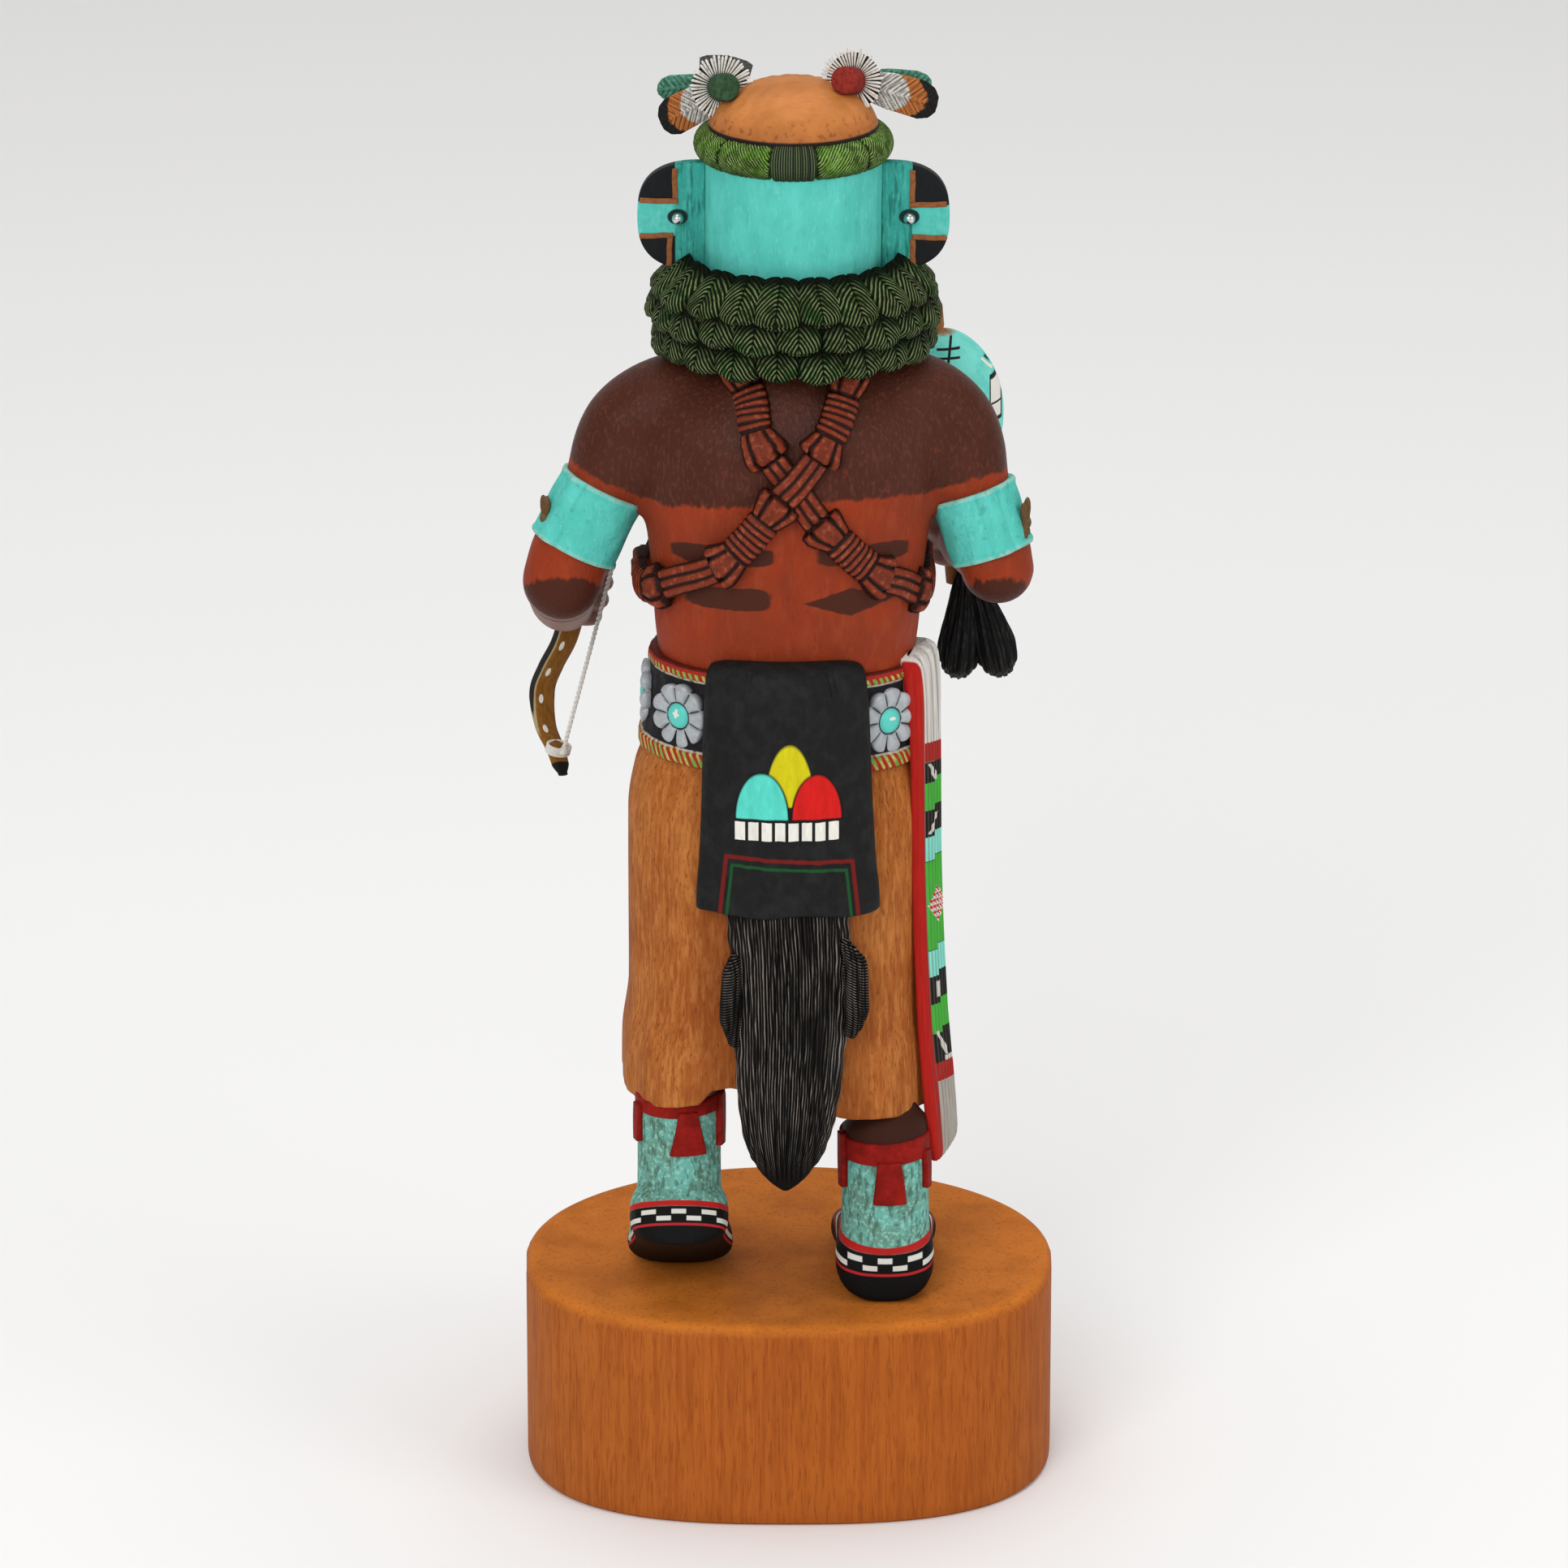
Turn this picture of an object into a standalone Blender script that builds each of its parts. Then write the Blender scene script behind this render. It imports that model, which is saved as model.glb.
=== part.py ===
"""A carved and painted kachina doll on an oval wood plinth.

Metres, +Z up. The origin is the centre of the plinth's underside. The figure faces +Y,
its right hand is at +X.
"""
import math

import bmesh
import bpy
from mathutils import Matrix, Vector

# Sizes that are set by themselves, in metres
PLINTH_WIDTH = 0.1100
PLINTH_DEPTH = 0.0930
PLINTH_HEIGHT = 0.0440
PLINTH_EDGE_RADIUS = 0.0030
PLINTH_FOOT_BEVEL = 0.0008
FIGURE_HEIGHT = 0.2530
FIGURE_SET_BACK = 0.0050
GAP = 0.0003
TAB_THICKNESS = 0.0030
TAB_HEIGHT = 0.0225
TAB_REACH = 0.0135
PIN_HEAD_RADIUS = 0.0012
PIN_SHANK_RADIUS = 0.0005
PIN_SHANK_LENGTH = 0.0018
PEG_RADIUS = 0.0030
PEG_LENGTH = 0.0065
ROSETTE_RADIUS = 0.0063
FEATHER_THICKNESS = 0.0014
GOURD_RADIUS = 0.0130
GOURD_HALF_HEIGHT = 0.0168
RATTLE_STICK_RADIUS = 0.0020
BOW_LENGTH = 0.0680
BOW_WIDTH = 0.0062
BOW_THICKNESS = 0.0026
STRING_DIAMETER = 0.0010
TASSEL_LENGTH = 0.0210
TASSEL_LOBE_RADIUS = 0.0042
RUFF_LEAVES = 20
RUFF_TIERS = 3

# The figure is laid out in shares of its own height: at the real size one unit is 1 mm
UNITS_HIGH = 253.0
UNIT = FIGURE_HEIGHT / UNITS_HIGH
CLEAR = GAP / UNIT

# Names of the sub-parts with their colour, roughness and metallic value
FINISHES = {
    "plinth": ((0.33, 0.10, 0.02), 0.60, 0.0),
    "figure": ((0.25, 0.04, 0.015), 0.60, 0.0),
    "ear_tab_left": ((0.09, 0.50, 0.43), 0.65, 0.0),
    "ear_tab_right": ((0.09, 0.50, 0.43), 0.65, 0.0),
    "ear_pin_left": ((0.70, 0.70, 0.70), 0.25, 1.0),
    "ear_pin_right": ((0.70, 0.70, 0.70), 0.25, 1.0),
    "feather_cluster_left": ((0.60, 0.55, 0.50), 0.70, 0.0),
    "feather_cluster_right": ((0.60, 0.55, 0.50), 0.70, 0.0),
    "peg_left": ((0.03, 0.08, 0.03), 0.65, 0.0),
    "peg_right": ((0.25, 0.03, 0.02), 0.65, 0.0),
    "rattle": ((0.12, 0.60, 0.52), 0.60, 0.0),
    "tassel": ((0.01, 0.01, 0.01), 0.60, 0.0),
    "bow": ((0.25, 0.11, 0.02), 0.55, 0.0),
    "bow_string": ((0.80, 0.80, 0.78), 0.90, 0.0),
}


def clear_scene():
    """Start from an empty scene."""
    for thing in list(bpy.data.objects):
        bpy.data.objects.remove(thing, do_unlink=True)


def to_world(point):
    """Figure units, counted from the plinth's top, to metres in the part's frame."""
    return Vector((point[0] * UNIT, point[1] * UNIT - FIGURE_SET_BACK, PLINTH_HEIGHT + GAP + point[2] * UNIT))


# Outlines, curves and skins

def mix(low, high, share):
    """The value a share of the way from low to high."""
    return low + (high - low) * share


def catmull(rows, share):
    """Read a row of numbers from a smooth curve through evenly spaced rows."""
    last = len(rows) - 1
    place = min(max(share, 0.0), 1.0) * last
    i = min(int(place), last - 1)
    t = place - i
    before, here = rows[max(i - 1, 0)], rows[i]
    after, beyond = rows[i + 1], rows[min(i + 2, last)]
    out = []
    for a, b, c, d in zip(before, here, after, beyond):
        bend = (2 * b) + (c - a) * t + (2 * a - 5 * b + 4 * c - d) * t * t
        out.append(0.5 * (bend + (3 * b - a - 3 * c + d) * t ** 3))
    return out


def by_height(rows, height):
    """Read a row (height first) at any height, with straight runs between the rows."""
    rows = sorted(rows)
    if height <= rows[0][0]:
        return rows[0]
    for low, high in zip(rows, rows[1:]):
        if height <= high[0]:
            share = (height - low[0]) / (high[0] - low[0])
            return [mix(a, b, share) for a, b in zip(low, high)]
    return rows[-1]


def oval_point(angle, half_width, half_depth, power=2.0):
    """A point of a superellipse; angle 0 is +X and a quarter turn is +Y."""
    c, s = math.cos(angle), math.sin(angle)
    x = half_width * math.copysign(abs(c) ** (2.0 / power), c)
    y = half_depth * math.copysign(abs(s) ** (2.0 / power), s)
    return x, y


def oval_ring(height, half_width, half_depth, centre_x, centre_y, power, count):
    """A level superellipse as a ring of points."""
    ring = []
    for i in range(count):
        x, y = oval_point(2 * math.pi * i / count, half_width, half_depth, power)
        ring.append(Vector((centre_x + x, centre_y + y, height)))
    return ring


def skin(rings, strip_ends=False):
    """A closed mesh over rings of equal count, its ends filled with fans or, if bent, with strips."""
    mesh = bmesh.new()
    rows = [[mesh.verts.new(point) for point in ring] for ring in rings]
    count = len(rows[0])
    for low, high in zip(rows, rows[1:]):
        for i in range(count):
            j = (i + 1) % count
            mesh.faces.new((low[i], low[j], high[j], high[i]))
    for row in (rows[0], rows[-1]):
        if strip_ends:
            for i in range(count // 2):
                corners = [row[i], row[i + 1], row[count - i - 1], row[(count - i) % count]]
                mesh.faces.new(list(dict.fromkeys(corners)))
            continue
        middle = Vector((0, 0, 0))
        for vert in row:
            middle += vert.co / count
        tip = mesh.verts.new(middle)
        for i in range(count):
            mesh.faces.new((row[i], row[(i + 1) % count], tip))
    bmesh.ops.recalc_face_normals(mesh, faces=mesh.faces)
    return mesh


def turned(profile, centre_x, centre_y, count):
    """A solid turned about an upright axis from (radius, height) pairs."""
    rings = [oval_ring(z, r, r, centre_x, centre_y, 2.0, count) for r, z in profile]
    return skin(rings)


def frames_along(points):
    """A steady pair of side directions at each point of a path."""
    frames = []
    side = None
    for i, point in enumerate(points):
        ahead = points[min(i + 1, len(points) - 1)]
        behind = points[max(i - 1, 0)]
        along = (ahead - behind).normalized()
        if side is None:
            side = along.orthogonal().normalized()
            if abs(along.z) < 0.9:
                side = Vector((0, 0, 1)).cross(along).normalized()
        side = (side - along * side.dot(along)).normalized()
        frames.append((along, side, along.cross(side)))
    return frames


def tube(stations, count, round_start=True, round_end=True):
    """A round bar through (x, y, z, radius) stations, with rounded ends where asked."""
    stations = [list(s) for s in stations]
    cap_turns = (0.45, 0.80)
    for at_end, wanted in ((False, round_start), (True, round_end)):
        if not wanted:
            continue
        tip, inner = (stations[-1], stations[-2]) if at_end else (stations[0], stations[1])
        away = (Vector(tip[:3]) - Vector(inner[:3])).normalized()
        added = []
        for turn in cap_turns:
            reach = tip[3] * math.sin(turn * math.pi / 2)
            place = Vector(tip[:3]) + away * reach
            added.append([*place, tip[3] * math.cos(turn * math.pi / 2)])
        if at_end:
            stations = stations + added
        else:
            stations = added[::-1] + stations
    points = [Vector(s[:3]) for s in stations]
    rings = []
    for point, station, (_, side, up) in zip(points, stations, frames_along(points)):
        ring = []
        for i in range(count):
            angle = 2 * math.pi * i / count
            ring.append(point + (side * math.cos(angle) + up * math.sin(angle)) * station[3])
        rings.append(ring)
    return skin(rings)


# Objects, unions and cuts

def new_object(name, mesh):
    """Put a bmesh in the scene as an object."""
    data = bpy.data.meshes.new(name)
    mesh.to_mesh(data)
    mesh.free()
    thing = bpy.data.objects.new(name, data)
    bpy.context.collection.objects.link(thing)
    return thing


def bake(thing):
    """Replace an object's mesh by what its modifiers make of it."""
    graph = bpy.context.evaluated_depsgraph_get()
    data = bpy.data.meshes.new_from_object(thing.evaluated_get(graph))
    thing.modifiers.clear()
    thing.data = data


def combine(thing, mesh, operation):
    """Unite with or cut by a closed mesh. EXACT leaves cracks where carved pieces graze, so MANIFOLD."""
    other = new_object("operand", mesh)
    step = thing.modifiers.new("combine", "BOOLEAN")
    step.operation = operation
    step.solver = "MANIFOLD"
    step.object = other
    bake(thing)
    bpy.data.objects.remove(other, do_unlink=True)


def unite(name, meshes):
    """One solid from overlapping closed meshes."""
    whole = new_object(name, meshes[0])
    for mesh in meshes[1:]:
        combine(whole, mesh, "UNION")
    return whole


def cut(thing, mesh):
    """Take a closed mesh away from an object."""
    combine(thing, mesh, "DIFFERENCE")


def settle(thing):
    """Clean a mesh that is laid out in figure units, then turn its units into metres."""
    weld = 0.001
    mesh = bmesh.new()
    mesh.from_mesh(thing.data)
    bmesh.ops.remove_doubles(mesh, verts=mesh.verts, dist=weld)
    bmesh.ops.dissolve_degenerate(mesh, edges=mesh.edges, dist=weld)
    for vert in mesh.verts:
        vert.co = to_world(vert.co)
    mesh.to_mesh(thing.data)
    mesh.free()


def finish(thing):
    """Give an object its own material and smooth faces."""
    crease = math.radians(38)
    colour, roughness, metallic = FINISHES[thing.name]
    material = bpy.data.materials.new(thing.name)
    material.use_nodes = True
    shader = material.node_tree.nodes["Principled BSDF"]
    shader.inputs["Base Color"].default_value = (*colour, 1)
    shader.inputs["Roughness"].default_value = roughness
    shader.inputs["Metallic"].default_value = metallic
    thing.data.materials.clear()
    thing.data.materials.append(material)
    thing.data.shade_smooth()
    thing.data.set_sharp_from_angle(angle=crease)


# Plinth

def plinth_ring(height, inset, count=40):
    """One level outline of the block: oval at the back, squarer at the front (-Y) side."""
    front_power, back_power = 2.7, 2.0
    ring = []
    for i in range(count):
        angle = 2 * math.pi * i / count
        power = front_power if math.sin(angle) < 0 else back_power
        x, y = oval_point(angle, PLINTH_WIDTH / 2 - inset, PLINTH_DEPTH / 2 - inset, power)
        ring.append(Vector((x, y, height)))
    return ring


def make_plinth():
    """The oval block with its rounded top edge."""
    rings = [plinth_ring(0.0, PLINTH_FOOT_BEVEL), plinth_ring(PLINTH_FOOT_BEVEL, 0.0)]
    edge_steps = 3
    for step in range(edge_steps + 1):
        angle = math.pi / 2 * step / edge_steps
        rise = PLINTH_EDGE_RADIUS * (1 - math.sin(angle))
        inset = PLINTH_EDGE_RADIUS * (1 - math.cos(angle))
        rings.append(plinth_ring(PLINTH_HEIGHT - rise, inset))
    return new_object("plinth", skin(rings))


# Head: mask, wreath and crown are turned about one axis

HEAD_X, HEAD_Y = 0.9, -2.0
HEAD_SIDES = 28
MASK_RADIUS = 17.8
MASK_FOOT = 204.6
WREATH_HEIGHT = 239.9
WREATH_RADIUS = 16.6
WREATH_THICKNESS = 3.5
CROWN_RADIUS = 17.1
CROWN_FOOT = 242.6
CROWN_RISE = UNITS_HIGH - CROWN_FOOT


def head_profile(grow=0.0):
    """Radius and height of the head from the hidden neck up; grow adds a margin."""
    profile = [(MASK_RADIUS - 3, MASK_FOOT), (MASK_RADIUS + grow, MASK_FOOT)]
    profile.append((MASK_RADIUS + grow, WREATH_HEIGHT - WREATH_THICKNESS + 0.4 - grow))
    tube_steps = 5
    for step in range(tube_steps + 1):
        angle = math.radians(mix(-62, 74, step / tube_steps))
        radius = WREATH_RADIUS + (WREATH_THICKNESS + grow) * math.cos(angle)
        profile.append((radius, WREATH_HEIGHT + (WREATH_THICKNESS + grow) * math.sin(angle)))
    crown_steps = 4
    for step in range(crown_steps):
        angle = math.radians(mix(8, 82, step / (crown_steps - 1)))
        radius = (CROWN_RADIUS + grow) * math.cos(angle)
        profile.append((radius, CROWN_FOOT + (CROWN_RISE + grow) * math.sin(angle)))
    return profile


def make_head():
    """The case mask, its wreath and the low crown, with a short tube mouth in front."""
    head = turned(head_profile(), HEAD_X, HEAD_Y, HEAD_SIDES)
    mouth_height, mouth_radius, mouth_reach = 221.5, 3.4, 8.0
    front = HEAD_Y + MASK_RADIUS
    mouth = tube([(HEAD_X, front - 3, mouth_height, mouth_radius),
                  (HEAD_X, front + mouth_reach - 1, mouth_height, mouth_radius),
                  (HEAD_X, front + mouth_reach, mouth_height, mouth_radius - 1)], 12, False, False)
    return [head, mouth]


# Ruff: tiers of leaves round the neck

RUFF_TOP = 217.0
RUFF_FIRST_TIP = 210.6
RUFF_TIER_DROP = 18.0 / RUFF_TIERS
RUFF_RADIUS = 28.1
RUFF_BELLY = 1.4
RUFF_TURN = 0.27
POINTS_PER_LEAF = 2


def ruff_rows():
    """(radius, height, how far a gap between leaves draws in, how far it lifts)."""
    rows = [(15.3, RUFF_TOP - 0.6, 0, 0), (20.5, RUFF_TOP, 0, 0)]
    for tier in range(RUFF_TIERS):
        tip = RUFF_FIRST_TIP - tier * RUFF_TIER_DROP
        radius = RUFF_RADIUS + RUFF_BELLY * math.sin(math.pi * (tier + 0.5) / RUFF_TIERS)
        rows.append((radius - 0.7, tip + 3.6, 0.6, 0))
        rows.append((radius, tip, 1.9, 2.2))
        rows.append((radius - 3.4, tip - 0.9, 0.3, 1.2))
    rows.append((14.0, tip - 2.5, 0, 0))
    return rows


def ruff_tier_of(row_number):
    """Tier that a profile row belongs to, for the half-leaf shift between tiers."""
    return min(max(row_number - 2, 0) // 3, RUFF_TIERS - 1)


def make_ruff(grow=0.0, lobed=True):
    """The carved collar; lobed off and a margin give the plain shape that clears it."""
    count = RUFF_LEAVES * POINTS_PER_LEAF
    rings = []
    for number, (radius, height, draw, lift) in enumerate(ruff_rows()):
        shift = RUFF_TURN + 0.5 * POINTS_PER_LEAF * (ruff_tier_of(number) % 2)
        ring = []
        for i in range(count):
            angle = 2 * math.pi * (i + shift) / count
            gap = 1.0 if lobed and i % POINTS_PER_LEAF == 0 else 0.0
            r = radius + grow - draw * gap
            z = height + lift * gap + (grow if number < 2 else 0.0)
            ring.append(Vector((HEAD_X + r * math.cos(angle), HEAD_Y + r * math.sin(angle), z)))
        rings.append(ring)
    return skin(rings)


# Trunk, belt and kilt: level ovals, as (height, half width, half depth, centre x, centre y)

TRUNK = [
    (128.0, 25.0, 18.0, -0.5, -6.0),
    (141.0, 26.8, 19.3, -0.4, -6.0),
    (152.0, 27.6, 19.8, -0.3, -6.0),
    (163.0, 29.0, 20.4, -0.2, -6.0),
    (173.0, 31.0, 20.8, 0.0, -5.5),
    (182.0, 31.0, 20.4, 0.2, -5.0),
    (188.0, 27.0, 18.6, 0.3, -4.6),
    (194.0, 20.0, 15.8, 0.5, -4.0),
    (199.0, 15.0, 14.0, 0.7, -3.0),
    (206.0, 14.0, 13.0, 0.9, -2.0),
]
TRUNK_POWER = 2.25

BELT_ROLL = 0.025
SKIRT = [
    (135.0, 25.6, 18.2, -0.6, -6.0),
    (134.8, 28.6, 21.0, -0.8, -6.0),
    (132.8, 28.9, 21.4, -0.8, -6.0),
    (132.2, 28.2, 20.8, -0.8, -6.0),
    (118.0, 29.6, 22.2, -1.2, -6.0),
    (117.4, 30.3, 22.9, -1.2, -6.0),
    (115.2, 30.4, 23.0, -1.2, -6.0),
    (114.6, 28.6, 21.6, -1.4, -6.0),
    (111.0, 30.3, 22.9, -1.7, -6.0),
    (100.0, 31.1, 24.0, -2.0, -6.0),
    (62.0, 31.4, 24.9, -2.1, -6.0),
    (50.0, 32.8, 25.8, -2.1, -6.0),
    (41.0, 33.0, 26.0, -2.0, -6.0),
    (40.4, 31.8, 25.0, -2.0, -6.0),
]
SKIRT_POWER = 2.1
KILT_TOP = 114.6
KILT_HEM = 41.0


def trunk_point(angle, height, proud=0.0):
    """A point on the trunk's surface, or proud of it."""
    _, half_width, half_depth, cx, cy = by_height(TRUNK, height)
    x, y = oval_point(angle, half_width + proud, half_depth + proud, TRUNK_POWER)
    return Vector((cx + x, cy + y, height))


def skirt_ring(row, count):
    """One ring of belt or kilt; the kilt opens into soft folds towards its hem."""
    height, half_width, half_depth, cx, cy = row
    opened = max(0.0, (KILT_TOP - height) / (KILT_TOP - KILT_HEM))
    ring = []
    for i in range(count):
        angle = 2 * math.pi * i / count
        fold = opened * (0.7 * math.sin(5 * angle + 0.6) + 0.45 * math.sin(9 * angle + 2.0))
        x, y = oval_point(angle, half_width + fold, half_depth + fold, SKIRT_POWER)
        hem = 1.6 * math.sin(2 * angle + 0.7) if height < KILT_HEM + 5 else 0.0
        ring.append(Vector((cx + x, cy + y, height - BELT_ROLL * x + hem)))
    return ring


def make_body():
    """Trunk, belt and kilt."""
    trunk_rings = []
    for height, half_width, half_depth, cx, cy in TRUNK:
        trunk_rings.append(oval_ring(height, half_width, half_depth, cx, cy, TRUNK_POWER, 22))
    skirt_rings = [skirt_ring(row, 28) for row in SKIRT]
    return [skin(trunk_rings), skin(skirt_rings)]


# Arms: (x, y, z, radius) stations

LEFT_UPPER_ARM = [
    (-14.0, -3.6, 188.5, 10.0), (-24.5, -3.8, 186.0, 10.2), (-31.6, -4.1, 181.6, 10.1),
    (-35.6, -4.5, 175.0, 9.0),
    (-37.3, -5.0, 169.4, 8.0), (-37.5, -5.0, 168.9, 8.9), (-43.9, -6.4, 156.3, 9.1),
    (-44.1, -6.5, 155.8, 8.2), (-46.0, -7.0, 149.5, 8.1),
]
LEFT_FOREARM = [
    (-46.0, -6.0, 148.0, 7.4), (-46.4, 3.0, 142.6, 6.5), (-46.0, 11.0, 139.0, 6.1),
    (-46.0, 11.5, 138.8, 6.9), (-46.0, 17.0, 137.2, 5.8), (-45.4, 21.5, 136.8, 4.8),
]
RIGHT_UPPER_ARM = [
    (14.0, -3.6, 189.0, 10.0), (25.0, -3.8, 186.8, 10.2), (31.8, -4.1, 182.2, 10.1),
    (35.4, -4.5, 175.0, 9.0),
    (36.9, -5.0, 168.6, 8.0), (37.0, -5.0, 168.1, 8.9), (41.4, -6.8, 155.4, 8.4),
    (41.6, -6.9, 154.9, 7.6), (42.4, -7.6, 152.4, 7.3),
]
RIGHT_FOREARM = [
    (42.0, -6.0, 152.0, 7.2), (40.8, 3.0, 151.0, 6.5), (38.6, 11.0, 150.4, 6.0),
    (38.4, 11.5, 150.4, 6.8), (36.6, 17.0, 150.2, 6.2), (35.4, 21.5, 150.2, 5.0),
]

# Rattle and bow are set out from the hands that close round them
FIST_RADIUS = 5.6
RIGHT_FIST_HEIGHT = 14.5
LEFT_FIST_HEIGHT = 15.5
RIGHT_GRIP = Vector((33.5, 26.6, 150.0))
RATTLE_LEAN = Vector((-3.4, 2.0, 37.4)).normalized()
RATTLE_NECK_LEAN = Vector((-1.9, 1.2, 22.0)).normalized()
RATTLE_HANDLE_BELOW = 4.4
RATTLE_NECK_ABOVE = 5.2
GOURD_ABOVE_FIST = 1.8
RATTLE_FOOT = RIGHT_GRIP - RATTLE_LEAN * (RIGHT_FIST_HEIGHT / 2 + RATTLE_HANDLE_BELOW)
GOURD_CENTRE = RIGHT_GRIP + RATTLE_LEAN * (RIGHT_FIST_HEIGHT / 2 + GOURD_ABOVE_FIST + GOURD_HALF_HEIGHT / UNIT)
RATTLE_TOP = GOURD_CENTRE + RATTLE_NECK_LEAN * (GOURD_HALF_HEIGHT / UNIT + RATTLE_NECK_ABOVE)

# The middle of the string; the stave stands off it towards its back
STRING_MIDDLE = Vector((-39.0, 19.4, 136.5))
BOW_LEAN = math.radians(14.7)
BOW_TURN = math.radians(52.0)
# Share of the half length from nock to grip, and how far the limb stands off the string
BOW_STAVE = [(-0.11, -3.0), (0.0, 1.1), (0.10, 6.4), (0.28, 10.2), (0.45, 9.6), (0.65, 7.6), (0.85, 7.5), (1.0, 8.3)]
NOCK_SHARE = 0.02
LEFT_FIST_INWARD = 2.0


def bow_frame():
    """Direction of the string, of the bow's back and across its width."""
    along = Vector((math.sin(BOW_LEAN), 0, math.cos(BOW_LEAN)))
    level = Vector((-math.cos(BOW_LEAN), 0, math.sin(BOW_LEAN)))
    back = level * math.cos(BOW_TURN) + Vector((0, 1, 0)) * math.sin(BOW_TURN)
    return along, back, along.cross(back)


def stave_point(share, stand_off):
    """A point of the bow: share 0 is the lower nock, 1 the grip, 2 the upper nock."""
    along, back, _ = bow_frame()
    return STRING_MIDDLE + along * ((share - 1) * BOW_LENGTH / UNIT / 2) + back * stand_off


def make_fist(centre, lean, height):
    """A closed hand: four stacked fingers round a grip."""
    fingers, per_finger, sides = 4, 2, 8
    between_fingers, at_the_ends, longer_than_wide = 0.86, 0.62, 1.08
    levels = fingers * per_finger
    rings = []
    for level in range(levels + 1):
        bulge = 1.0 if level % per_finger else between_fingers
        if level in (0, levels):
            bulge = at_the_ends
        place = centre + lean * (height * (level / levels - 0.5))
        ring = []
        for i in range(sides):
            half = FIST_RADIUS * bulge
            x, y = oval_point(2 * math.pi * i / sides, half, half * longer_than_wide, 2.3)
            ring.append(place + Vector((x, y, 0)))
        rings.append(ring)
    return skin(rings)


def make_arms():
    """Both arms with their bands and wrist guards, and both hands."""
    left_grip = stave_point(1.0, BOW_STAVE[-1][1]) + Vector((LEFT_FIST_INWARD, 0, 0))
    parts = [tube(LEFT_UPPER_ARM, 11), tube(RIGHT_UPPER_ARM, 11)]
    parts.append(tube(LEFT_FOREARM, 10))
    parts.append(tube(RIGHT_FOREARM, 10))
    parts.append(make_fist(left_grip, bow_frame()[0], LEFT_FIST_HEIGHT))
    parts.append(make_fist(RIGHT_GRIP, RATTLE_LEAN, RIGHT_FIST_HEIGHT))
    return parts


# Bandoliers: two loops of knotted strips laid over the trunk

BAND_HALF_WIDTH = 3.0
BAND_THICKNESS = 1.9
# (turn from the back in degrees, height): from the neck over the back to the side and up the front
BAND_ROUTE = [(-14, 197), (-9, 188), (2, 176), (14, 165), (30, 157), (50, 151.5), (74, 148.5),
              (100, 149.5), (125, 155), (148, 165), (163, 177), (168, 188), (166, 197)]


def band_mesh(mirror, proud):
    """One bandolier as a flat bar whose width swells at its knots and wraps."""
    steps, sides, swells = 21, 4, 7
    rings = []
    for step in range(steps + 1):
        share = step / steps
        turn, height = catmull(BAND_ROUTE, share)
        ahead_turn, ahead_height = catmull(BAND_ROUTE, min(share + 0.01, 1.0))
        behind_turn, behind_height = catmull(BAND_ROUTE, max(share - 0.01, 0.0))
        spots = []
        for t, z in ((turn, height), (ahead_turn, ahead_height), (behind_turn, behind_height)):
            angle = math.radians(-90 - mirror * t)
            spots.append(trunk_point(angle, z, proud))
        along = (spots[1] - spots[2]).normalized()
        out = (spots[0] - trunk_point(math.radians(-90 - mirror * turn), height, proud - 1)).normalized()
        across = along.cross(out).normalized()
        knot = abs(math.sin(math.pi * swells * share))
        half_width = BAND_HALF_WIDTH * mix(0.75, 1.15, knot)
        thickness = BAND_THICKNESS * mix(0.75, 1.15, knot)
        ring = []
        for i in range(sides):
            angle = 2 * math.pi * (i + 0.5) / sides
            w, t = oval_point(angle, half_width, thickness, 5.0)
            ring.append(spots[0] + across * w + out * t)
        rings.append(ring)
    return skin(rings)


# Belt plates

CONCHO_RADIUS = 5.3
CONCHO_PETALS = 8
CONCHO_TURNS = (-47, -80, -112, -144, 180, 144, 112, 80, 43)


def concho_mesh(turn):
    """A scalloped plate that lies on the belt, its turn counted in degrees from the back."""
    height = 125.0
    _, half_width, half_depth, cx, cy = by_height(SKIRT, height)
    angle = math.radians(-90 + turn)
    x, y = oval_point(angle, half_width, half_depth, SKIRT_POWER)
    out = Vector((x / half_width ** 2, y / half_depth ** 2, 0.0)).normalized()
    centre = Vector((cx + x, cy + y, height - BELT_ROLL * x))
    across = Vector((-out.y, out.x, 0))
    up = Vector((0, 0, 1))
    rings = []
    for lift, share in ((-1.2, 1.0), (0.9, 0.94)):
        ring = []
        for i in range(CONCHO_PETALS * 2):
            petal = math.pi * i / CONCHO_PETALS
            r = CONCHO_RADIUS * share * (1.0 if i % 2 else 0.82)
            ring.append(centre + out * lift + across * r * math.cos(petal) + up * r * 1.2 * math.sin(petal))
        rings.append(ring)
    return skin(rings)


# Flap, pelt and sash: (height, half width, half thickness, centre x, centre y)

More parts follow.
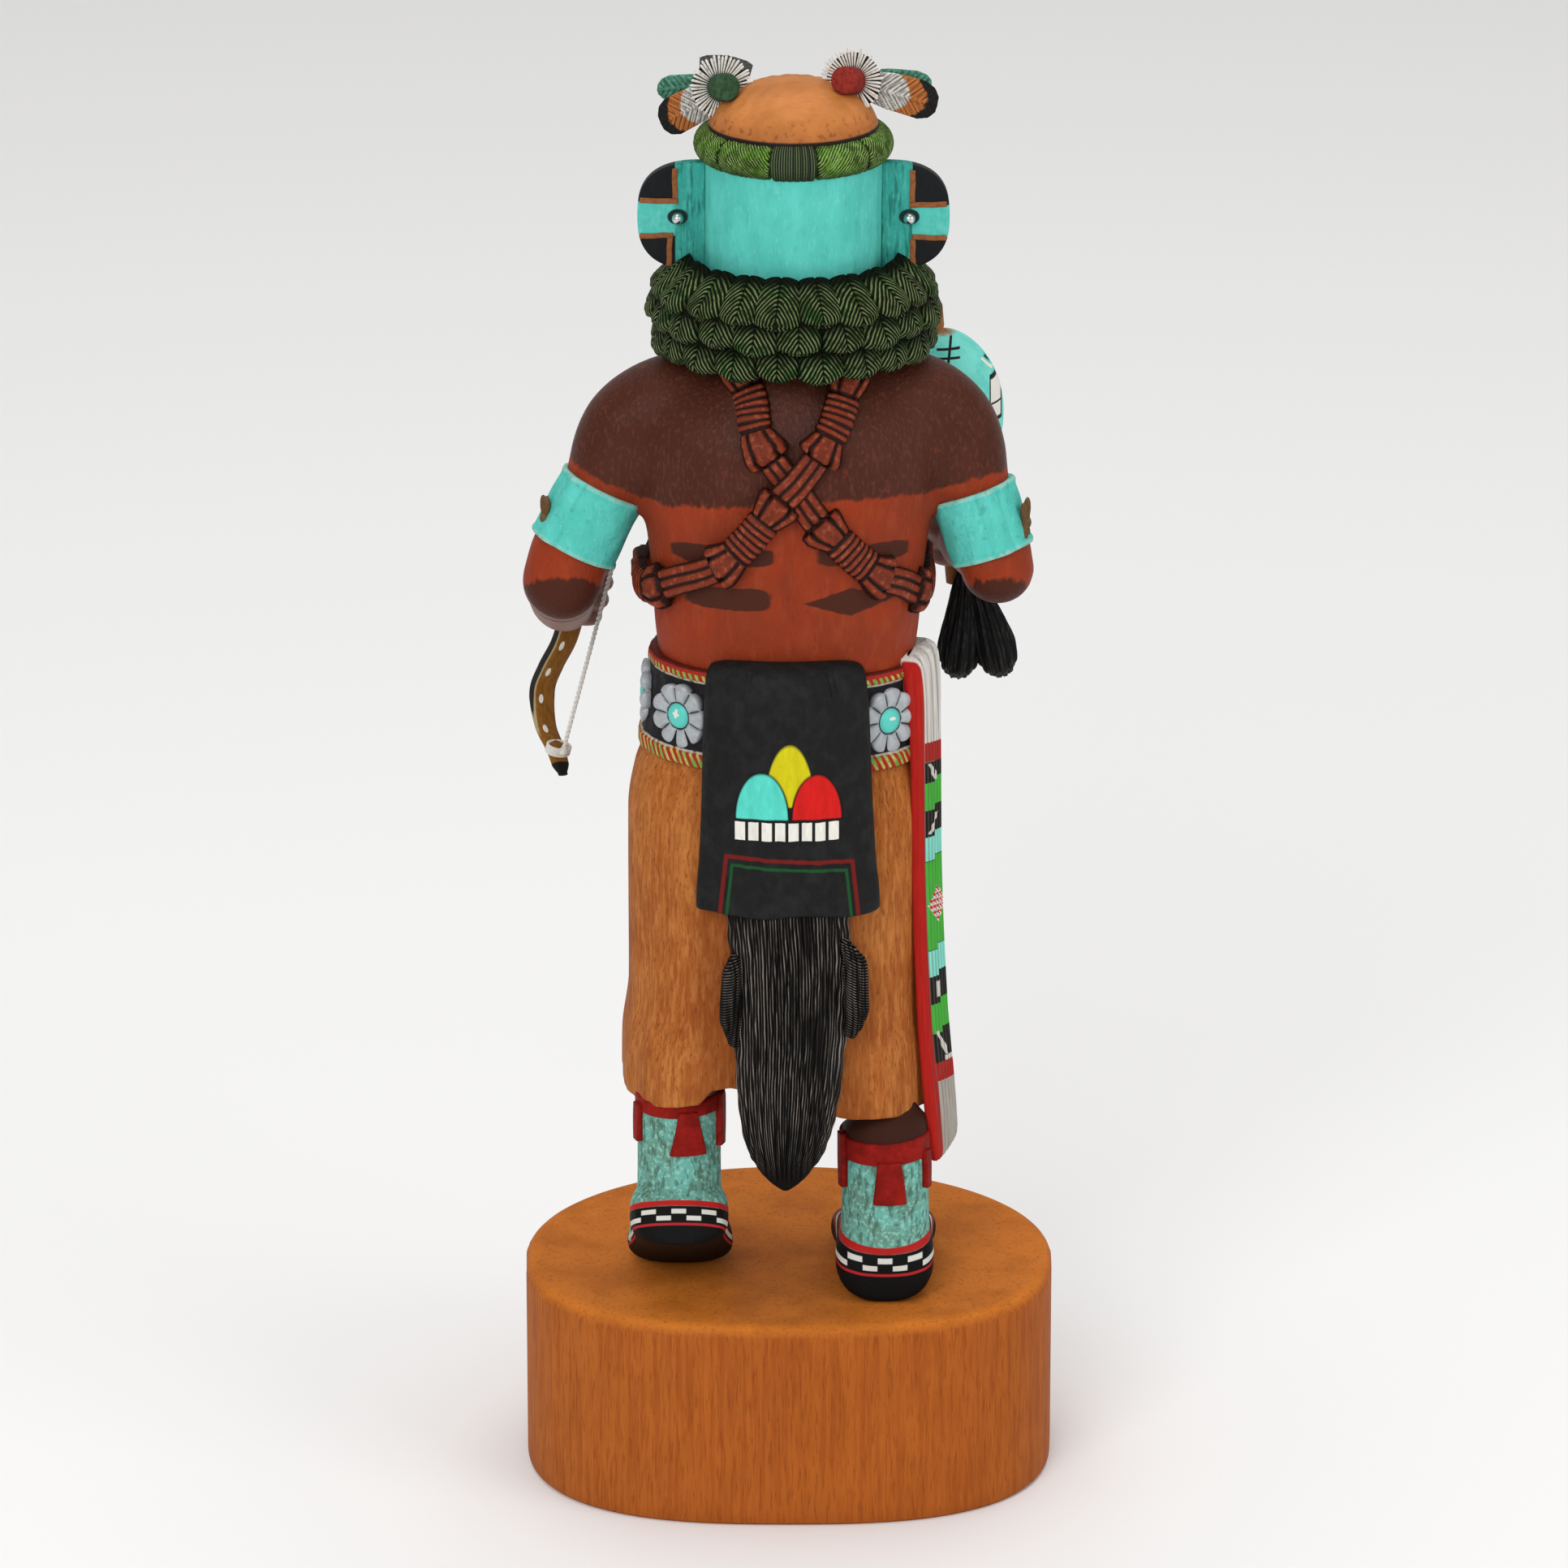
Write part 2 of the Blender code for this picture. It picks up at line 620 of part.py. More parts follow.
FLAP = [
    (139.6, 11.5, 1.6, -0.7, -26.2), (138.6, 14.6, 3.0, -0.7, -27.0), (134.0, 16.2, 3.8, -0.6, -28.4),
    (126.0, 16.8, 3.8, -0.5, -29.6), (110.0, 17.3, 3.4, -0.4, -31.6), (98.0, 17.9, 3.2, -0.3, -33.4),
    (90.6, 18.6, 2.6, -0.2, -35.2), (88.8, 18.4, 2.0, -0.2, -35.8),
]
FLAP_BEND = 0.0135
PELT = [
    (98.0, 10.5, 2.6, -0.4, -32.6), (88.0, 12.4, 3.9, -0.3, -33.1), (76.0, 12.0, 4.9, 0.2, -33.7),
    (64.0, 11.6, 5.3, 0.4, -34.5), (52.0, 10.9, 5.3, 0.0, -35.3), (43.0, 9.7, 4.4, -0.3, -36.3),
    (37.0, 8.0, 3.4, -0.5, -36.8), (32.0, 4.8, 2.2, -0.7, -37.0), (28.9, 1.2, 0.8, -0.7, -37.2),
]
PELT_BEND = 0.02
SASH = [
    (139.0, 7.0, 1.6, 26.0, -9.0), (136.0, 8.6, 2.2, 26.8, -9.4), (118.0, 9.0, 1.7, 28.2, -9.6),
    (86.0, 9.2, 1.5, 28.6, -9.8), (58.0, 9.4, 1.5, 29.8, -9.8), (41.0, 9.5, 1.6, 31.2, -9.8),
    (28.0, 9.3, 1.5, 32.2, -9.8), (27.0, 8.6, 1.0, 32.2, -9.8),
]
SASH_TURN = math.radians(76)


def hanging(rows, bend, turn, power, count):
    """A thin hanging form of rounded rectangles, bent round the body behind it."""
    rings = []
    for height, half_width, half_thickness, cx, cy in rows:
        ring = []
        for i in range(count):
            x, y = oval_point(2 * math.pi * i / count, half_width, half_thickness, power)
            y += bend * x * x
            flat = Matrix.Rotation(turn, 2) @ Vector((x, y))
            ring.append(Vector((cx + flat.x, cy + flat.y, height)))
        rings.append(ring)
    return skin(rings, strip_ends=True)


def make_hangings():
    """The back flap, the pelt with its two paws, and the side sash."""
    parts = [hanging(FLAP, FLAP_BEND, 0.0, 4.0, 16), hanging(PELT, PELT_BEND, 0.0, 2.3, 12)]
    for side in (-1, 1):
        paw = [(0.3 + side * 11.8, -32.8, 81, 1.6), (0.3 + side * 13.6, -33.4, 76, 2.6),
               (0.3 + side * 13.9, -33.6, 69, 2.6), (0.3 + side * 12.6, -33.8, 63, 1.6)]
        parts.append(tube(paw, 6))
    parts.append(hanging(SASH, 0.004, SASH_TURN, 4.5, 12))
    return parts


# Legs and moccasins

FOOT_LENGTH = 44.0
FOOT_BALL = 31.0
LEFT_HEEL_LIFT = math.radians(29)
RIGHT_HEEL = Vector((19.8, -28.4, 0.0))
LEFT_BALL = Vector((-22.6, -6.4, 0.0))
# (share of the length, half width, height)
FOOT = [(0.0, 5.5, 9.0), (0.04, 8.8, 12.0), (0.16, 10.2, 15.0), (0.34, 9.9, 16.0), (0.52, 10.2, 13.0),
        (0.70, 11.0, 9.4), (0.85, 10.4, 7.4), (0.95, 7.4, 5.8), (1.0, 3.6, 4.0)]


def foot_rings(place):
    """Rings of a shoe from heel to toe; place sets a local point down in the figure."""
    count = 10
    rings = []
    for share, half_width, height in FOOT:
        ring = []
        for i in range(count):
            x, z = oval_point(2 * math.pi * i / count, half_width, height / 2, 2.7)
            level = height / 2 + z
            level = max(level, 0.0)
            ring.append(place(Vector((x, share * FOOT_LENGTH, level))))
        rings.append(ring)
    return rings


def right_place(point):
    """The right foot stands flat."""
    return RIGHT_HEEL + point


def left_place(point):
    """The left foot rests on its ball and toes, with the heel lifted."""
    y = point.y - FOOT_BALL
    z = point.z
    if y < 0:
        y, z = (y * math.cos(LEFT_HEEL_LIFT) + z * math.sin(LEFT_HEEL_LIFT),
                -y * math.sin(LEFT_HEEL_LIFT) + z * math.cos(LEFT_HEEL_LIFT))
    return LEFT_BALL + Vector((point.x, y, z))


RIGHT_LEG = [(19.0, -14.0, 62.0, 7.6), (19.4, -17.5, 38.0, 7.4), (19.6, -17.8, 36.2, 7.6),
             (19.7, -17.9, 35.8, 9.6), (19.8, -18.1, 32.6, 9.5), (19.8, -18.2, 32.0, 9.0),
             (19.9, -18.4, 20.0, 9.0), (19.9, -18.2, 9.0, 9.4)]
LEFT_LEG = [(-21.8, -16.8, 52.0, 7.4), (-22.3, -17.5, 47.0, 9.0), (-22.5, -18.0, 40.8, 9.0), (-22.5, -18.1, 40.2, 8.6),
            (-22.6, -19.0, 28.0, 8.6), (-22.6, -19.6, 18.0, 8.8)]


def make_legs():
    """Both legs with their cuffed moccasins."""
    parts = []
    for leg, place in ((RIGHT_LEG, right_place), (LEFT_LEG, left_place)):
        parts.append(tube(leg, 11, False, False))
        parts.append(skin(foot_rings(place)))
    return parts


def make_figure():
    """Everything that is carved in one."""
    parts = make_body()
    parts += make_head()
    parts.append(make_ruff())
    parts += make_arms()
    parts.append(band_mesh(1, 0.3))
    parts.append(band_mesh(-1, 1.3))
    parts += [concho_mesh(turn) for turn in CONCHO_TURNS]
    parts += make_hangings()
    parts += make_legs()
    figure = unite("figure", parts)
    cut(figure, stick_mesh(CLEAR))
    cut(figure, bow_mesh(CLEAR))
    return figure


# Ear tabs and their pins

TAB_HEIGHT_PLACE = 225.0
TAB_Y = HEAD_Y - 0.5
PIN_REACH = 5.4


def tab_mesh(side):
    """A flat tab with a rounded outer edge, standing across the side of the mask."""
    reach = TAB_REACH / UNIT
    half_height = TAB_HEIGHT / UNIT / 2
    half_thickness = TAB_THICKNESS / UNIT / 2
    inner = HEAD_X + side * (MASK_RADIUS - 2.5)
    edge = HEAD_X + side * MASK_RADIUS
    corner = 2.7
    outline = [(inner, -half_height), (edge, -half_height)]
    steps = 10
    for step in range(steps + 1):
        angle = math.pi * (step / steps - 0.5)
        x, z = oval_point(angle, reach, half_height, corner)
        outline.append((edge + side * x, z))
    outline += [(edge, half_height), (inner, half_height)]
    cleaned = []
    for spot in outline:
        if not cleaned or math.dist(spot, cleaned[-1]) > 0.05:
            cleaned.append(spot)
    rings = []
    soft = 0.35
    middle_x = sum(x for x, _ in cleaned) / len(cleaned)
    for y, inset in ((-1, soft), (-1 + soft / half_thickness, 0), (1 - soft / half_thickness, 0), (1, soft)):
        ring = []
        for x, z in cleaned:
            shrink = 1 - inset / half_height
            ring.append(Vector((middle_x + (x - middle_x) * shrink, TAB_Y + y * half_thickness,
                                TAB_HEIGHT_PLACE + z * shrink)))
        rings.append(ring)
    return skin(rings)


def pin_place(side):
    """Where a pin's head meets the back face of its tab."""
    return Vector((HEAD_X + side * (MASK_RADIUS + PIN_REACH), TAB_Y - TAB_THICKNESS / UNIT / 2, TAB_HEIGHT_PLACE))


def pin_mesh(side):
    """A ball head on a short shank."""
    place = pin_place(side)
    head = PIN_HEAD_RADIUS / UNIT
    shank = PIN_SHANK_RADIUS / UNIT
    rings = []
    count = 6
    profile = [(shank, PIN_SHANK_LENGTH / UNIT), (shank, -CLEAR)]
    for step in range(1, 5):
        angle = math.pi * step / 5
        profile.append((max(head * math.sin(angle), shank), -CLEAR - head * (1 - math.cos(angle))))
    for radius, depth in profile:
        ring = []
        for i in range(count):
            angle = 2 * math.pi * i / count
            ring.append(place + Vector((radius * math.cos(angle), depth, radius * math.sin(angle))))
        rings.append(ring)
    return skin(rings)


def make_tab(side, name):
    """One ear tab, cleared of the head and the ruff and drilled for its pin."""
    tab = new_object("ear_tab_" + name, tab_mesh(side))
    cut(tab, turned(head_profile(CLEAR), HEAD_X, HEAD_Y, HEAD_SIDES))
    cut(tab, make_ruff(CLEAR, lobed=False))
    place = pin_place(side)
    bore = PIN_SHANK_RADIUS / UNIT + CLEAR
    depth = PIN_SHANK_LENGTH / UNIT + CLEAR
    cut(tab, tube([(place.x, place.y - 1, place.z, bore), (place.x, place.y + depth, place.z, bore)], 8, False, False))
    return tab


# Feather clusters

CLUSTERS = {
    "left": {
        "centre": Vector((-13.7, -1.0, 250.9)), "peg": Vector((0.20, -0.94, 0.26)),
        "feathers": [((-13.2, 0.0, 251.0), (-12.4, 5.5, 256.4), 5.4), ((-13.0, 0.2, 251.0), (-26.2, 4.0, 250.2), 2.6),
                     ((-12.4, -1.0, 250.2), (-25.6, 0.0, 244.3), 4.0)],
    },
    "right": {
        "centre": Vector((12.8, -1.0, 252.3)), "peg": Vector((-0.30, -0.92, 0.25)),
        "feathers": [((12.9, 0.3, 252.6), (28.4, 4.0, 251.2), 2.4), ((12.3, -0.9, 252.1), (29.6, 0.1, 248.0), 4.0)],
    },
}


def axis_frame(axis):
    """Two directions square to an axis, the first one level."""
    axis = axis.normalized()
    side = Vector((0, 0, 1)).cross(axis).normalized()
    return axis, side, axis.cross(side)


def disc_rings(centre, axis, profile, count):
    """Rings about an axis from (distance along it, radius) pairs."""
    axis, side, up = axis_frame(axis)
    rings = []
    for depth, radius in profile:
        ring = []
        for i in range(count):
            angle = 2 * math.pi * i / count
            ring.append(centre + axis * depth + (side * math.cos(angle) + up * math.sin(angle)) * radius)
        rings.append(ring)
    return rings


def feather_mesh(root, tip, half_width):
    """A flat feather, widest past its middle and rounded at its tip."""
    root, tip = Vector(root), Vector(tip)
    along = (tip - root).normalized()
    face = Vector((0, 1, 0)) - along * along.y
    face.normalize()
    across = along.cross(face)
    thickness = FEATHER_THICKNESS / UNIT / 2
    length = (tip - root).length
    rings = []
    for share, width in ((0.0, 0.6), (0.45, 0.95), (0.82, 1.0), (1.0, 0.4)):
        ring = []
        for i in range(6):
            angle = 2 * math.pi * i / 6
            droop = -0.9 * share * share
            spot = root + along * length * share + Vector((0, 0, droop))
            ring.append(spot + across * math.cos(angle) * half_width * width
                        + face * math.sin(angle) * thickness * mix(1.0, 0.6, share))
        rings.append(ring)
    return skin(rings)


def make_cluster(name):
    """A rosette with its feathers, seated clear of the head."""
    spec = CLUSTERS[name]
    rays = ROSETTE_RADIUS / UNIT
    peg = PEG_RADIUS / UNIT
    rosette = skin(disc_rings(spec["centre"], spec["peg"],
                              [(-1.6, peg), (-0.2, rays * 0.85), (1.4, rays), (0.5, peg)], 12))
    meshes = [rosette]
    for root, tip, half_width in spec["feathers"]:
        meshes.append(feather_mesh(root, tip, half_width))
    cluster = unite("feather_cluster_" + name, meshes)
    cut(cluster, turned(head_profile(CLEAR), HEAD_X, HEAD_Y, HEAD_SIDES))
    return cluster


def make_peg(name):
    """The round peg that stands out of a rosette towards the back."""
    spec = CLUSTERS[name]
    radius = PEG_RADIUS / UNIT
    length = PEG_LENGTH / UNIT
    start = 0.5 + CLEAR
    profile = [(start, radius * 0.9), (start + 0.4, radius), (start + length - 0.5, radius), (start + length, radius - 0.5)]
    peg = new_object("peg_" + name, skin(disc_rings(spec["centre"], spec["peg"], profile, 10)))
    cut(peg, turned(head_profile(CLEAR), HEAD_X, HEAD_Y, HEAD_SIDES))
    return peg


# Rattle, tassel, bow and string

def stick_mesh(grow=0.0):
    """The lower stick of the rattle; grow makes the hole that it passes through."""
    radius = RATTLE_STICK_RADIUS / UNIT + grow
    foot = RATTLE_FOOT - RATTLE_LEAN * grow
    neck = GOURD_CENTRE - RATTLE_LEAN * (GOURD_HALF_HEIGHT / UNIT - 1)
    return tube([(*foot, radius), (*neck, radius)], 10, False, False)


def make_rattle():
    """The gourd on its stick, turned about one slightly bent axis."""
    stick = RATTLE_STICK_RADIUS / UNIT
    belly, half = GOURD_RADIUS / UNIT, GOURD_HALF_HEIGHT / UNIT
    stations = [(*RATTLE_FOOT, stick)]
    down = (RATTLE_FOOT - GOURD_CENTRE).normalized()
    up = (RATTLE_TOP - GOURD_CENTRE).normalized()
    stations.append((*(GOURD_CENTRE + down * (half + 0.4)), stick))
    steps = 7
    for step in range(steps + 1):
        angle = math.radians(mix(-80, 80, step / steps))
        away = up if angle > 0 else down
        place = GOURD_CENTRE + away * abs(half * math.sin(angle))
        stations.append((*place, max(belly * math.cos(angle), stick)))
    stations.append((*(GOURD_CENTRE + up * (half + 0.4)), stick * 1.1))
    stations.append((*RATTLE_TOP, stick * 1.1))
    return new_object("rattle", tube(stations, 12, False, False))


# Tied behind the handle's free end, just below the hand
TASSEL_KNOT = Vector((1.7, -(RATTLE_STICK_RADIUS / UNIT + CLEAR), 4.0))
TASSEL_TOP = RATTLE_FOOT + TASSEL_KNOT
TASSEL_SPREAD = ((-1.2, 0.0), (7.4, 0.3))
# (share of the length, share of the lobe's radius)
TASSEL_SHAPE = ((0.0, 0.28), (0.25, 0.55), (0.55, 0.82), (0.8, 1.0), (0.93, 0.82))


def make_tassel():
    """Two hair lobes that hang from one knot under the right hand."""
    length = TASSEL_LENGTH / UNIT
    lobe = TASSEL_LOBE_RADIUS / UNIT
    meshes = []
    for spread, lift in TASSEL_SPREAD:
        rows = []
        for share, width in TASSEL_SHAPE:
            drop = share * (length - 1.0 - lift)
            behind = TASSEL_TOP.y - lobe * width
            rows.append((TASSEL_TOP.x + spread * share ** 0.7, behind, TASSEL_TOP.z - drop, lobe * width))
        meshes.append(tube(rows, 7, round_start=False))
    return unite("tassel", meshes)


def bow_stations():
    """Stave points from the lower tip to the upper one, mirrored about the grip."""
    lower = [(share, off) for share, off in BOW_STAVE]
    upper = [(2 - share, off) for share, off in reversed(lower[:-1])]
    return lower + upper


def bow_mesh(grow=0.0):
    """The double-curved stave: flat oval sections that narrow to the tips."""
    _, back, _ = bow_frame()
    rows = bow_stations()
    steps = 16
    full_to, tip_at = 0.75, 1.11
    spots = []
    for step in range(steps + 1):
        share, off = catmull(rows, step / steps)
        spots.append((stave_point(share, off), abs(share - 1)))
    rings = []
    points = [spot for spot, _ in spots]
    for (point, reach), (along, _, _) in zip(spots, frames_along(points)):
        across = along.cross(back).normalized()
        out = across.cross(along).normalized()
        narrowing = max(0.0, reach - full_to) / (tip_at - full_to)
        half_width = BOW_WIDTH / UNIT / 2 * mix(1.0, 0.6, narrowing) + grow
        half_thick = BOW_THICKNESS / UNIT / 2 * mix(1.0, 0.75, narrowing) + grow
        ring = []
        for i in range(6):
            w, t = oval_point(2 * math.pi * (i + 0.5) / 6, half_width, half_thick, 2.6)
            ring.append(point + across * w + out * t)
        rings.append(ring)
    return skin(rings)


def make_string():
    """The taut string between the two nocks, standing just off the belly of the tips."""
    radius = STRING_DIAMETER / UNIT / 2
    off = BOW_STAVE[1][1] - BOW_THICKNESS / UNIT / 2 - radius - CLEAR
    ends = [stave_point(NOCK_SHARE, off), stave_point(2 - NOCK_SHARE, off)]
    middle = ends[0].lerp(ends[1], 0.5)
    return new_object("bow_string", tube([(*ends[0], radius), (*middle, radius), (*ends[1], radius)], 6))


def main():
    """Build every node."""
    clear_scene()
    nodes = [make_figure()]
    for name, side in (("left", -1), ("right", 1)):
        nodes.append(make_tab(side, name))
        nodes.append(new_object("ear_pin_" + name, pin_mesh(side)))
        nodes.append(make_cluster(name))
        nodes.append(make_peg(name))
    nodes.append(make_rattle())
    nodes.append(make_tassel())
    nodes.append(new_object("bow", bow_mesh()))
    nodes.append(make_string())
    for node in nodes:
        settle(node)
    for node in [make_plinth()] + nodes:
        finish(node)


main()
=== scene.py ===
# %% [markdown]
# # A carved and painted kachina doll in high detail
#
# The real object is a figure carved from cottonwood, painted, and set on an oval block of wood. The packed
# model already fixes where everything is and how big it is. This lesson dresses it. Most carved pieces are
# woven as fine grids of points with numpy, because a carver's forms are smooth rows of ovals with cuts in
# them, and a grid takes both. What repeats, such as leaves, petals, rays and threads, is set out with
# Geometry Nodes. Paint is made of procedural masks, so it stays sharp at any distance.

# %% Load the frame
import math

import bmesh
import bpy
import numpy as np
from mathutils import Matrix, Vector


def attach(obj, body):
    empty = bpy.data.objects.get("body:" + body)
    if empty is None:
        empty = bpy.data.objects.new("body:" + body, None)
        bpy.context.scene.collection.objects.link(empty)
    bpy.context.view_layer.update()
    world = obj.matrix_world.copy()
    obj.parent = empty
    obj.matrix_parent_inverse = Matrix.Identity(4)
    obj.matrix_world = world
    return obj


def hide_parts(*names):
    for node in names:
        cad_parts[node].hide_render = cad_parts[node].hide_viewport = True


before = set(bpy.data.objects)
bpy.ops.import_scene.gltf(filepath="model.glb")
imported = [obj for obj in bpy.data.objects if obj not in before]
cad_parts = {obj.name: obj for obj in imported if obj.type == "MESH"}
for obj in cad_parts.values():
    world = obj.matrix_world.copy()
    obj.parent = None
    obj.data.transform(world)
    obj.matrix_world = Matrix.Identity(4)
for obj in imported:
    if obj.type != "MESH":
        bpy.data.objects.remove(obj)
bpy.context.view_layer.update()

print("CAD nodes:", ", ".join(sorted(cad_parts)))

# %% [markdown]
# ## Camera and light
#
# The doll was photographed from behind, a little from above, with a long lens. Soft light comes from the
# camera's side, so the block's face is brighter than its top. A floor that curves up into a backdrop keeps
# the horizon away. The Standard view keeps painted colours as they are mixed.

# %% Camera, floor and soft light
CAMERA_DISTANCE = 1.8
CAMERA_RISE = math.radians(19.0)
CAMERA_TARGET = Vector((-0.001, -0.005, 0.1477))
SENSOR_WIDTH = 36.0
FOCAL_SHARE = 10800 / 1932

scene = bpy.context.scene
scene.view_settings.view_transform = "Standard"

camera_data = bpy.data.cameras.new("camera")
camera_data.sensor_width = SENSOR_WIDTH
camera_data.lens = SENSOR_WIDTH * FOCAL_SHARE
camera = bpy.data.objects.new("camera", camera_data)
scene.collection.objects.link(camera)
away = Vector((0, -math.cos(CAMERA_RISE), math.sin(CAMERA_RISE)))
camera.location = CAMERA_TARGET + away * CAMERA_DISTANCE
camera.rotation_euler = (-away).to_track_quat("-Z", "Y").to_euler()
scene.camera = camera


def soft_light(name, spot, target, size, power):
    """A square area light that looks at a point."""
    data = bpy.data.lights.new(name, "AREA")
    data.shape = "RECTANGLE"
    data.size = size[0]
    data.size_y = size[1]
    data.energy = power
    light = bpy.data.objects.new(name, data)
    light.location = spot
    light.rotation_euler = (Vector(target) - Vector(spot)).to_track_quat("-Z", "Y").to_euler()
    scene.collection.objects.link(light)


soft_light("key_light", (-0.55, -1.6, 1.15), (0, 0, 0.14), (1.0, 0.8), 16.0)
soft_light("fill_light", (1.3, -0.9, 0.8), (0, 0, 0.14), (1.0, 1.0), 6.0)
soft_light("top_light", (0.0, 0.3, 1.6), (0, 0, 0.1), (1.4, 1.4), 9.0)

world = bpy.data.worlds.new("room")
world.use_nodes = True
world.node_tree.nodes["Background"].inputs["Color"].default_value = (1.0, 0.99, 0.98, 1.0)
world.node_tree.nodes["Background"].inputs["Strength"].default_value = 0.55
scene.world = world


def make_backdrop():
    """A floor that bends up into a wall far behind the object."""
    half_width, near, far, bend, wall = 4.0, -3.5, 3.5, 1.2, 3.5
    profile = [(near, 0.0)]
    for step in range(17):
        angle = math.pi / 2 * step / 16
        profile.append((far - bend + bend * math.sin(angle), bend * (1 - math.cos(angle))))
    profile.append((far, wall))
    verts = [(side * half_width, y, z) for y, z in profile for side in (-1, 1)]
    faces = [(2 * i, 2 * i + 1, 2 * i + 3, 2 * i + 2) for i in range(len(profile) - 1)]
    data = bpy.data.meshes.new("backdrop")
    data.from_pydata(verts, [], faces)
    data.shade_smooth()
    paper = bpy.data.materials.new("backdrop_paper")
    paper.use_nodes = True
    tree = paper.node_tree
    where = tree.nodes.new("ShaderNodeTexCoord")
    split = tree.nodes.new("ShaderNodeSeparateXYZ")
    # The paper's colour rises from 0.875 of white on the floor to white 1.3 m up: painted light that
    # brightens the rising wall.
    fade = tree.nodes.new("ShaderNodeMapRange")
    fade.inputs["From Max"].default_value = 1.3
    fade.inputs["To Min"].default_value = 0.875
    fade.inputs["To Max"].default_value = 1.0
    tree.links.new(where.outputs["Object"], split.inputs[0])
    tree.links.new(split.outputs["Z"], fade.inputs["Value"])
    tree.links.new(fade.outputs[0], tree.nodes["Principled BSDF"].inputs["Base Color"])
    tree.nodes["Principled BSDF"].inputs["Roughness"].default_value = 0.85
    data.materials.append(paper)
    backdrop = bpy.data.objects.new("backdrop", data)
    scene.collection.objects.link(backdrop)


make_backdrop()
print("camera at", [round(v, 4) for v in camera.location])

# %% [markdown]
# ## Measures
#
# The figure is laid out in millimetres above the block's top, with x to its right hand, y to its face and z
# up. One function turns that into metres in the frame. The main sizes are the ones that the solid model
# has, so each fine piece lies on its solid.

# %% The figure's own millimetres
FINE_TURN = 720
FIGURE_BACK = 5.0
FIGURE_FOOT = 44.3
HEAD_X, HEAD_Y = 0.9, -2.0


def in_metres(points):
    """Figure millimetres to metres in the frame."""
    return (np.asarray(points, float) + (0.0, -FIGURE_BACK, FIGURE_FOOT)) * 0.001


def unit(vector):
    """A vector of length one; works on a whole array of them."""
    vector = np.asarray(vector, float)
    return vector / np.maximum(np.linalg.norm(vector, axis=-1, keepdims=True), 1e-9)


def smooth_step(low, high, value):
    """0 below low, 1 above high, with a soft run between."""
    share = np.clip((value - low) / (high - low), 0.0, 1.0)
    return share * share * (3 - 2 * share)


def oval(angle, half_width, half_depth, power=2.0):
    """Points of a superellipse; angle 0 is +x and a quarter turn is +y."""
    c, s = np.cos(angle), np.sin(angle)
    x = half_width * np.sign(c) * np.abs(c) ** (2.0 / power)
    y = half_depth * np.sign(s) * np.abs(s) ** (2.0 / power)
    return x, y


def full_turn(count):
    """So many angles, an equal way apart, round a full turn."""
    return np.linspace(0, 2 * math.pi, count, endpoint=False)


def ring_round(side, up, angle):
    """Directions round a ring, from one pair of side directions or from a pair for each point of a path."""
    side, up = np.asarray(side)[..., None, :], np.asarray(up)[..., None, :]
    return side * np.cos(angle)[:, None] + up * np.sin(angle)[:, None]


def way_along(points):
    """How far along a row of points each of them lies."""
    return np.append(0.0, np.cumsum(np.linalg.norm(np.diff(points, axis=0), axis=1)))


def read_off(spots, keys, rows):
    """Rows of numbers read off between key rows."""
    return np.stack([np.interp(spots, keys, column) for column in np.asarray(rows).T], -1)


def even_oval(count, half_width, half_depth, power):
    """Points of a superellipse an equal way apart, so flat sides get as many as corners."""
    x, y = oval(full_turn(FINE_TURN), half_width, half_depth, power)
    points = np.stack([np.append(x, x[0]), np.append(y, y[0])], -1)
    way = way_along(points)
    return read_off(np.linspace(0, way[-1], count, endpoint=False), way, points).T


def flow(rows, steps):
    """Read rows off smooth curves through key rows, keeping every key row and never overshooting."""
    rows = np.array(rows, float)
    gaps = np.maximum(np.linalg.norm(np.diff(rows, axis=0), axis=1), 1e-6)
    keys = np.append(0.0, np.cumsum(gaps))
    rise = np.diff(rows, axis=0) / gaps[:, None]
    slope = np.zeros_like(rows)
    before, after = rise[:-1], rise[1:]
    same = before * after > 0
    total = np.where(same, before + after, 1.0)
    slope[1:-1] = np.where(same, 2 * before * after / total, 0.0)
    slope[0], slope[-1] = rise[0], rise[-1]
    ways = np.unique(np.round(np.concatenate([np.linspace(0, keys[-1], steps), keys]), 5))
    ways = ways[np.append(True, np.diff(ways) > 0.02)]
    place = np.clip(np.searchsorted(keys, ways, side="right") - 1, 0, len(gaps) - 1)
    h = gaps[place][:, None]
    t = ((ways - keys[place]) / gaps[place])[:, None]
    low, high = rows[place], rows[place + 1]
    bend = (2 * t ** 3 - 3 * t ** 2 + 1) * low + (3 * t ** 2 - 2 * t ** 3) * high
    return bend + h * ((t ** 3 - 2 * t ** 2 + t) * slope[place] + (t ** 3 - t ** 2) * slope[place + 1])


print("head axis at", HEAD_X, HEAD_Y, "mm")

# %% [markdown]
# ## Weaving a mesh
#
# A grid of points becomes a closed skin: rows of rings, with a fan at each end. Blender could spin or loft
# the same forms with modifiers, but a grid keeps each point's place known, so cuts, veins and folds can be
# pressed into it before it becomes faces. The last helper measures how hollow each point lies. The materials
# read that number to lay painted shade in the hollows and a painted highlight on ridges.

# %% Grid meshes and hollows
made = {}


def keep(name, data):
    """Link a mesh as a finished piece at the origin."""
    thing = bpy.data.objects.new(name, data)
    scene.collection.objects.link(thing)
    made[name] = thing
    return thing


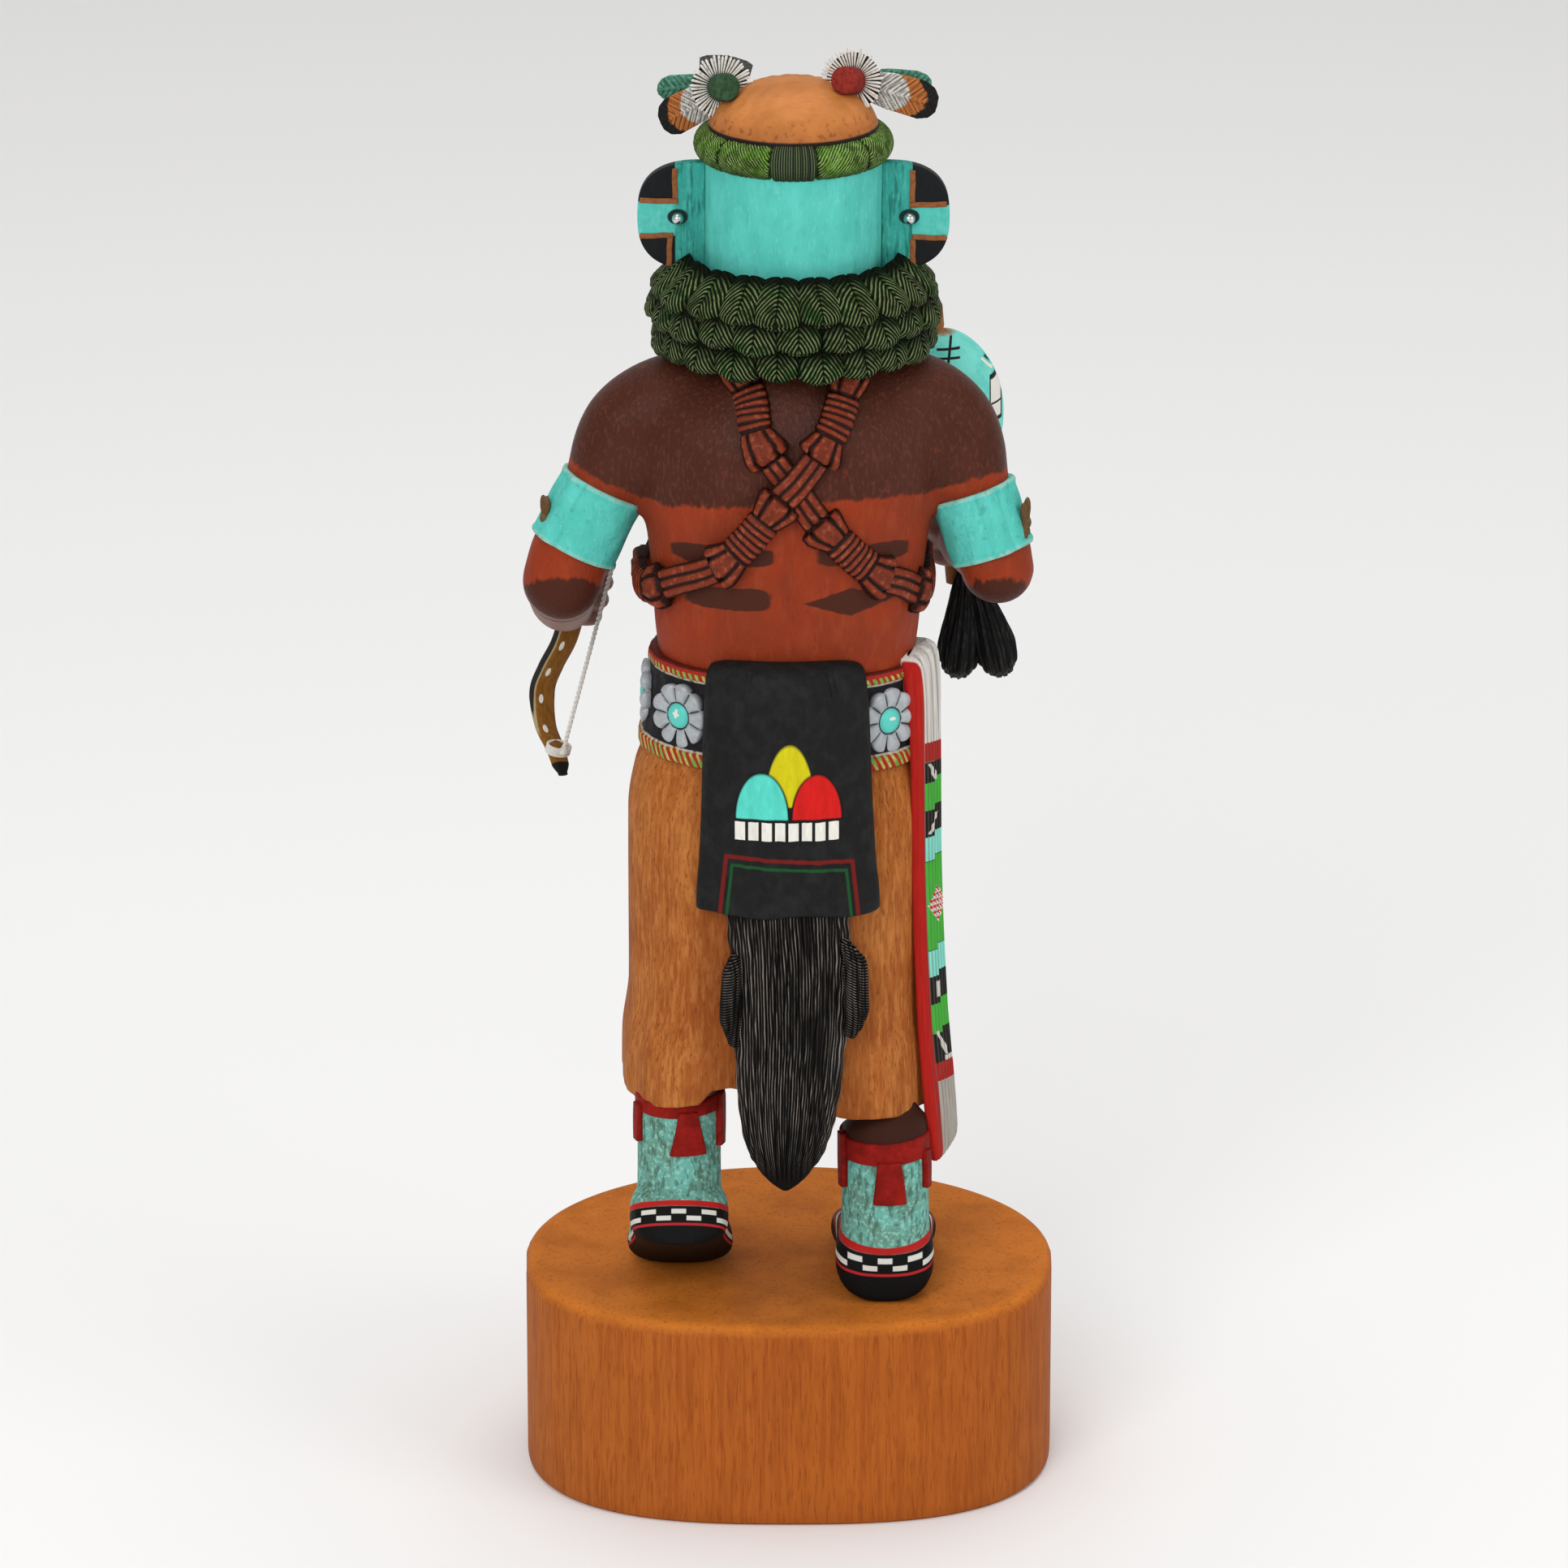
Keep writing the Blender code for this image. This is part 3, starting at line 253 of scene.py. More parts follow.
def grid_data(name, grid, uv=None, loop_cols=True, loop_rows=False, cap=True):
    """Mesh data over a grid of points [row, column, xyz] in figure millimetres."""
    rows, cols = grid.shape[:2]
    row_count = rows if loop_rows else rows - 1
    col_count = cols if loop_cols else cols - 1
    r, c = np.meshgrid(np.arange(row_count), np.arange(col_count), indexing="ij")
    r, c = r.ravel(), c.ravel()
    r2, c2 = (r + 1) % rows, (c + 1) % cols
    faces = np.stack([r * cols + c, r * cols + c2, r2 * cols + c2, r2 * cols + c], axis=-1).tolist()
    points = grid.reshape(-1, 3).tolist()
    spots = []
    if uv is not None:
        u, v = uv
        corners = ((r, c), (r, c + 1), (r + 1, c + 1), (r + 1, c))
        spots = [np.stack([np.stack([u[a, b], v[a, b]], -1) for a, b in corners], 1).reshape(-1, 2)]
    if cap and not loop_rows:
        for row in (0, rows - 1):
            middle = len(points)
            points.append(grid[row].mean(axis=0).tolist())
            for i in range(col_count):
                faces.append([row * cols + i, row * cols + (i + 1) % cols, middle])
            if uv is not None:
                edge = row_count if row else 0
                fan = [[(u[edge, i], v[edge, i]), (u[edge, i + 1], v[edge, i + 1]),
                        (u[edge].mean(), v[edge].mean())] for i in range(col_count)]
                spots.append(np.array(fan).reshape(-1, 2))
    data = bpy.data.meshes.new(name)
    data.from_pydata(in_metres(points).tolist(), [], faces)
    if uv is not None:
        layer = data.uv_layers.new(name="UVMap")
        layer.data.foreach_set("uv", np.concatenate(spots).ravel())
    mesh = bmesh.new()
    mesh.from_mesh(data)
    bmesh.ops.recalc_face_normals(mesh, faces=mesh.faces)
    mesh.to_mesh(data)
    mesh.free()
    data.shade_smooth()
    return data


def weave(name, grid, **ways):
    """A finished piece over a grid."""
    return keep(name, grid_data(name, grid, **ways))


def joined(name, parts):
    """One mesh of several mesh data blocks."""
    mesh = bmesh.new()
    for part in parts:
        mesh.from_mesh(part)
    data = bpy.data.meshes.new(name)
    mesh.to_mesh(data)
    mesh.free()
    data.shade_smooth()
    return data


def coordinates(data):
    """All points of a mesh as an array, in metres."""
    flat = np.empty(len(data.vertices) * 3)
    data.vertices.foreach_get("co", flat)
    return flat.reshape(-1, 3)


def neighbours(data):
    """Both ends of every edge."""
    ends = np.empty(len(data.edges) * 2, dtype=np.int64)
    data.edges.foreach_get("vertices", ends)
    return ends.reshape(-1, 2)


def spread(values, ends, rounds):
    """Smooth numbers on points by averaging them with their neighbours'."""
    count = np.zeros(len(values))
    np.add.at(count, ends[:, 0], 1)
    np.add.at(count, ends[:, 1], 1)
    count = np.maximum(count, 1)
    shape = (-1,) + (1,) * (values.ndim - 1)
    for _ in range(rounds):
        total = np.zeros_like(values)
        np.add.at(total, ends[:, 0], values[ends[:, 1]])
        np.add.at(total, ends[:, 1], values[ends[:, 0]])
        values = 0.5 * values + 0.5 * total / count.reshape(shape)
    return values


def write_numbers(data, name, values):
    """Keep a number on every point of a mesh."""
    layer = data.attributes.get(name) or data.attributes.new(name, "FLOAT", "POINT")
    layer.data.foreach_set("value", values)


def mark_hollows(thing, rounds=1):
    """Store how hollow each point lies (in 1/mm; negative on ridges) for the materials to read."""
    data = thing.data
    points = coordinates(data) * 1000
    flat = np.empty(len(data.vertices) * 3)
    data.vertices.foreach_get("normal", flat)
    normals = flat.reshape(-1, 3)
    ends = neighbours(data)
    a, b = ends[:, 0], ends[:, 1]
    step = points[b] - points[a]
    length = np.maximum((step ** 2).sum(axis=1), 0.01)
    total, count = np.zeros(len(points)), np.zeros(len(points))
    np.add.at(total, a, (step * normals[a]).sum(axis=1) / length)
    np.add.at(total, b, -(step * normals[b]).sum(axis=1) / length)
    np.add.at(count, a, 1)
    np.add.at(count, b, 1)
    write_numbers(data, "hollow", spread(total / np.maximum(count, 1), ends, rounds))
    return thing


def store(thing, name, values):
    """Keep a grid of numbers on the points it was woven from."""
    flat = np.zeros(len(thing.data.vertices))
    flat[:values.size] = values.ravel()
    write_numbers(thing.data, name, flat)
    return thing


def remeshed(name, parts, voxel, rounds):
    """Melt overlapping closed meshes into one carved skin and smooth it."""
    data = joined(name, parts)
    thing = bpy.data.objects.new(name, data)
    scene.collection.objects.link(thing)
    melt = thing.modifiers.new("melt", "REMESH")
    melt.mode = "VOXEL"
    melt.voxel_size = voxel * 0.001
    graph = bpy.context.evaluated_depsgraph_get()
    whole = bpy.data.meshes.new_from_object(thing.evaluated_get(graph))
    bpy.data.objects.remove(thing, do_unlink=True)
    whole.name = name
    points = spread(coordinates(whole), neighbours(whole), rounds)
    whole.vertices.foreach_set("co", points.ravel())
    whole.update()
    whole.shade_smooth()
    return whole


print("helpers ready")

# %% [markdown]
# ## Sweeping along a path
#
# Arms, straps, legs, pegs and threads all follow a path. A steady pair of side directions is carried along
# it, so nothing twists, and each station can have its own section.

# %% Paths and tubes


def path_frames(points, first_side=None):
    """Direction and two side directions at each point of a path."""
    points = np.asarray(points, float)
    ahead = np.vstack([points[1:], points[-1:]])
    behind = np.vstack([points[:1], points[:-1]])
    along = unit(ahead - behind)
    side = np.array(first_side if first_side is not None else (0.0, 0.0, 1.0), float)
    if first_side is None and abs(along[0, 2]) > 0.9:
        side = np.array((1.0, 0.0, 0.0))
    sides = []
    for direction in along:
        side = unit(side - direction * side.dot(direction))
        sides.append(side)
    sides = np.array(sides)
    return along, sides, np.cross(along, sides)


def even_path(points, count):
    """The same path read off at equal steps, bent smoothly through its points."""
    fine = flow(points, max(count * 4, 200))
    way = way_along(fine[:, :3])
    return read_off(np.linspace(0, way[-1], count), way, fine)


def bar(stations, steps, sides, round_start=True, round_end=True, first_side=None):
    """Grid of a round bar through (x, y, z, radius) stations, rounded at the ends where asked."""
    rows = flow(stations, steps)
    for at_end, wanted in ((False, round_start), (True, round_end)):
        if not wanted:
            continue
        tip, inner = (rows[-1], rows[-2]) if at_end else (rows[0], rows[1])
        outward = unit(tip[:3] - inner[:3])
        turns = np.linspace(0.15, 0.97, 7) * math.pi / 2
        ends = np.array([[*(tip[:3] + outward * tip[3] * math.sin(a)), tip[3] * math.cos(a)] for a in turns])
        rows = np.vstack([rows, ends]) if at_end else np.vstack([ends[::-1], rows])
    _, side, up = path_frames(rows[:, :3], first_side)
    return rows[:, None, :3] + ring_round(side, up, full_turn(sides)) * rows[:, None, 3:4]


def ball(centre, radii, rows=12, cols=20, turn=None):
    """Grid of an ellipsoid; turn is an optional 3x3 matrix."""
    lift = np.linspace(-math.pi / 2 + 0.08, math.pi / 2 - 0.08, rows)
    angle = full_turn(cols)
    grid = np.stack([np.cos(lift)[:, None] * np.cos(angle), np.cos(lift)[:, None] * np.sin(angle),
                     np.sin(lift)[:, None] * np.ones(cols)], -1) * np.array(radii)
    if turn is not None:
        grid = grid @ np.array(turn).T
    return grid + np.array(centre)


print("sweeps ready")

# %% [markdown]
# ## Mixing paint
#
# Every colour here is laid over the one before it through a mask, as a painter lays coats. A mask is a
# number field, built by adding and comparing coordinates in millimetres, noise and the hollows measured
# above. Writing such masks as node after node is slow to read, so a small class lets plain sums make the
# nodes: `p.z.over(120) & p.x.under(3)` is a region with soft edges.

# %% Fields and paint
NOISE_ROUGHNESS = 0.55


class Field:
    """A number that varies over the surface, kept as a node socket."""

    def __init__(self, tree, socket):
        self.tree = tree
        self.socket = socket

    def sum_with(self, operation, *others, clamp=False):
        """One sum node over this field and the others, which are fields or plain numbers."""
        node = self.tree.nodes.new("ShaderNodeMath")
        node.operation = operation
        node.use_clamp = clamp
        for slot, value in zip(node.inputs, (self,) + others):
            if isinstance(value, Field):
                self.tree.links.new(value.socket, slot)
            else:
                slot.default_value = value
        return Field(self.tree, node.outputs[0])

    def __add__(self, other):
        return self.sum_with("ADD", other)

    def __sub__(self, other):
        return self.sum_with("SUBTRACT", other)

    def __mul__(self, other):
        return self.sum_with("MULTIPLY", other)

    __and__ = __mul__

    def __or__(self, other):
        return self.sum_with("MAXIMUM", other)

    def less(self):
        """1 minus the field: the rest of a mask."""
        return self.sum_with("MULTIPLY_ADD", -1.0, 1.0)

    def over(self, edge, soft=0.12):
        """1 where the field is above the edge."""
        if isinstance(edge, Field):
            return (self - edge).sum_with("MULTIPLY_ADD", 1 / soft, 0.5, clamp=True)
        return self.sum_with("MULTIPLY_ADD", 1 / soft, 0.5 - edge / soft, clamp=True)

    def under(self, edge, soft=0.12):
        """1 where the field is below the edge."""
        return self.over(edge, soft).less()

    def between(self, low, high, soft=0.12):
        """1 from low to high."""
        return self.over(low, soft) & self.under(high, soft)

    def size(self):
        """The field without its sign."""
        return self.sum_with("ABSOLUTE")

    def line(self, places):
        """The field read off a broken line through (in, out) places."""
        total = None
        for (start, low), (end, high) in zip(places, places[1:]):
            node = self.tree.nodes.new("ShaderNodeMapRange")
            self.tree.links.new(self.socket, node.inputs["Value"])
            values = (start, end, low if total is None else 0.0, high if total is None else high - low)
            for key, value in zip(("From Min", "From Max", "To Min", "To Max"), values):
                node.inputs[key].default_value = value
            part = Field(self.tree, node.outputs[0])
            total = part if total is None else total + part
        return total

    def wave(self, period):
        """A sine of the field, from -1 to 1."""
        return self.sum_with("MULTIPLY_ADD", 2 * math.pi / period, 0.0).sum_with("SINE")

    def repeat(self, period):
        """The field counted from 0 to one period, again and again."""
        return self.sum_with("WRAP", period, 0.0)


class Paint:
    """A material built coat by coat, in figure millimetres."""

    def __init__(self, name, ground):
        self.material = bpy.data.materials.new(name)
        self.material.use_nodes = True
        self.tree = self.material.node_tree
        self.shader = self.tree.nodes["Principled BSDF"]
        where = self.tree.nodes.new("ShaderNodeTexCoord").outputs["Object"]
        scaled = self.vector("MULTIPLY", where, (1000, 1000, 1000))
        self.mm = self.vector("ADD", scaled, (0, FIGURE_BACK, -FIGURE_FOOT))
        parts = self.tree.nodes.new("ShaderNodeSeparateXYZ")
        self.tree.links.new(self.mm, parts.inputs[0])
        self.x, self.y, self.z = [Field(self.tree, parts.outputs[i]) for i in range(3)]
        self.colour = ground

    def vector(self, operation, socket, value):
        """A vector sum of a socket with a fixed vector."""
        node = self.tree.nodes.new("ShaderNodeVectorMath")
        node.operation = operation
        self.tree.links.new(socket, node.inputs[0])
        node.inputs[1].default_value = value
        return node.outputs[0]

    def noise(self, per_mm, detail=3.0, stretch=(1, 1, 1), shift=0.0):
        """Cloudy noise round 0.5 with so many clouds to the millimetre."""
        spread_out = self.vector("MULTIPLY", self.mm, [per_mm * s for s in stretch])
        moved = self.vector("ADD", spread_out, (shift, shift * 0.7, -shift))
        node = self.tree.nodes.new("ShaderNodeTexNoise")
        node.inputs["Scale"].default_value = 1.0
        node.inputs["Detail"].default_value = detail
        node.inputs["Roughness"].default_value = NOISE_ROUGHNESS
        self.tree.links.new(moved, node.inputs["Vector"])
        return Field(self.tree, node.outputs["Fac"])

    def stored(self, name):
        """A number kept on the mesh's points."""
        node = self.tree.nodes.new("ShaderNodeAttribute")
        node.attribute_name = name
        return Field(self.tree, node.outputs["Fac"])

    def along_and_across(self):
        """The piece's own UV, in millimetres: across first, along second."""
        node = self.tree.nodes.new("ShaderNodeUVMap")
        node.uv_map = "UVMap"
        parts = self.tree.nodes.new("ShaderNodeSeparateXYZ")
        self.tree.links.new(node.outputs[0], parts.inputs[0])
        return Field(self.tree, parts.outputs[0]), Field(self.tree, parts.outputs[1])

    def set_colour(self, slot, value):
        """Give a colour input a fixed colour or a socket."""
        if isinstance(value, tuple):
            slot.default_value = (*value, 1.0)
        else:
            self.tree.links.new(value, slot)

    def mixed(self, mask, first, second):
        """A colour between two, by a mask."""
        node = self.tree.nodes.new("ShaderNodeMix")
        node.data_type = "RGBA"
        self.tree.links.new(mask.socket, node.inputs[0])
        self.set_colour(node.inputs[6], first)
        self.set_colour(node.inputs[7], second)
        return node.outputs[2]

    def coat(self, mask, colour):
        """Lay a colour over what is there."""
        self.colour = self.mixed(mask, self.colour, colour)
        return self

    def shade(self, factor):
        """Make the colour lighter or darker by a field round 1."""
        if isinstance(self.colour, tuple):
            self.colour = self.mixed(factor * 0.0, self.colour, self.colour)
        node = self.tree.nodes.new("ShaderNodeVectorMath")
        node.operation = "SCALE"
        self.tree.links.new(self.colour, node.inputs[0])
        self.tree.links.new(factor.socket, node.inputs["Scale"])
        self.colour = node.outputs[0]
        return self

    def mottle(self, noise, low, high):
        """Shade by noise: low where it is dark and high where it is light."""
        factor = noise.sum_with("MULTIPLY_ADD", (high - low) * 1.6, low - (high - low) * 0.3)
        return self.shade(factor)

    def paint_hollow_shade(self, colour, edge=0.12, soft=0.5, strength=0.85):
        """Painted shade: a darker colour laid in the cuts and hollows, where shade falls."""
        return self.coat(self.stored("hollow").over(edge, soft) * strength, colour)

    def paint_ridge_highlight(self, colour, edge=0.35, soft=0.5, strength=0.5):
        """Painted highlight: a lighter colour laid on the ridges."""
        ridge = self.stored("hollow") * -1.0
        return self.coat(ridge.over(edge, soft) * strength, colour)

    def done(self, roughness=0.6, height=None, depth=0.1, metallic=0.0, gloss=0.05):
        """Join the colour, the roughness and a bump of so many millimetres to the shader."""
        self.set_colour(self.shader.inputs["Base Color"], self.colour)
        if isinstance(roughness, Field):
            self.tree.links.new(roughness.socket, self.shader.inputs["Roughness"])
        else:
            self.shader.inputs["Roughness"].default_value = roughness
        self.shader.inputs["Metallic"].default_value = metallic
        self.shader.inputs["Specular IOR Level"].default_value = gloss
        if height is not None:
            bump = self.tree.nodes.new("ShaderNodeBump")
            bump.inputs["Strength"].default_value = 1.0
            bump.inputs["Distance"].default_value = depth * 0.001
            self.tree.links.new(height.socket, bump.inputs["Height"])
            self.tree.links.new(bump.outputs[0], self.shader.inputs["Normal"])
        return self.material


def dress(thing, material, nodes=("figure",)):
    """Give a finished piece its paint, let it ride on the doll and hide the solids it stands for."""
    thing.data.materials.clear()
    thing.data.materials.append(material)
    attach(thing, "root")
    if nodes:
        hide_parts(*nodes)
    print(thing.name, len(thing.data.polygons), "faces")
    return thing


# Colours mixed to match the real paint, in linear light; some also serve as painted shade
TURQUOISE = (0.080, 0.480, 0.410)
TURQUOISE_LIGHT = (0.115, 0.580, 0.510)
TURQUOISE_DEEP = (0.030, 0.235, 0.200)
BRICK_RED = (0.250, 0.036, 0.012)
DARK_BROWN = (0.070, 0.022, 0.013)
SOOT = (0.012, 0.012, 0.012)
RUFF_SHADE_COLOUR = (0.010, 0.018, 0.007)
BONE_WHITE = (0.740, 0.720, 0.660)
POPPY_RED = (0.550, 0.030, 0.020)
YELLOW = (0.560, 0.500, 0.010)

print("paint ready")

# %% [markdown]
# ## The wooden block
#
# The doll stands on an oval block with a rounded top edge, stained orange brown. It could be an extruded
# curve with a bevel; a woven skin of level outlines gives the same form and lets the back stay rounder than
# the front. The grain stands upright on the sides, so its noise is squeezed across and stretched upward,
# while the top shows the ends of the same fibres.

# %% The block
PLINTH_HALF_WIDTH, PLINTH_HALF_DEPTH, PLINTH_TALL = 55.0, 46.5, 44.0
PLINTH_EDGE, PLINTH_FOOT_EDGE = 3.0, 0.8
PLINTH_TURNS = 180


def block_ring(height, inset):
    """One outline of the block: oval at the back, squarer at the front."""
    angle = full_turn(PLINTH_TURNS)
    a, b = PLINTH_HALF_WIDTH - inset, PLINTH_HALF_DEPTH - inset
    x_round, y_round = oval(angle, a, b, 2.0)
    x_square, y_square = oval(angle, a, b, 2.7)
    front = np.sin(angle) < 0
    x = np.where(front, x_square, x_round)
    y = np.where(front, y_square, y_round)
    return np.stack([x, y + FIGURE_BACK, np.full(PLINTH_TURNS, height - FIGURE_FOOT)], -1)


def make_block():
    """The block with its rounded top edge, its top closed by shrinking rings."""
    middle = np.array((0.0, FIGURE_BACK, 0.0))
    shrink = np.array((1.0, 1.0, 0.0))
    foot = block_ring(0.0, PLINTH_FOOT_EDGE)
    rings = [foot + (middle - foot) * shrink * share for share in (0.95, 0.7, 0.4, 0.15, 0.04)]
    rings.append(foot)
    rings.append(block_ring(PLINTH_FOOT_EDGE, 0.0))
    for height in np.linspace(4, PLINTH_TALL - PLINTH_EDGE - 0.5, 14):
        rings.append(block_ring(height, 0.0))
    for angle in np.linspace(0, math.pi / 2, 8):
        rise = PLINTH_EDGE * (1 - math.sin(angle))
        rings.append(block_ring(PLINTH_TALL - rise, PLINTH_EDGE * (1 - math.cos(angle))))
    top = rings[-1]
    rings += [top + (middle - top) * shrink * share for share in (0.04, 0.12, 0.3, 0.55, 0.8, 0.96)]
    grid = np.array(rings)
    side = (grid[:, :, 2] > -42) & (grid[:, :, 2] < -2)
    angle = np.arctan2(grid[:, :, 1] - FIGURE_BACK, grid[:, :, 0])
    rasp = 0.10 * np.sin(angle * 31 + np.sin(angle * 7) * 2) + 0.07 * np.sin(angle * 67 + 1)
    out = unit(grid * (1, 1, 0) - np.array((0, FIGURE_BACK, 0)))
    return grid + out * (rasp * side)[:, :, None]


def block_paint():
    """Orange brown stain with soft upright grain on the side and a plainer top."""
    p = Paint("stained_block", (0.355, 0.087, 0.012))
    side = p.z.under(-1.8, 1.6)
    grain = p.noise(0.9, 5.0, (1, 1, 0.05))
    fine = p.noise(2.6, 4.0, (1, 1, 0.08), shift=9.0)
    # Lighter towards the ends of the side, most on the left: painted light.
    p.coat(p.x.line(((-55, 0.8), (-15, 0.25), (30, 0.15), (55, 0.4))), (0.430, 0.128, 0.024))
    # The top gets its own lighter tone: painted light, set apart from the side's stain by how each is lit.
    p.coat(side.less(), (0.540, 0.160, 0.021))
    p.coat((p.noise(0.20, 4.0, (1, 1, 0.3), shift=5.0).over(0.52, 0.3) & side) * 0.5, (0.430, 0.118, 0.018))
    p.coat((grain.over(0.53, 0.16) & side) * 0.5, (0.270, 0.058, 0.010))
    p.coat((fine.over(0.58, 0.10) & side) * 0.5, (0.210, 0.045, 0.008))
    p.coat((p.noise(0.07, 3.0, shift=2.0).over(0.54, 0.2) & side.less()) * 0.5, (0.330, 0.090, 0.012))
    p.coat((p.noise(1.4, 3.0, shift=8.0).over(0.60, 0.08) & side.less()) * 0.45, (0.240, 0.062, 0.010))
    p.mottle(p.noise(0.10, 3.0), 0.92, 1.08)
    height = (grain * 0.6 + fine * 0.4) & side | p.noise(1.2, 3.0, (1, 0.4, 1), shift=2.0) * 0.2
    return p.done(roughness=0.6, height=height, depth=0.16)


dress(weave("plinth_block", make_block()), block_paint(), ("plinth",))

# %% [markdown]
# ## Mask, wreath and crown
#
# The head is a plain turned case: a straight turquoise mask, a thick wreath of plaited leaves and a low
# orange crown. The three are separate skins here, because each has its own cuts. The wreath is a ring whose
# surface is pressed in along slanting lines, which reads as plaited strands; the crown has the flat marks of
# a knife.

# %% The head
MASK_RADIUS, MASK_FOOT, MASK_TOP = 17.8, 204.6, 239.0
WREATH_HEIGHT, WREATH_RADIUS, WREATH_TUBE = 239.9, 16.6, 3.5
WREATH_COLS, WREATH_ROWS = 600, 36
WRAP_EDGE, PLAIT_END = 4.9, 17.6
STRAND_SPACING, STRAND_LEAN, WRAP_SPACING = 0.95, 2.6, 0.8
STROKE_SPACING, STROKE_COUNT = 0.74, 24
CROWN_RADIUS, CROWN_FOOT, CROWN_RISE = 17.1, 242.6, 10.4
TURNS = 240


def round_head(radius, angle, height):
    """Points at a radius, a turn and a height about the head's axis."""
    x, y = HEAD_X + radius * np.cos(angle), HEAD_Y + radius * np.sin(angle)
    return np.stack(np.broadcast_arrays(x, y, height), -1)


def turned(profile, count, steps):
    """Rings about the head's axis from (radius, height) pairs."""
    rows = flow(profile, steps)
    return round_head(rows[:, :1], full_turn(count), rows[:, 1:2])


def make_mask():
    """The case mask with faint flats left by the knife."""
    profile = [(MASK_RADIUS - 3, MASK_FOOT), (MASK_RADIUS - 0.4, MASK_FOOT), (MASK_RADIUS, MASK_FOOT + 0.6),
               (MASK_RADIUS, 222), (MASK_RADIUS - 0.05, MASK_TOP), (MASK_RADIUS - 3, MASK_TOP + 0.5)]
    grid = turned(profile, TURNS, 46)
    angle, z = full_turn(TURNS), grid[:, :, 2]
    flats = 0.07 * np.sin(angle * 13 + z * 0.06) + 0.05 * np.sin(angle * 29 - z * 0.11)
    out = np.stack([np.cos(angle), np.sin(angle), np.zeros_like(angle)], -1)
    return grid + out[None] * flats[:, :, None]


def mask_paint(name="mask_turquoise"):
    """Turquoise poster paint, brushed and slightly chalky."""
    p = Paint(name, TURQUOISE)
    p.coat(p.noise(0.16, 4.0, (1, 1, 0.6)).over(0.52, 0.25) * 0.7, TURQUOISE_LIGHT)
    p.coat(p.noise(0.55, 5.0, (1, 1, 0.5), shift=4.0).over(0.62, 0.15) * 0.2, TURQUOISE_DEEP)
    p.coat(p.noise(1.6, 4.0, (1, 1, 0.3), shift=8.0).over(0.62, 0.1) * 0.25, (0.24, 0.68, 0.60))
    # Painted shade in the hollows.
    p.paint_hollow_shade(TURQUOISE_DEEP, 0.35, 0.6, 0.7)
    return p


def finished_mask():
    """The mask's paint with its plain eyes, which only the hidden front carries."""
    p = mask_paint()
    front = p.y.over(6, 1)
    eye = ((p.x - HEAD_X).size() - 6.4).size() - 2.1
    p.coat(p.z.between(228.2, 231.6, 0.2) & eye.under(0, 0.2) & front, SOOT)
    # A darker green band at the mask's foot, just above the ruff: painted shade tinted by the green of the
    # ruff.
    p.coat(p.z.under(214.6, 0.8) & p.noise(0.5, 3.0).over(0.45, 0.2), (0.030, 0.200, 0.060))
    stroke = p.noise(0.9, 4.0, (1, 1, 0.3), shift=2.0)
    return p.done(roughness=0.62, height=stroke, depth=0.16)


dress(mark_hollows(weave("case_mask", make_mask())), finished_mask())

mouth_grid = bar([(HEAD_X, 12.0, 221.5, 3.4), (HEAD_X, 22.6, 221.5, 3.4), (HEAD_X, 23.6, 221.5, 3.1),
                  (HEAD_X, 23.8, 221.5, 2.3), (HEAD_X, 22.4, 221.5, 1.9), (HEAD_X, 18.0, 221.5, 1.8)],
                 40, 32, False, False)
mouth_paint = Paint("mouth_paint", BRICK_RED)
mouth_paint.coat(mouth_paint.y.over(23.3, 0.2), SOOT)
mouth_paint.mottle(mouth_paint.noise(0.8), 0.8, 1.2)
dress(weave("tube_mouth", mouth_grid),
      mouth_paint.done(roughness=0.6, height=mouth_paint.noise(1.2), depth=0.1))


def make_crown():
    """The low dome, a little uneven from carving."""
    lift = np.radians(np.linspace(-12, 88, 40))
    profile = np.stack([CROWN_RADIUS * np.cos(lift), CROWN_FOOT + CROWN_RISE * np.sin(lift)], -1)
    grid = round_head(profile[:, :1], full_turn(TURNS), profile[:, 1:2])
    x, y = grid[..., 0], grid[..., 1]
    grid[..., 2] += 0.12 * np.sin(x * 0.9 + y * 0.4) * np.sin(y * 0.7) + 0.08 * np.sin(x * 1.7 - y)
    return grid


def crown_paint():
    """Orange tan over wood, with thin grain, a darker foot and a black seam behind the wreath."""
    p = Paint("crown_orange", (0.440, 0.155, 0.036))
    p.coat(p.noise(0.12, 3.0).over(0.5, 0.3), (0.560, 0.205, 0.056))
    p.coat(p.noise(0.9, 5.0, (0.25, 1, 1), shift=3.0).over(0.60, 0.16) * 0.22, (0.330, 0.110, 0.030))
    p.coat((p.z + p.noise(0.2, 3.0, shift=7.0) * 6).under(249.0, 4.0) * 0.7, (0.330, 0.100, 0.024))
    p.coat(p.noise(2.2, 2.0, shift=5.0).over(0.70, 0.05) * 0.4, (0.120, 0.035, 0.012))
    smudge = p.noise(0.7, 4.0, shift=2.0).over(0.60, 0.1) & p.z.under(247.5, 2.0)
    p.coat(smudge * 0.6, (0.150, 0.040, 0.012))
    p.coat(p.z.under(244.1, 0.35), (0.012, 0.008, 0.006))
    return p.done(roughness=0.5, height=p.noise(0.5, 4.0), depth=0.25, gloss=0.12)


dress(weave("crown", make_crown()), crown_paint())


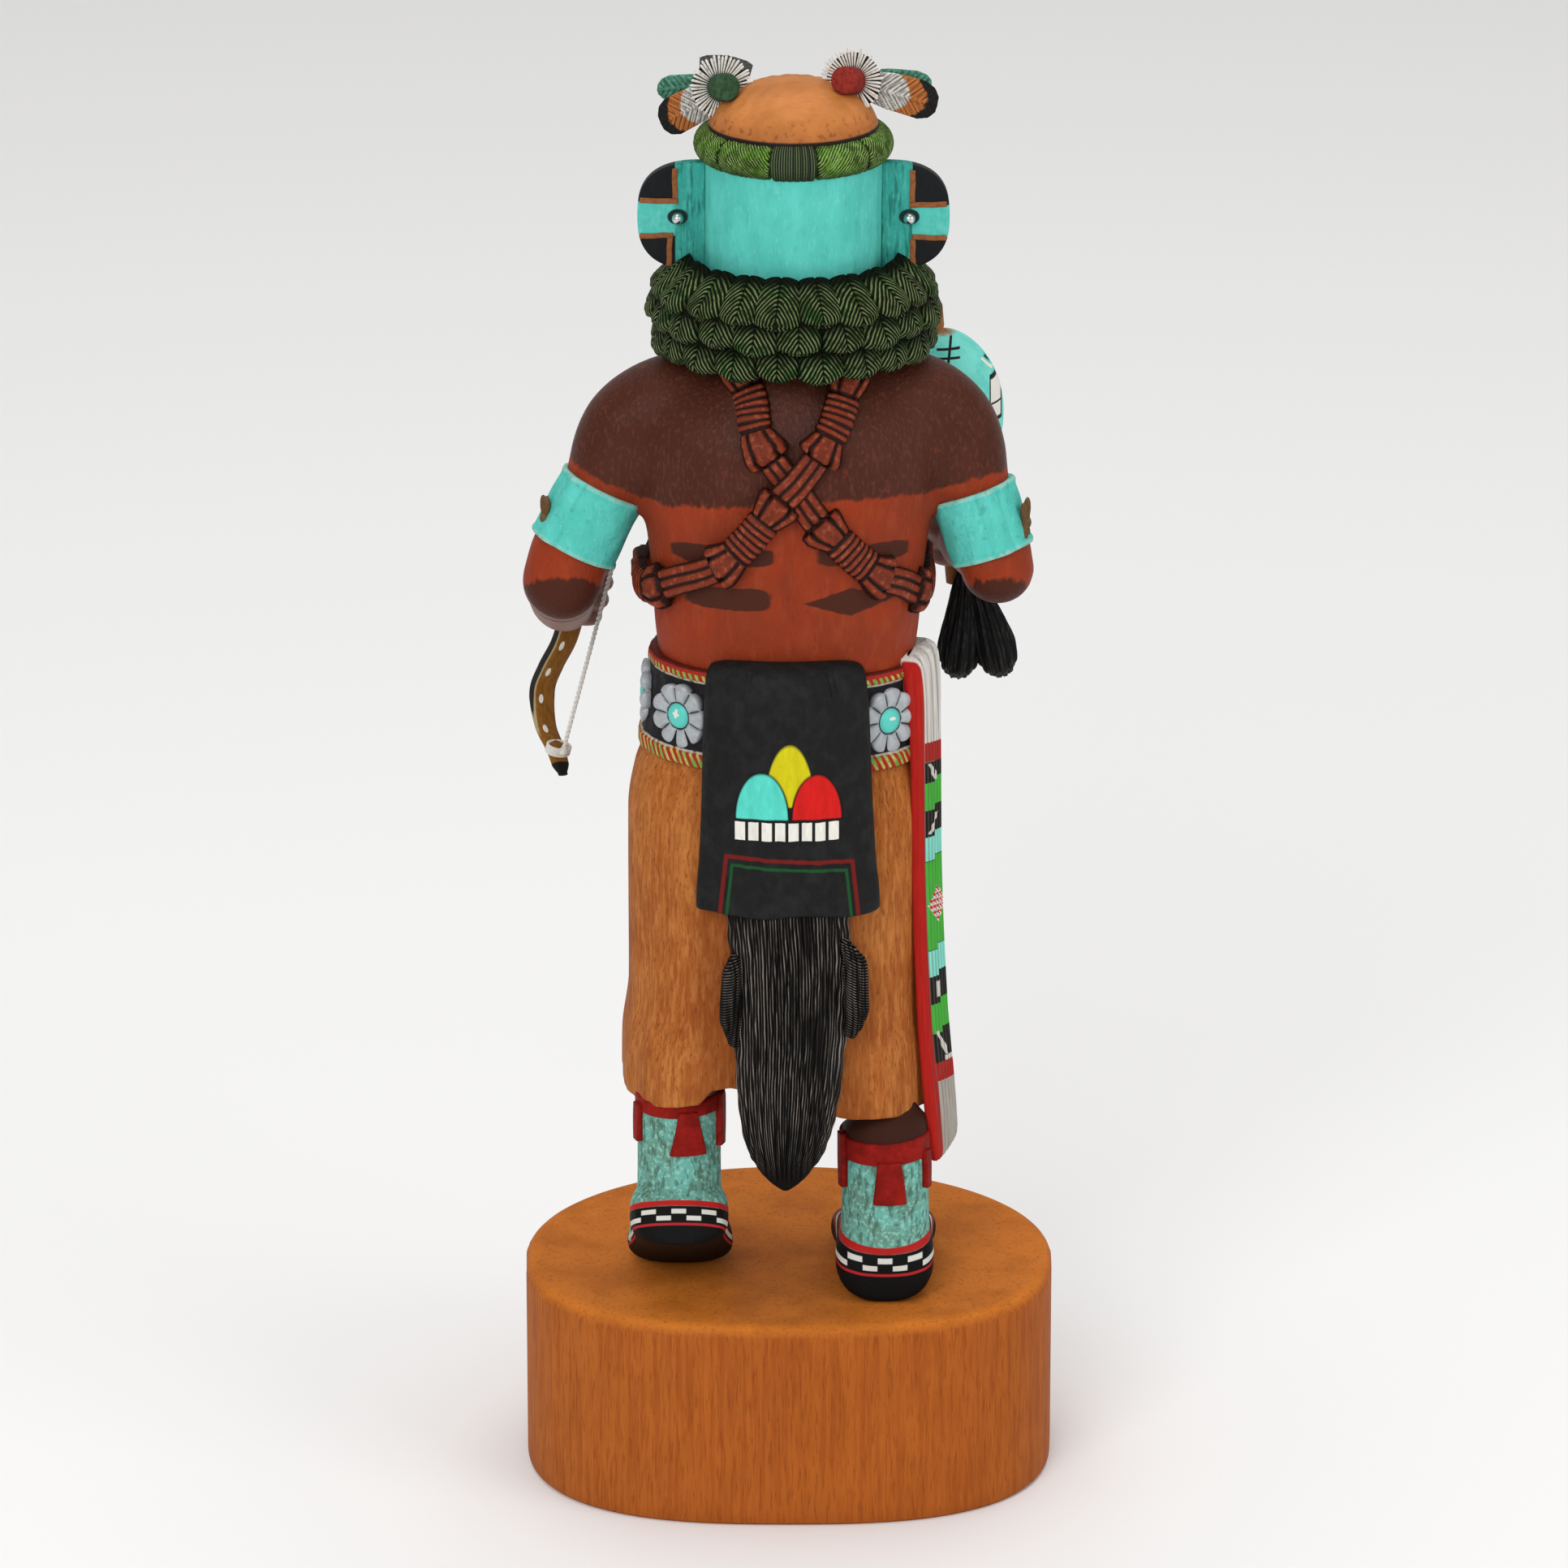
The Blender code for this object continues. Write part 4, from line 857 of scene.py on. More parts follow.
def make_wreath():
    """A ring with slanting strands pressed into it, and a wrapped middle at the back."""
    t, a = np.meshgrid(full_turn(WREATH_ROWS), full_turn(WREATH_COLS), indexing="ij")
    from_back = (a + math.pi / 2 + math.pi) % (2 * math.pi) - math.pi
    way = from_back * (WREATH_RADIUS + WREATH_TUBE)
    slant = way / STRAND_SPACING + t * STRAND_LEAN * np.sign(from_back) + 0.7 * np.sin(way * 0.9 + t * 2)
    strand = np.abs(np.sin(slant * 0.5 * math.pi))
    wrap = smooth_step(WRAP_EDGE, WRAP_EDGE - 0.6, np.abs(way))
    rings = np.abs(np.sin(way / WRAP_SPACING * math.pi / 2))
    groove = (1 - strand) ** 1.5 * 0.16
    wrapped = 0.15 - (1 - rings) ** 2 * 0.12
    edge = np.exp(-((np.abs(way) - WRAP_EDGE) / 0.35) ** 2) * 0.5
    divide = np.exp(-((np.abs(way) - PLAIT_END) / 0.4) ** 2) * 0.5
    radius = WREATH_TUBE - groove * (1 - wrap) + wrapped * wrap - edge - divide
    grid = round_head(WREATH_RADIUS + radius * np.cos(t), a, WREATH_HEIGHT + radius * np.sin(t))
    u = np.tile(np.append(way[0], way[0, -1]), (WREATH_ROWS + 1, 1))
    v = np.tile(np.linspace(0, 2 * math.pi * WREATH_TUBE, WREATH_ROWS + 1)[:, None], (1, WREATH_COLS + 1))
    cut = np.maximum((1 - strand) * (1 - wrap), (1 - rings) * wrap * 1.2) + edge * 2 + divide * 2
    return grid, (u, v), cut


def wreath_paint():
    """Bright moss greens under fine pale and black strokes that slant to the wrapped middle."""
    p = Paint("wreath_green", (0.075, 0.150, 0.022))
    u, v = p.along_and_across()
    wrap = u.size().under(4.6, 0.3)
    p.coat(p.noise(0.16, 3.0, shift=3.0).over(0.50, 0.15) * 0.85, (0.125, 0.270, 0.034))
    p.coat(p.noise(0.35, 3.0, shift=6.0).over(0.56, 0.12) * 0.6, (0.045, 0.050, 0.015))
    lean = STROKE_COUNT * STROKE_SPACING / (2 * math.pi * WREATH_TUBE)
    slant = u.size() + v * -lean + p.noise(0.30, 3.0, shift=9.0) * 1.6
    strokes = slant.wave(STROKE_SPACING)
    plaited = wrap.less()
    wrapped = u.wave(0.50)
    p.coat((strokes.under(-0.1, 0.8) & plaited & p.noise(0.6, 3.0).over(0.40, 0.2)) * 0.9,
           (0.010, 0.020, 0.005))
    p.coat((strokes.over(0.72, 0.25) & plaited & p.noise(0.45, 3.0, shift=5.0).over(0.48, 0.12)) * 0.75,
           (0.360, 0.470, 0.190))
    p.coat(wrap, (0.012, 0.016, 0.009))
    p.coat((wrapped.over(0.35, 0.4) & wrap) * 0.8, (0.130, 0.165, 0.085))
    # Painted shade in the carved cuts between the strands and round the wrap.
    p.coat(p.stored("cut").over(0.9, 0.4) * 0.9, (0.006, 0.010, 0.004))
    # Darker towards the underside of the wreath: painted shade.
    p.coat(p.z.under(238.0, 2.2) * 0.6, (0.012, 0.030, 0.008))
    return p.done(roughness=0.7, height=strokes * 0.3 + p.noise(1.6, 4.0) * 0.7, depth=0.2)


wreath_grid, wreath_uv, wreath_cut = make_wreath()
wreath = store(weave("wreath", wreath_grid, uv=wreath_uv, loop_rows=True), "cut", wreath_cut)
dress(wreath, wreath_paint())

# %% [markdown]
# ## Setting out what repeats
#
# Leaves, belt plates, rays and threads are one small shape each, set out many times. Geometry Nodes does
# that well: a few points carry the place, the turn and the size of each copy, and one tree puts a copy of
# the shape on every point with a slight, seeded unevenness. The copies are made real and turned to a plain
# mesh, so that they export.

# %% The setting-out tree


def setting_out_tree(name):
    """A tree that sets a piece on each point, by the point's own turn and growth."""
    tree = bpy.data.node_groups.new(name, "GeometryNodeTree")
    inputs = (("Points", "Geometry", None), ("Piece", "Object", None), ("Size", "Float", 1.0),
              ("Uneven", "Float", 0.0), ("Seed", "Int", 7), ("Finish", "Material", None))
    for title, kind, value in inputs:
        socket = tree.interface.new_socket(title, in_out="INPUT", socket_type="NodeSocket" + kind)
        if value is not None:
            socket.default_value = value
    tree.interface.new_socket("Set out", in_out="OUTPUT", socket_type="NodeSocketGeometry")
    kinds = {
        "start": "NodeGroupInput", "end": "NodeGroupOutput", "info": "GeometryNodeObjectInfo",
        "turn": "GeometryNodeInputNamedAttribute", "grow": "GeometryNodeInputNamedAttribute",
        "chance": "FunctionNodeRandomValue", "jitter": "ShaderNodeVectorMath",
        "turned": "ShaderNodeVectorMath", "scaled": "ShaderNodeVectorMath",
        "setting": "GeometryNodeInstanceOnPoints", "real": "GeometryNodeRealizeInstances",
        "finish": "GeometryNodeSetMaterial",
    }
    node = {key: tree.nodes.new(kind) for key, kind in kinds.items()}
    node["info"].inputs["As Instance"].default_value = False
    for key in ("turn", "grow"):
        node[key].data_type = "FLOAT_VECTOR"
        node[key].inputs["Name"].default_value = key
    node["chance"].data_type = "FLOAT_VECTOR"
    node["chance"].inputs[0].default_value = (-1, -1, -1)
    node["chance"].inputs[1].default_value = (1, 1, 1)
    for key, operation in (("jitter", "SCALE"), ("turned", "ADD"), ("scaled", "SCALE")):
        node[key].operation = operation
    wires = (
        ("start", "Piece", "info", "Object"), ("start", "Seed", "chance", "Seed"),
        ("chance", 0, "jitter", 0), ("start", "Uneven", "jitter", "Scale"),
        ("turn", 0, "turned", 0), ("jitter", 0, "turned", 1),
        ("grow", 0, "scaled", 0), ("start", "Size", "scaled", "Scale"),
        ("start", "Points", "setting", "Points"), ("info", "Geometry", "setting", "Instance"),
        ("turned", 0, "setting", "Rotation"), ("scaled", 0, "setting", "Scale"),
        ("setting", 0, "real", 0), ("real", 0, "finish", 0),
        ("start", "Finish", "finish", "Material"), ("finish", 0, "end", 0),
    )
    for source, way_out, target, way_in in wires:
        tree.links.new(node[source].outputs[way_out], node[target].inputs[way_in])
    return tree


SETTING_OUT = setting_out_tree("set_pieces_out")


def input_key(tree, name):
    """Identifier of a named input of a tree."""
    for item in tree.interface.items_tree:
        if item.item_type == "SOCKET" and item.in_out == "INPUT" and item.name == name:
            return item.identifier
    raise KeyError(name)


def set_out(name, shape, places, material, uneven=0.0, seed=7):
    """Copies of a small shape, one for each (place, its x, y and z directions, growth)."""
    template = bpy.data.objects.new(name + "_one", shape)
    spots = bpy.data.meshes.new(name)
    spots.from_pydata(in_metres([place for place, _, _ in places]).tolist(), [], [])
    turns = [Matrix(np.array(axes).T.tolist()).to_euler() for _, axes, _ in places]
    growth = [np.ones(3) * grow for _, _, grow in places]
    for title, rows in (("turn", [tuple(turn) for turn in turns]), ("grow", growth)):
        layer = spots.attributes.new(title, "FLOAT_VECTOR", "POINT")
        layer.data.foreach_set("vector", np.array(rows).ravel())
    thing = keep(name, spots)
    step = thing.modifiers.new("set out", "NODES")
    step.node_group = SETTING_OUT
    settings = {"Piece": template, "Size": 0.001, "Uneven": uneven, "Seed": seed, "Finish": material}
    for title, value in settings.items():
        step[input_key(SETTING_OUT, title)] = value
    graph = bpy.context.evaluated_depsgraph_get()
    result = bpy.data.meshes.new_from_object(thing.evaluated_get(graph))
    thing.modifiers.clear()
    thing.data = result
    bpy.data.objects.remove(template, do_unlink=True)
    result.shade_smooth()
    print(name, len(places), "copies")
    return thing


def small_shape(name, grid, **ways):
    """Mesh data of a small shape, left in its own millimetres."""
    data = grid_data(name, grid, **ways)
    local = coordinates(data) * 1000 - (0.0, -FIGURE_BACK, FIGURE_FOOT)
    data.vertices.foreach_set("co", local.ravel())
    data.update()
    return data


print("setting-out tree ready")

# %% [markdown]
# ## The ruff
#
# A collar of carved spruce sprigs goes round the neck in three tiers, each shifted by half a leaf. One leaf
# is woven as a curved scale with a midrib and slanting veins pressed into its face. The copies overlap like
# shingles over a near-black core, which is painted shade. Between the veins the leaf stays near black
# while the raised strokes are pale green, the brightest partly a painted highlight; the leaf edges and
# the roots under the tier above are painted shade.

# %% Leaves and their core
RUFF_LEAVES, RUFF_TIERS = 20, 3
RUFF_FIRST_TIP, RUFF_DROP, RUFF_RADIUS, RUFF_BELLY = 210.6, 6.0, 28.1, 1.4
RUFF_TURN = 0.27
LEAF_WIDTH, LEAF_THICK = 9.3, 1.5
LEAF_ROWS, LEAF_COLS = 26, 19
LEAF_SHOWING = (9.0, 4.8, 4.8)


def leaf_shape(length, droop):
    """One sprig: x across, y from root to tip, z outward; droop bends its tip inward."""
    share = np.linspace(0, 1, LEAF_ROWS)[:, None]
    across = np.linspace(-1, 1, LEAF_COLS)[None, :]
    half = LEAF_WIDTH / 2 * (0.84 + 0.20 * np.sin(share * math.pi * 0.8))
    half = half * np.sqrt(1 - (np.clip(share - 0.86, 0, 1) / 0.14) ** 3 * 0.42)
    x = across * half
    y = share * length - 1.1 * np.abs(across) ** 3 * smooth_step(0.6, 1.0, share)
    arch = -droop * share ** 2.4
    crown = 1.7 * (1 - np.abs(across) ** 3) * (1 - 0.15 * share)
    rib = -0.45 * np.exp(-(x / 0.24) ** 2) * smooth_step(1.0, 0.7, share)
    edge = -0.9 * smooth_step(0.86, 1.0, np.abs(across)) - 0.9 * smooth_step(0.90, 1.0, share)
    top = arch + crown + rib + edge
    under = np.minimum(arch - LEAF_THICK * (0.4 + 0.6 * (1 - across ** 2)) * (1 - 0.35 * share), top - 0.25)
    front = np.stack([x, y, top], -1)
    back = np.stack([x, y, under], -1)[:, ::-1]
    u = np.concatenate([x, x[:, ::-1], x[:, :1]], 1)
    v = np.concatenate([y, y[:, ::-1], y[:, :1]], 1)
    return small_shape("leaf", np.concatenate([front, back], 1), uv=(u, v))


def ruff_places(tier):
    """Where each leaf of a tier is rooted, and how it lies."""
    tip_z = RUFF_FIRST_TIP - tier * RUFF_DROP
    tip_r = RUFF_RADIUS + RUFF_BELLY * math.sin(math.pi * (tier + 0.5) / RUFF_TIERS)
    length, drop = ((11.0, 5.9), (10.2, 8.3), (9.8, 8.6))[tier]
    reach = math.sqrt(length ** 2 - drop ** 2)
    places = []
    offset = 0.5 * (RUFF_TURN + (1 if tier % 2 == 0 else 2))
    for i in range(RUFF_LEAVES):
        angle = 2 * math.pi * (i + offset) / RUFF_LEAVES
        out = np.array((math.cos(angle), math.sin(angle), 0.0))
        down = unit(out * reach + np.array((0, 0, -drop)))
        side = np.array((-out[1], out[0], 0.0)) * -1
        normal = np.cross(side, down)
        if normal[2] < 0:
            side = -side
            normal = -normal
        wave = 1.0 + 0.035 * math.sin(i * 2.4 + tier * 1.3)
        root = np.array((HEAD_X, HEAD_Y, tip_z)) + out * (tip_r + 0.8) - down * length - normal * 0.2
        places.append((root, (side, down, normal), wave))
    return places, length


def leaf_paint(name, shift, root):
    """Slanting light strokes that fan out to the tip, painted shade where a leaf goes under the tier above.
    """
    p = Paint(name, (0.005, 0.009, 0.003))
    u, v = p.along_and_across()
    dark = (0.003, 0.005, 0.002)
    side = u.size()
    fan = side & v.line(((0.0, 0.65), (10.5, 1.35)))
    vein = (v - fan + p.noise(0.25, 2.0, shift=shift) * 1.2).wave(1.12)
    stroke = vein.over(0.12, 0.45)
    p.coat(stroke, (0.058, 0.080, 0.026))
    p.coat((stroke & p.noise(0.14, 3.0, shift=shift + 5).over(0.52, 0.1)) * 0.8, (0.028, 0.110, 0.022))
    # The brightest strokes on the vein tops: partly the pale paint and partly a painted highlight.
    p.coat((vein.over(0.35, 0.5) & p.noise(0.5, 3.0, shift=shift + 2).over(0.46, 0.12)) * 0.85,
           (0.200, 0.245, 0.105))
    p.coat(side.under(0.16, 0.2) * 0.9, dark)
    # Dark leaf edges: painted shade between the leaves.
    p.coat(side.over(4.25, 0.6) * 0.95, dark)
    # Dark root, where the tier above covers the leaf: painted shade.
    p.coat(v.under(root + 0.9, 2.6) * 0.97, dark)
    return p.done(roughness=0.6, height=vein, depth=0.25)


for tier, droop in enumerate((1.3, 1.0, 1.5)):
    spots, leaf_length = ruff_places(tier)
    paint = leaf_paint("sprig_green_%d" % (tier + 1), tier * 3.0, leaf_length - LEAF_SHOWING[tier])
    leaf = leaf_shape(leaf_length, droop)
    dress(set_out("ruff_tier_%d" % (tier + 1), leaf, spots, paint, 0.05, 11 + tier), paint)

CORE_PROFILE = [(14.5, 213.6), (18.6, 213.8), (22.5, 210.6), (24.6, 206.0), (25.2, 201.0), (24.4, 198.4),
                (20.0, 197.0), (14.5, 197.0)]
core_grid = turned(CORE_PROFILE, 160, 40)
# The core is near black: painted shade under and between the leaves.
core_paint = Paint("ruff_shadow", RUFF_SHADE_COLOUR)
core_paint.coat(core_paint.noise(0.6).over(0.55, 0.2), (0.020, 0.032, 0.012))
dress(weave("ruff_core", core_grid),
      core_paint.done(roughness=0.8, height=core_paint.noise(1.0), depth=0.3))

# %% [markdown]
# ## Trunk, arms and hands
#
# The body is one carving: an oval trunk, round arms bent forward at the elbow and closed hands. Each part is
# woven as its own closed form, then a voxel remesh melts them into one skin, as a carver would blend them,
# and a little smoothing takes the stair steps off. The fingers are four stacked rolls round each grip.

# %% The body
TRUNK = [
    (128.0, 25.0, 18.0, -0.5, -6.0), (141.0, 26.8, 19.3, -0.4, -6.0), (152.0, 27.6, 19.8, -0.3, -6.0),
    (163.0, 29.0, 20.4, -0.2, -6.0), (173.0, 31.0, 20.8, 0.0, -5.5), (182.0, 31.0, 20.4, 0.2, -5.0),
    (188.0, 27.0, 18.6, 0.3, -4.6), (194.0, 20.0, 15.8, 0.5, -4.0), (199.0, 15.0, 14.0, 0.7, -3.0),
    (206.0, 14.0, 13.0, 0.9, -2.0),
]
TRUNK_POWER = 2.25
LEFT_UPPER_ARM = [
    (-14.0, -3.6, 188.5, 10.0), (-24.5, -3.8, 186.0, 10.2), (-31.6, -4.1, 181.6, 10.1),
    (-35.6, -4.5, 175.0, 9.2),
    (-37.3, -5.0, 169.4, 8.3), (-44.1, -6.5, 155.8, 8.2), (-46.0, -7.0, 149.5, 8.1),
]
LEFT_FOREARM = [
    (-46.0, -6.0, 148.0, 7.4), (-46.4, 3.0, 142.6, 6.5), (-46.0, 11.0, 139.0, 6.0),
    (-46.0, 17.0, 137.2, 5.5),
    (-45.4, 21.5, 136.8, 4.8),
]
RIGHT_UPPER_ARM = [
    (14.0, -3.6, 189.0, 10.0), (25.0, -3.8, 186.8, 10.2), (31.8, -4.1, 182.2, 10.1),
    (35.4, -4.5, 175.0, 9.2),
    (36.9, -5.0, 168.6, 8.1), (41.6, -6.9, 154.9, 7.7), (42.4, -7.6, 152.4, 7.3),
]
RIGHT_FOREARM = [
    (42.0, -6.0, 152.0, 7.2), (40.8, 3.0, 151.0, 6.5), (38.6, 11.0, 150.4, 6.0), (36.6, 17.0, 150.2, 5.8),
    (35.4, 21.5, 150.2, 5.0),
]
RIGHT_GRIP = np.array((33.5, 26.6, 150.0))
RATTLE_LEAN = unit((-3.4, 2.0, 37.4))
RIGHT_FIST, LEFT_FIST = 14.5, 15.5
BOW_LEAN, BOW_TURN = math.radians(14.7), math.radians(52.0)
STRING_MIDDLE = np.array((-39.0, 19.4, 136.5))
BOW_HALF = 34.0
BOW_ALONG = np.array((math.sin(BOW_LEAN), 0, math.cos(BOW_LEAN)))
BOW_BACK = (np.array((-math.cos(BOW_LEAN), 0, math.sin(BOW_LEAN))) * math.cos(BOW_TURN)
            + np.array((0, 1, 0)) * math.sin(BOW_TURN))
LEFT_GRIP = STRING_MIDDLE + BOW_BACK * 8.3 + np.array((2.0, 0, 0))


def trunk_row(height):
    """Trunk row at a height: half width, half depth and centre."""
    rows = np.array(TRUNK)
    return read_off(height, rows[:, 0], rows[:, 1:]).T


def trunk_grid():
    """The trunk with its spine groove and shoulder blades."""
    rows = flow(TRUNK, 90)
    angle = full_turn(200)
    x, y = oval(angle[None, :], rows[:, 1:2], rows[:, 2:3], TRUNK_POWER)
    z = rows[:, :1] * np.ones(200)
    back = smooth_step(0.2, 0.8, -np.sin(angle)) * smooth_step(140, 150, z) * smooth_step(196, 186, z)
    spine = 0.9 * np.exp(-(x / 2.4) ** 2) * back
    blades = 0.7 * np.exp(-((np.abs(x) - 13) / 7) ** 2 - ((z - 176) / 9) ** 2) * back
    y = y + spine - blades
    return np.stack([x + rows[:, 3:4], y + rows[:, 4:5], z], -1)


def fist_parts(grip, lean, height):
    """Four rolls of fingers and a thumb round a grip."""
    lean = unit(lean)
    side = unit(np.cross(lean, (0, 1, 0)))
    fore = np.cross(side, lean)
    frame_of_grip = np.stack([side, fore, lean], 1)
    parts = []
    for i in range(4):
        middle = grip + lean * height * ((i + 0.5) / 4 - 0.5)
        wide = 5.7 if i in (1, 2) else 5.2
        parts.append(ball(middle, (wide, wide * 1.06, height / 8 + 0.35), 14, 28, frame_of_grip))
    thumb = [(*(grip + side * 3.2 - fore * 4.0 + lean * 1.5), 2.1), (*(grip + side * 4.6 + lean * 3.4), 2.2),
             (*(grip + side * 2.6 + fore * 4.6 + lean * 4.2), 1.9)]
    parts.append(bar(thumb, 20, 16))
    return parts


def make_body():
    """Trunk, arms and hands melted together."""
    grids = [trunk_grid()]
    for stations in (LEFT_UPPER_ARM, RIGHT_UPPER_ARM, LEFT_FOREARM, RIGHT_FOREARM):
        grids.append(bar(stations, 70, 40))
    grids += fist_parts(LEFT_GRIP, BOW_ALONG, LEFT_FIST)
    grids += fist_parts(RIGHT_GRIP, RATTLE_LEAN, RIGHT_FIST)
    data = remeshed("body", [grid_data("part", g) for g in grids], 0.80, 2)
    points = coordinates(data)
    soft = spread(points, neighbours(data), 56)
    place = points * 1000 + (0.0, FIGURE_BACK, -FIGURE_FOOT)
    y, z = place[:, 1], place[:, 2]
    blend = smooth_step(156, 166, z) * smooth_step(12, 4, y) * smooth_step(203, 197, z)
    data.vertices.foreach_set("co", (points + (soft - points) * blend[:, None]).ravel())
    data.update()
    return data


# The bars painted on the back: middle in x and z, half length and half height
BACK_BARS = ((-13.2, 160.2, 10.3, 2.0), (-12.0, 151.1, 8.6, 2.4), (14.8, 160.3, 9.4, 2.1))


def body_paint():
    """Brick red skin under dark brown shoulders, with brown bars on the back and brown elbows."""
    p = Paint("body_red", (0.275, 0.033, 0.008))
    cloud = p.noise(0.10, 4.0, (1, 1, 0.8))
    ragged = p.noise(0.45, 4.0, (1, 1, 0.4), shift=4.0)
    fine = p.noise(1.5, 4.0, (1, 1, 0.4), shift=9.0)
    p.coat(cloud.over(0.5, 0.2) * 0.7, (0.205, 0.030, 0.010))
    p.coat(p.noise(0.5, 4.0, (1, 1, 0.3), shift=2.0).over(0.60, 0.2) * 0.35, (0.340, 0.062, 0.020))
    p.coat(p.noise(1.6, 3.0, (1, 1, 0.3), shift=5.0).over(0.66, 0.08) * 0.5, (0.140, 0.024, 0.012))
    edge = p.x.line(((-46, 175.8), (-43.7, 175.2), (-30, 168.8), (-16, 170.2), (-9.7, 170.9), (7.6, 172.0),
                     (21.4, 171.8), (30.3, 170.5), (37.5, 172.9), (44, 173.4)))
    shoulders = (p.z - edge + (ragged - 0.5) * 3.4).over(0.0, 0.7)
    soft = (ragged - 0.5) * 3.0
    bars = None
    for bar_x, bar_z, reach, tall in BACK_BARS:
        across, up = (p.x - bar_x + soft) * (1 / reach), (p.z - bar_z + soft * 0.3) * (1 / tall)
        across, up = across * across, up * up
        one = (across * across + up * up).under(1.0, 0.35)
        bars = one if bars is None else bars | one
    pointed = (p.z + soft * 0.3 - 150.4).size() * 3.2 + (p.x - 12.5).size()
    bars = bars | pointed.under(9.6, 0.9)
    elbow_line = p.z + ragged * -4.0 + p.y * 0.6
    elbows = p.x.size().over(34, 1) & elbow_line.under(141.4, 0.8)
    p.coat(shoulders | elbows | (bars & p.y.under(-8, 1)), (0.060, 0.015, 0.008))
    p.coat((shoulders & cloud.over(0.52, 0.2)) * 0.5, (0.080, 0.023, 0.013))
    p.coat((shoulders & fine.over(0.58, 0.1)) * 0.35, (0.150, 0.045, 0.026))
    p.coat((shoulders & p.noise(0.40, 4.0, shift=12.0).over(0.68, 0.06)) * 0.35, (0.230, 0.036, 0.013))
    cap_x, cap_z = p.x + 45.6, p.z - 150.8
    from_cap, left_arm = cap_x * cap_x + cap_z * cap_z, p.x.under(-36, 1)
    p.coat(from_cap.over(69.0, 8.0) & p.z.under(148.5, 0.8) & left_arm, (0.230, 0.130, 0.105))
    p.coat(from_cap.between(86.0, 96.0, 4.0) & p.z.under(146.0, 0.8) & left_arm, (0.030, 0.010, 0.008))
    hands = p.y.over(4.0, 4.0) & p.x.size().over(26, 2)
    p.coat(hands * 0.85, (0.155, 0.062, 0.044))
    p.coat(p.y.over(20.5, 1.0) * 0.8, (0.260, 0.150, 0.130))
    # Painted shade in the hollows and creases of the body.
    p.paint_hollow_shade((0.045, 0.014, 0.009), 0.16, 0.35, 0.9)
    height = fine * 0.7 + p.noise(0.4, 3.0, (1, 1, 0.5), shift=6.0) * 0.4
    rough = shoulders.sum_with("MULTIPLY_ADD", -0.14, 0.52)
    return p.done(roughness=rough, height=height, depth=0.34, gloss=0.11)


dress(mark_hollows(keep("body", make_body()), 2), body_paint())

# %% [markdown]
# ## Armbands
#
# A broad turquoise band goes round each upper arm, folded over itself in a ridge on the outer side, with a
# small tied bow. The band is a bar with its own rims, a little larger than the arm.

# %% Bands and their ties
BANDS = {
    "left": ((-37.4, -5.0, 169.2, 9.0), (-43.9, -6.4, 156.3, 9.1), (-0.65, -0.76)),
    "right": ((36.95, -5.0, 168.3, 8.9), (41.4, -6.8, 155.4, 8.5), (0.45, -0.89)),
}


def make_armband(top, foot, ridge):
    """One band: rims at both ends and a folded ridge down one side."""
    top, foot = np.array(top), np.array(foot)
    share = np.linspace(0, 1, 44)[:, None]
    axis = unit(foot[:3] - top[:3])
    across = unit(np.array((ridge[0], ridge[1], 0)) - axis * np.dot(axis, (ridge[0], ridge[1], 0)))
    side = np.cross(axis, across)
    angle = full_turn(120)
    off = (angle + math.pi) % (2 * math.pi) - math.pi
    radius = top[3] + (foot[3] - top[3]) * share
    rim = 0.25 * (np.exp(-((share - 0.04) / 0.035) ** 2) + np.exp(-((share - 0.96) / 0.035) ** 2))
    fold = 0.75 * np.exp(-((off - 0.10) / 0.16) ** 2) - 0.35 * np.exp(-((off + 0.17) / 0.06) ** 2)
    fold = fold - 0.25 * np.exp(-((off - 0.38) / 0.05) ** 2)
    waver = 0.10 * np.sin(off * 5 + share * 6) + 0.08 * np.sin(off * 11 - share * 9)
    radius = radius + rim + fold * (0.7 + 0.3 * np.sin(share * 7)) + waver
    middle = top[:3] + (foot[:3] - top[:3]) * share
    ring = ring_round(across, side, angle)
    grid = middle[:, None, :] + ring * radius[:, :, None]
    inner_top = middle[None, 0:1] + ring * (radius[0:1] - 1.4)[:, :, None]
    inner_foot = middle[None, -1:] + ring * (radius[-1:] - 1.4)[:, :, None]
    return np.concatenate([inner_top, grid, inner_foot])


def tie_parts(centre, across, up, out):
    """A small tied bow: a knot and four leaf-like ends."""
    turn = np.stack([across, up, out], 1)
    parts = [ball(centre, (1.4, 1.5, 1.2), 10, 14, turn)]
    for angle, reach in ((76, 4.6), (108, 4.2), (254, 4.8), (284, 4.4)):
        way = across * math.cos(math.radians(angle)) + up * math.sin(math.radians(angle))
        wide = np.cross(out, way)
        parts.append(ball(centre + way * reach * 0.55, (reach * 0.60, 1.1, 0.8), 10, 16,
                          np.stack([way, wide, out], 1)))
    return parts


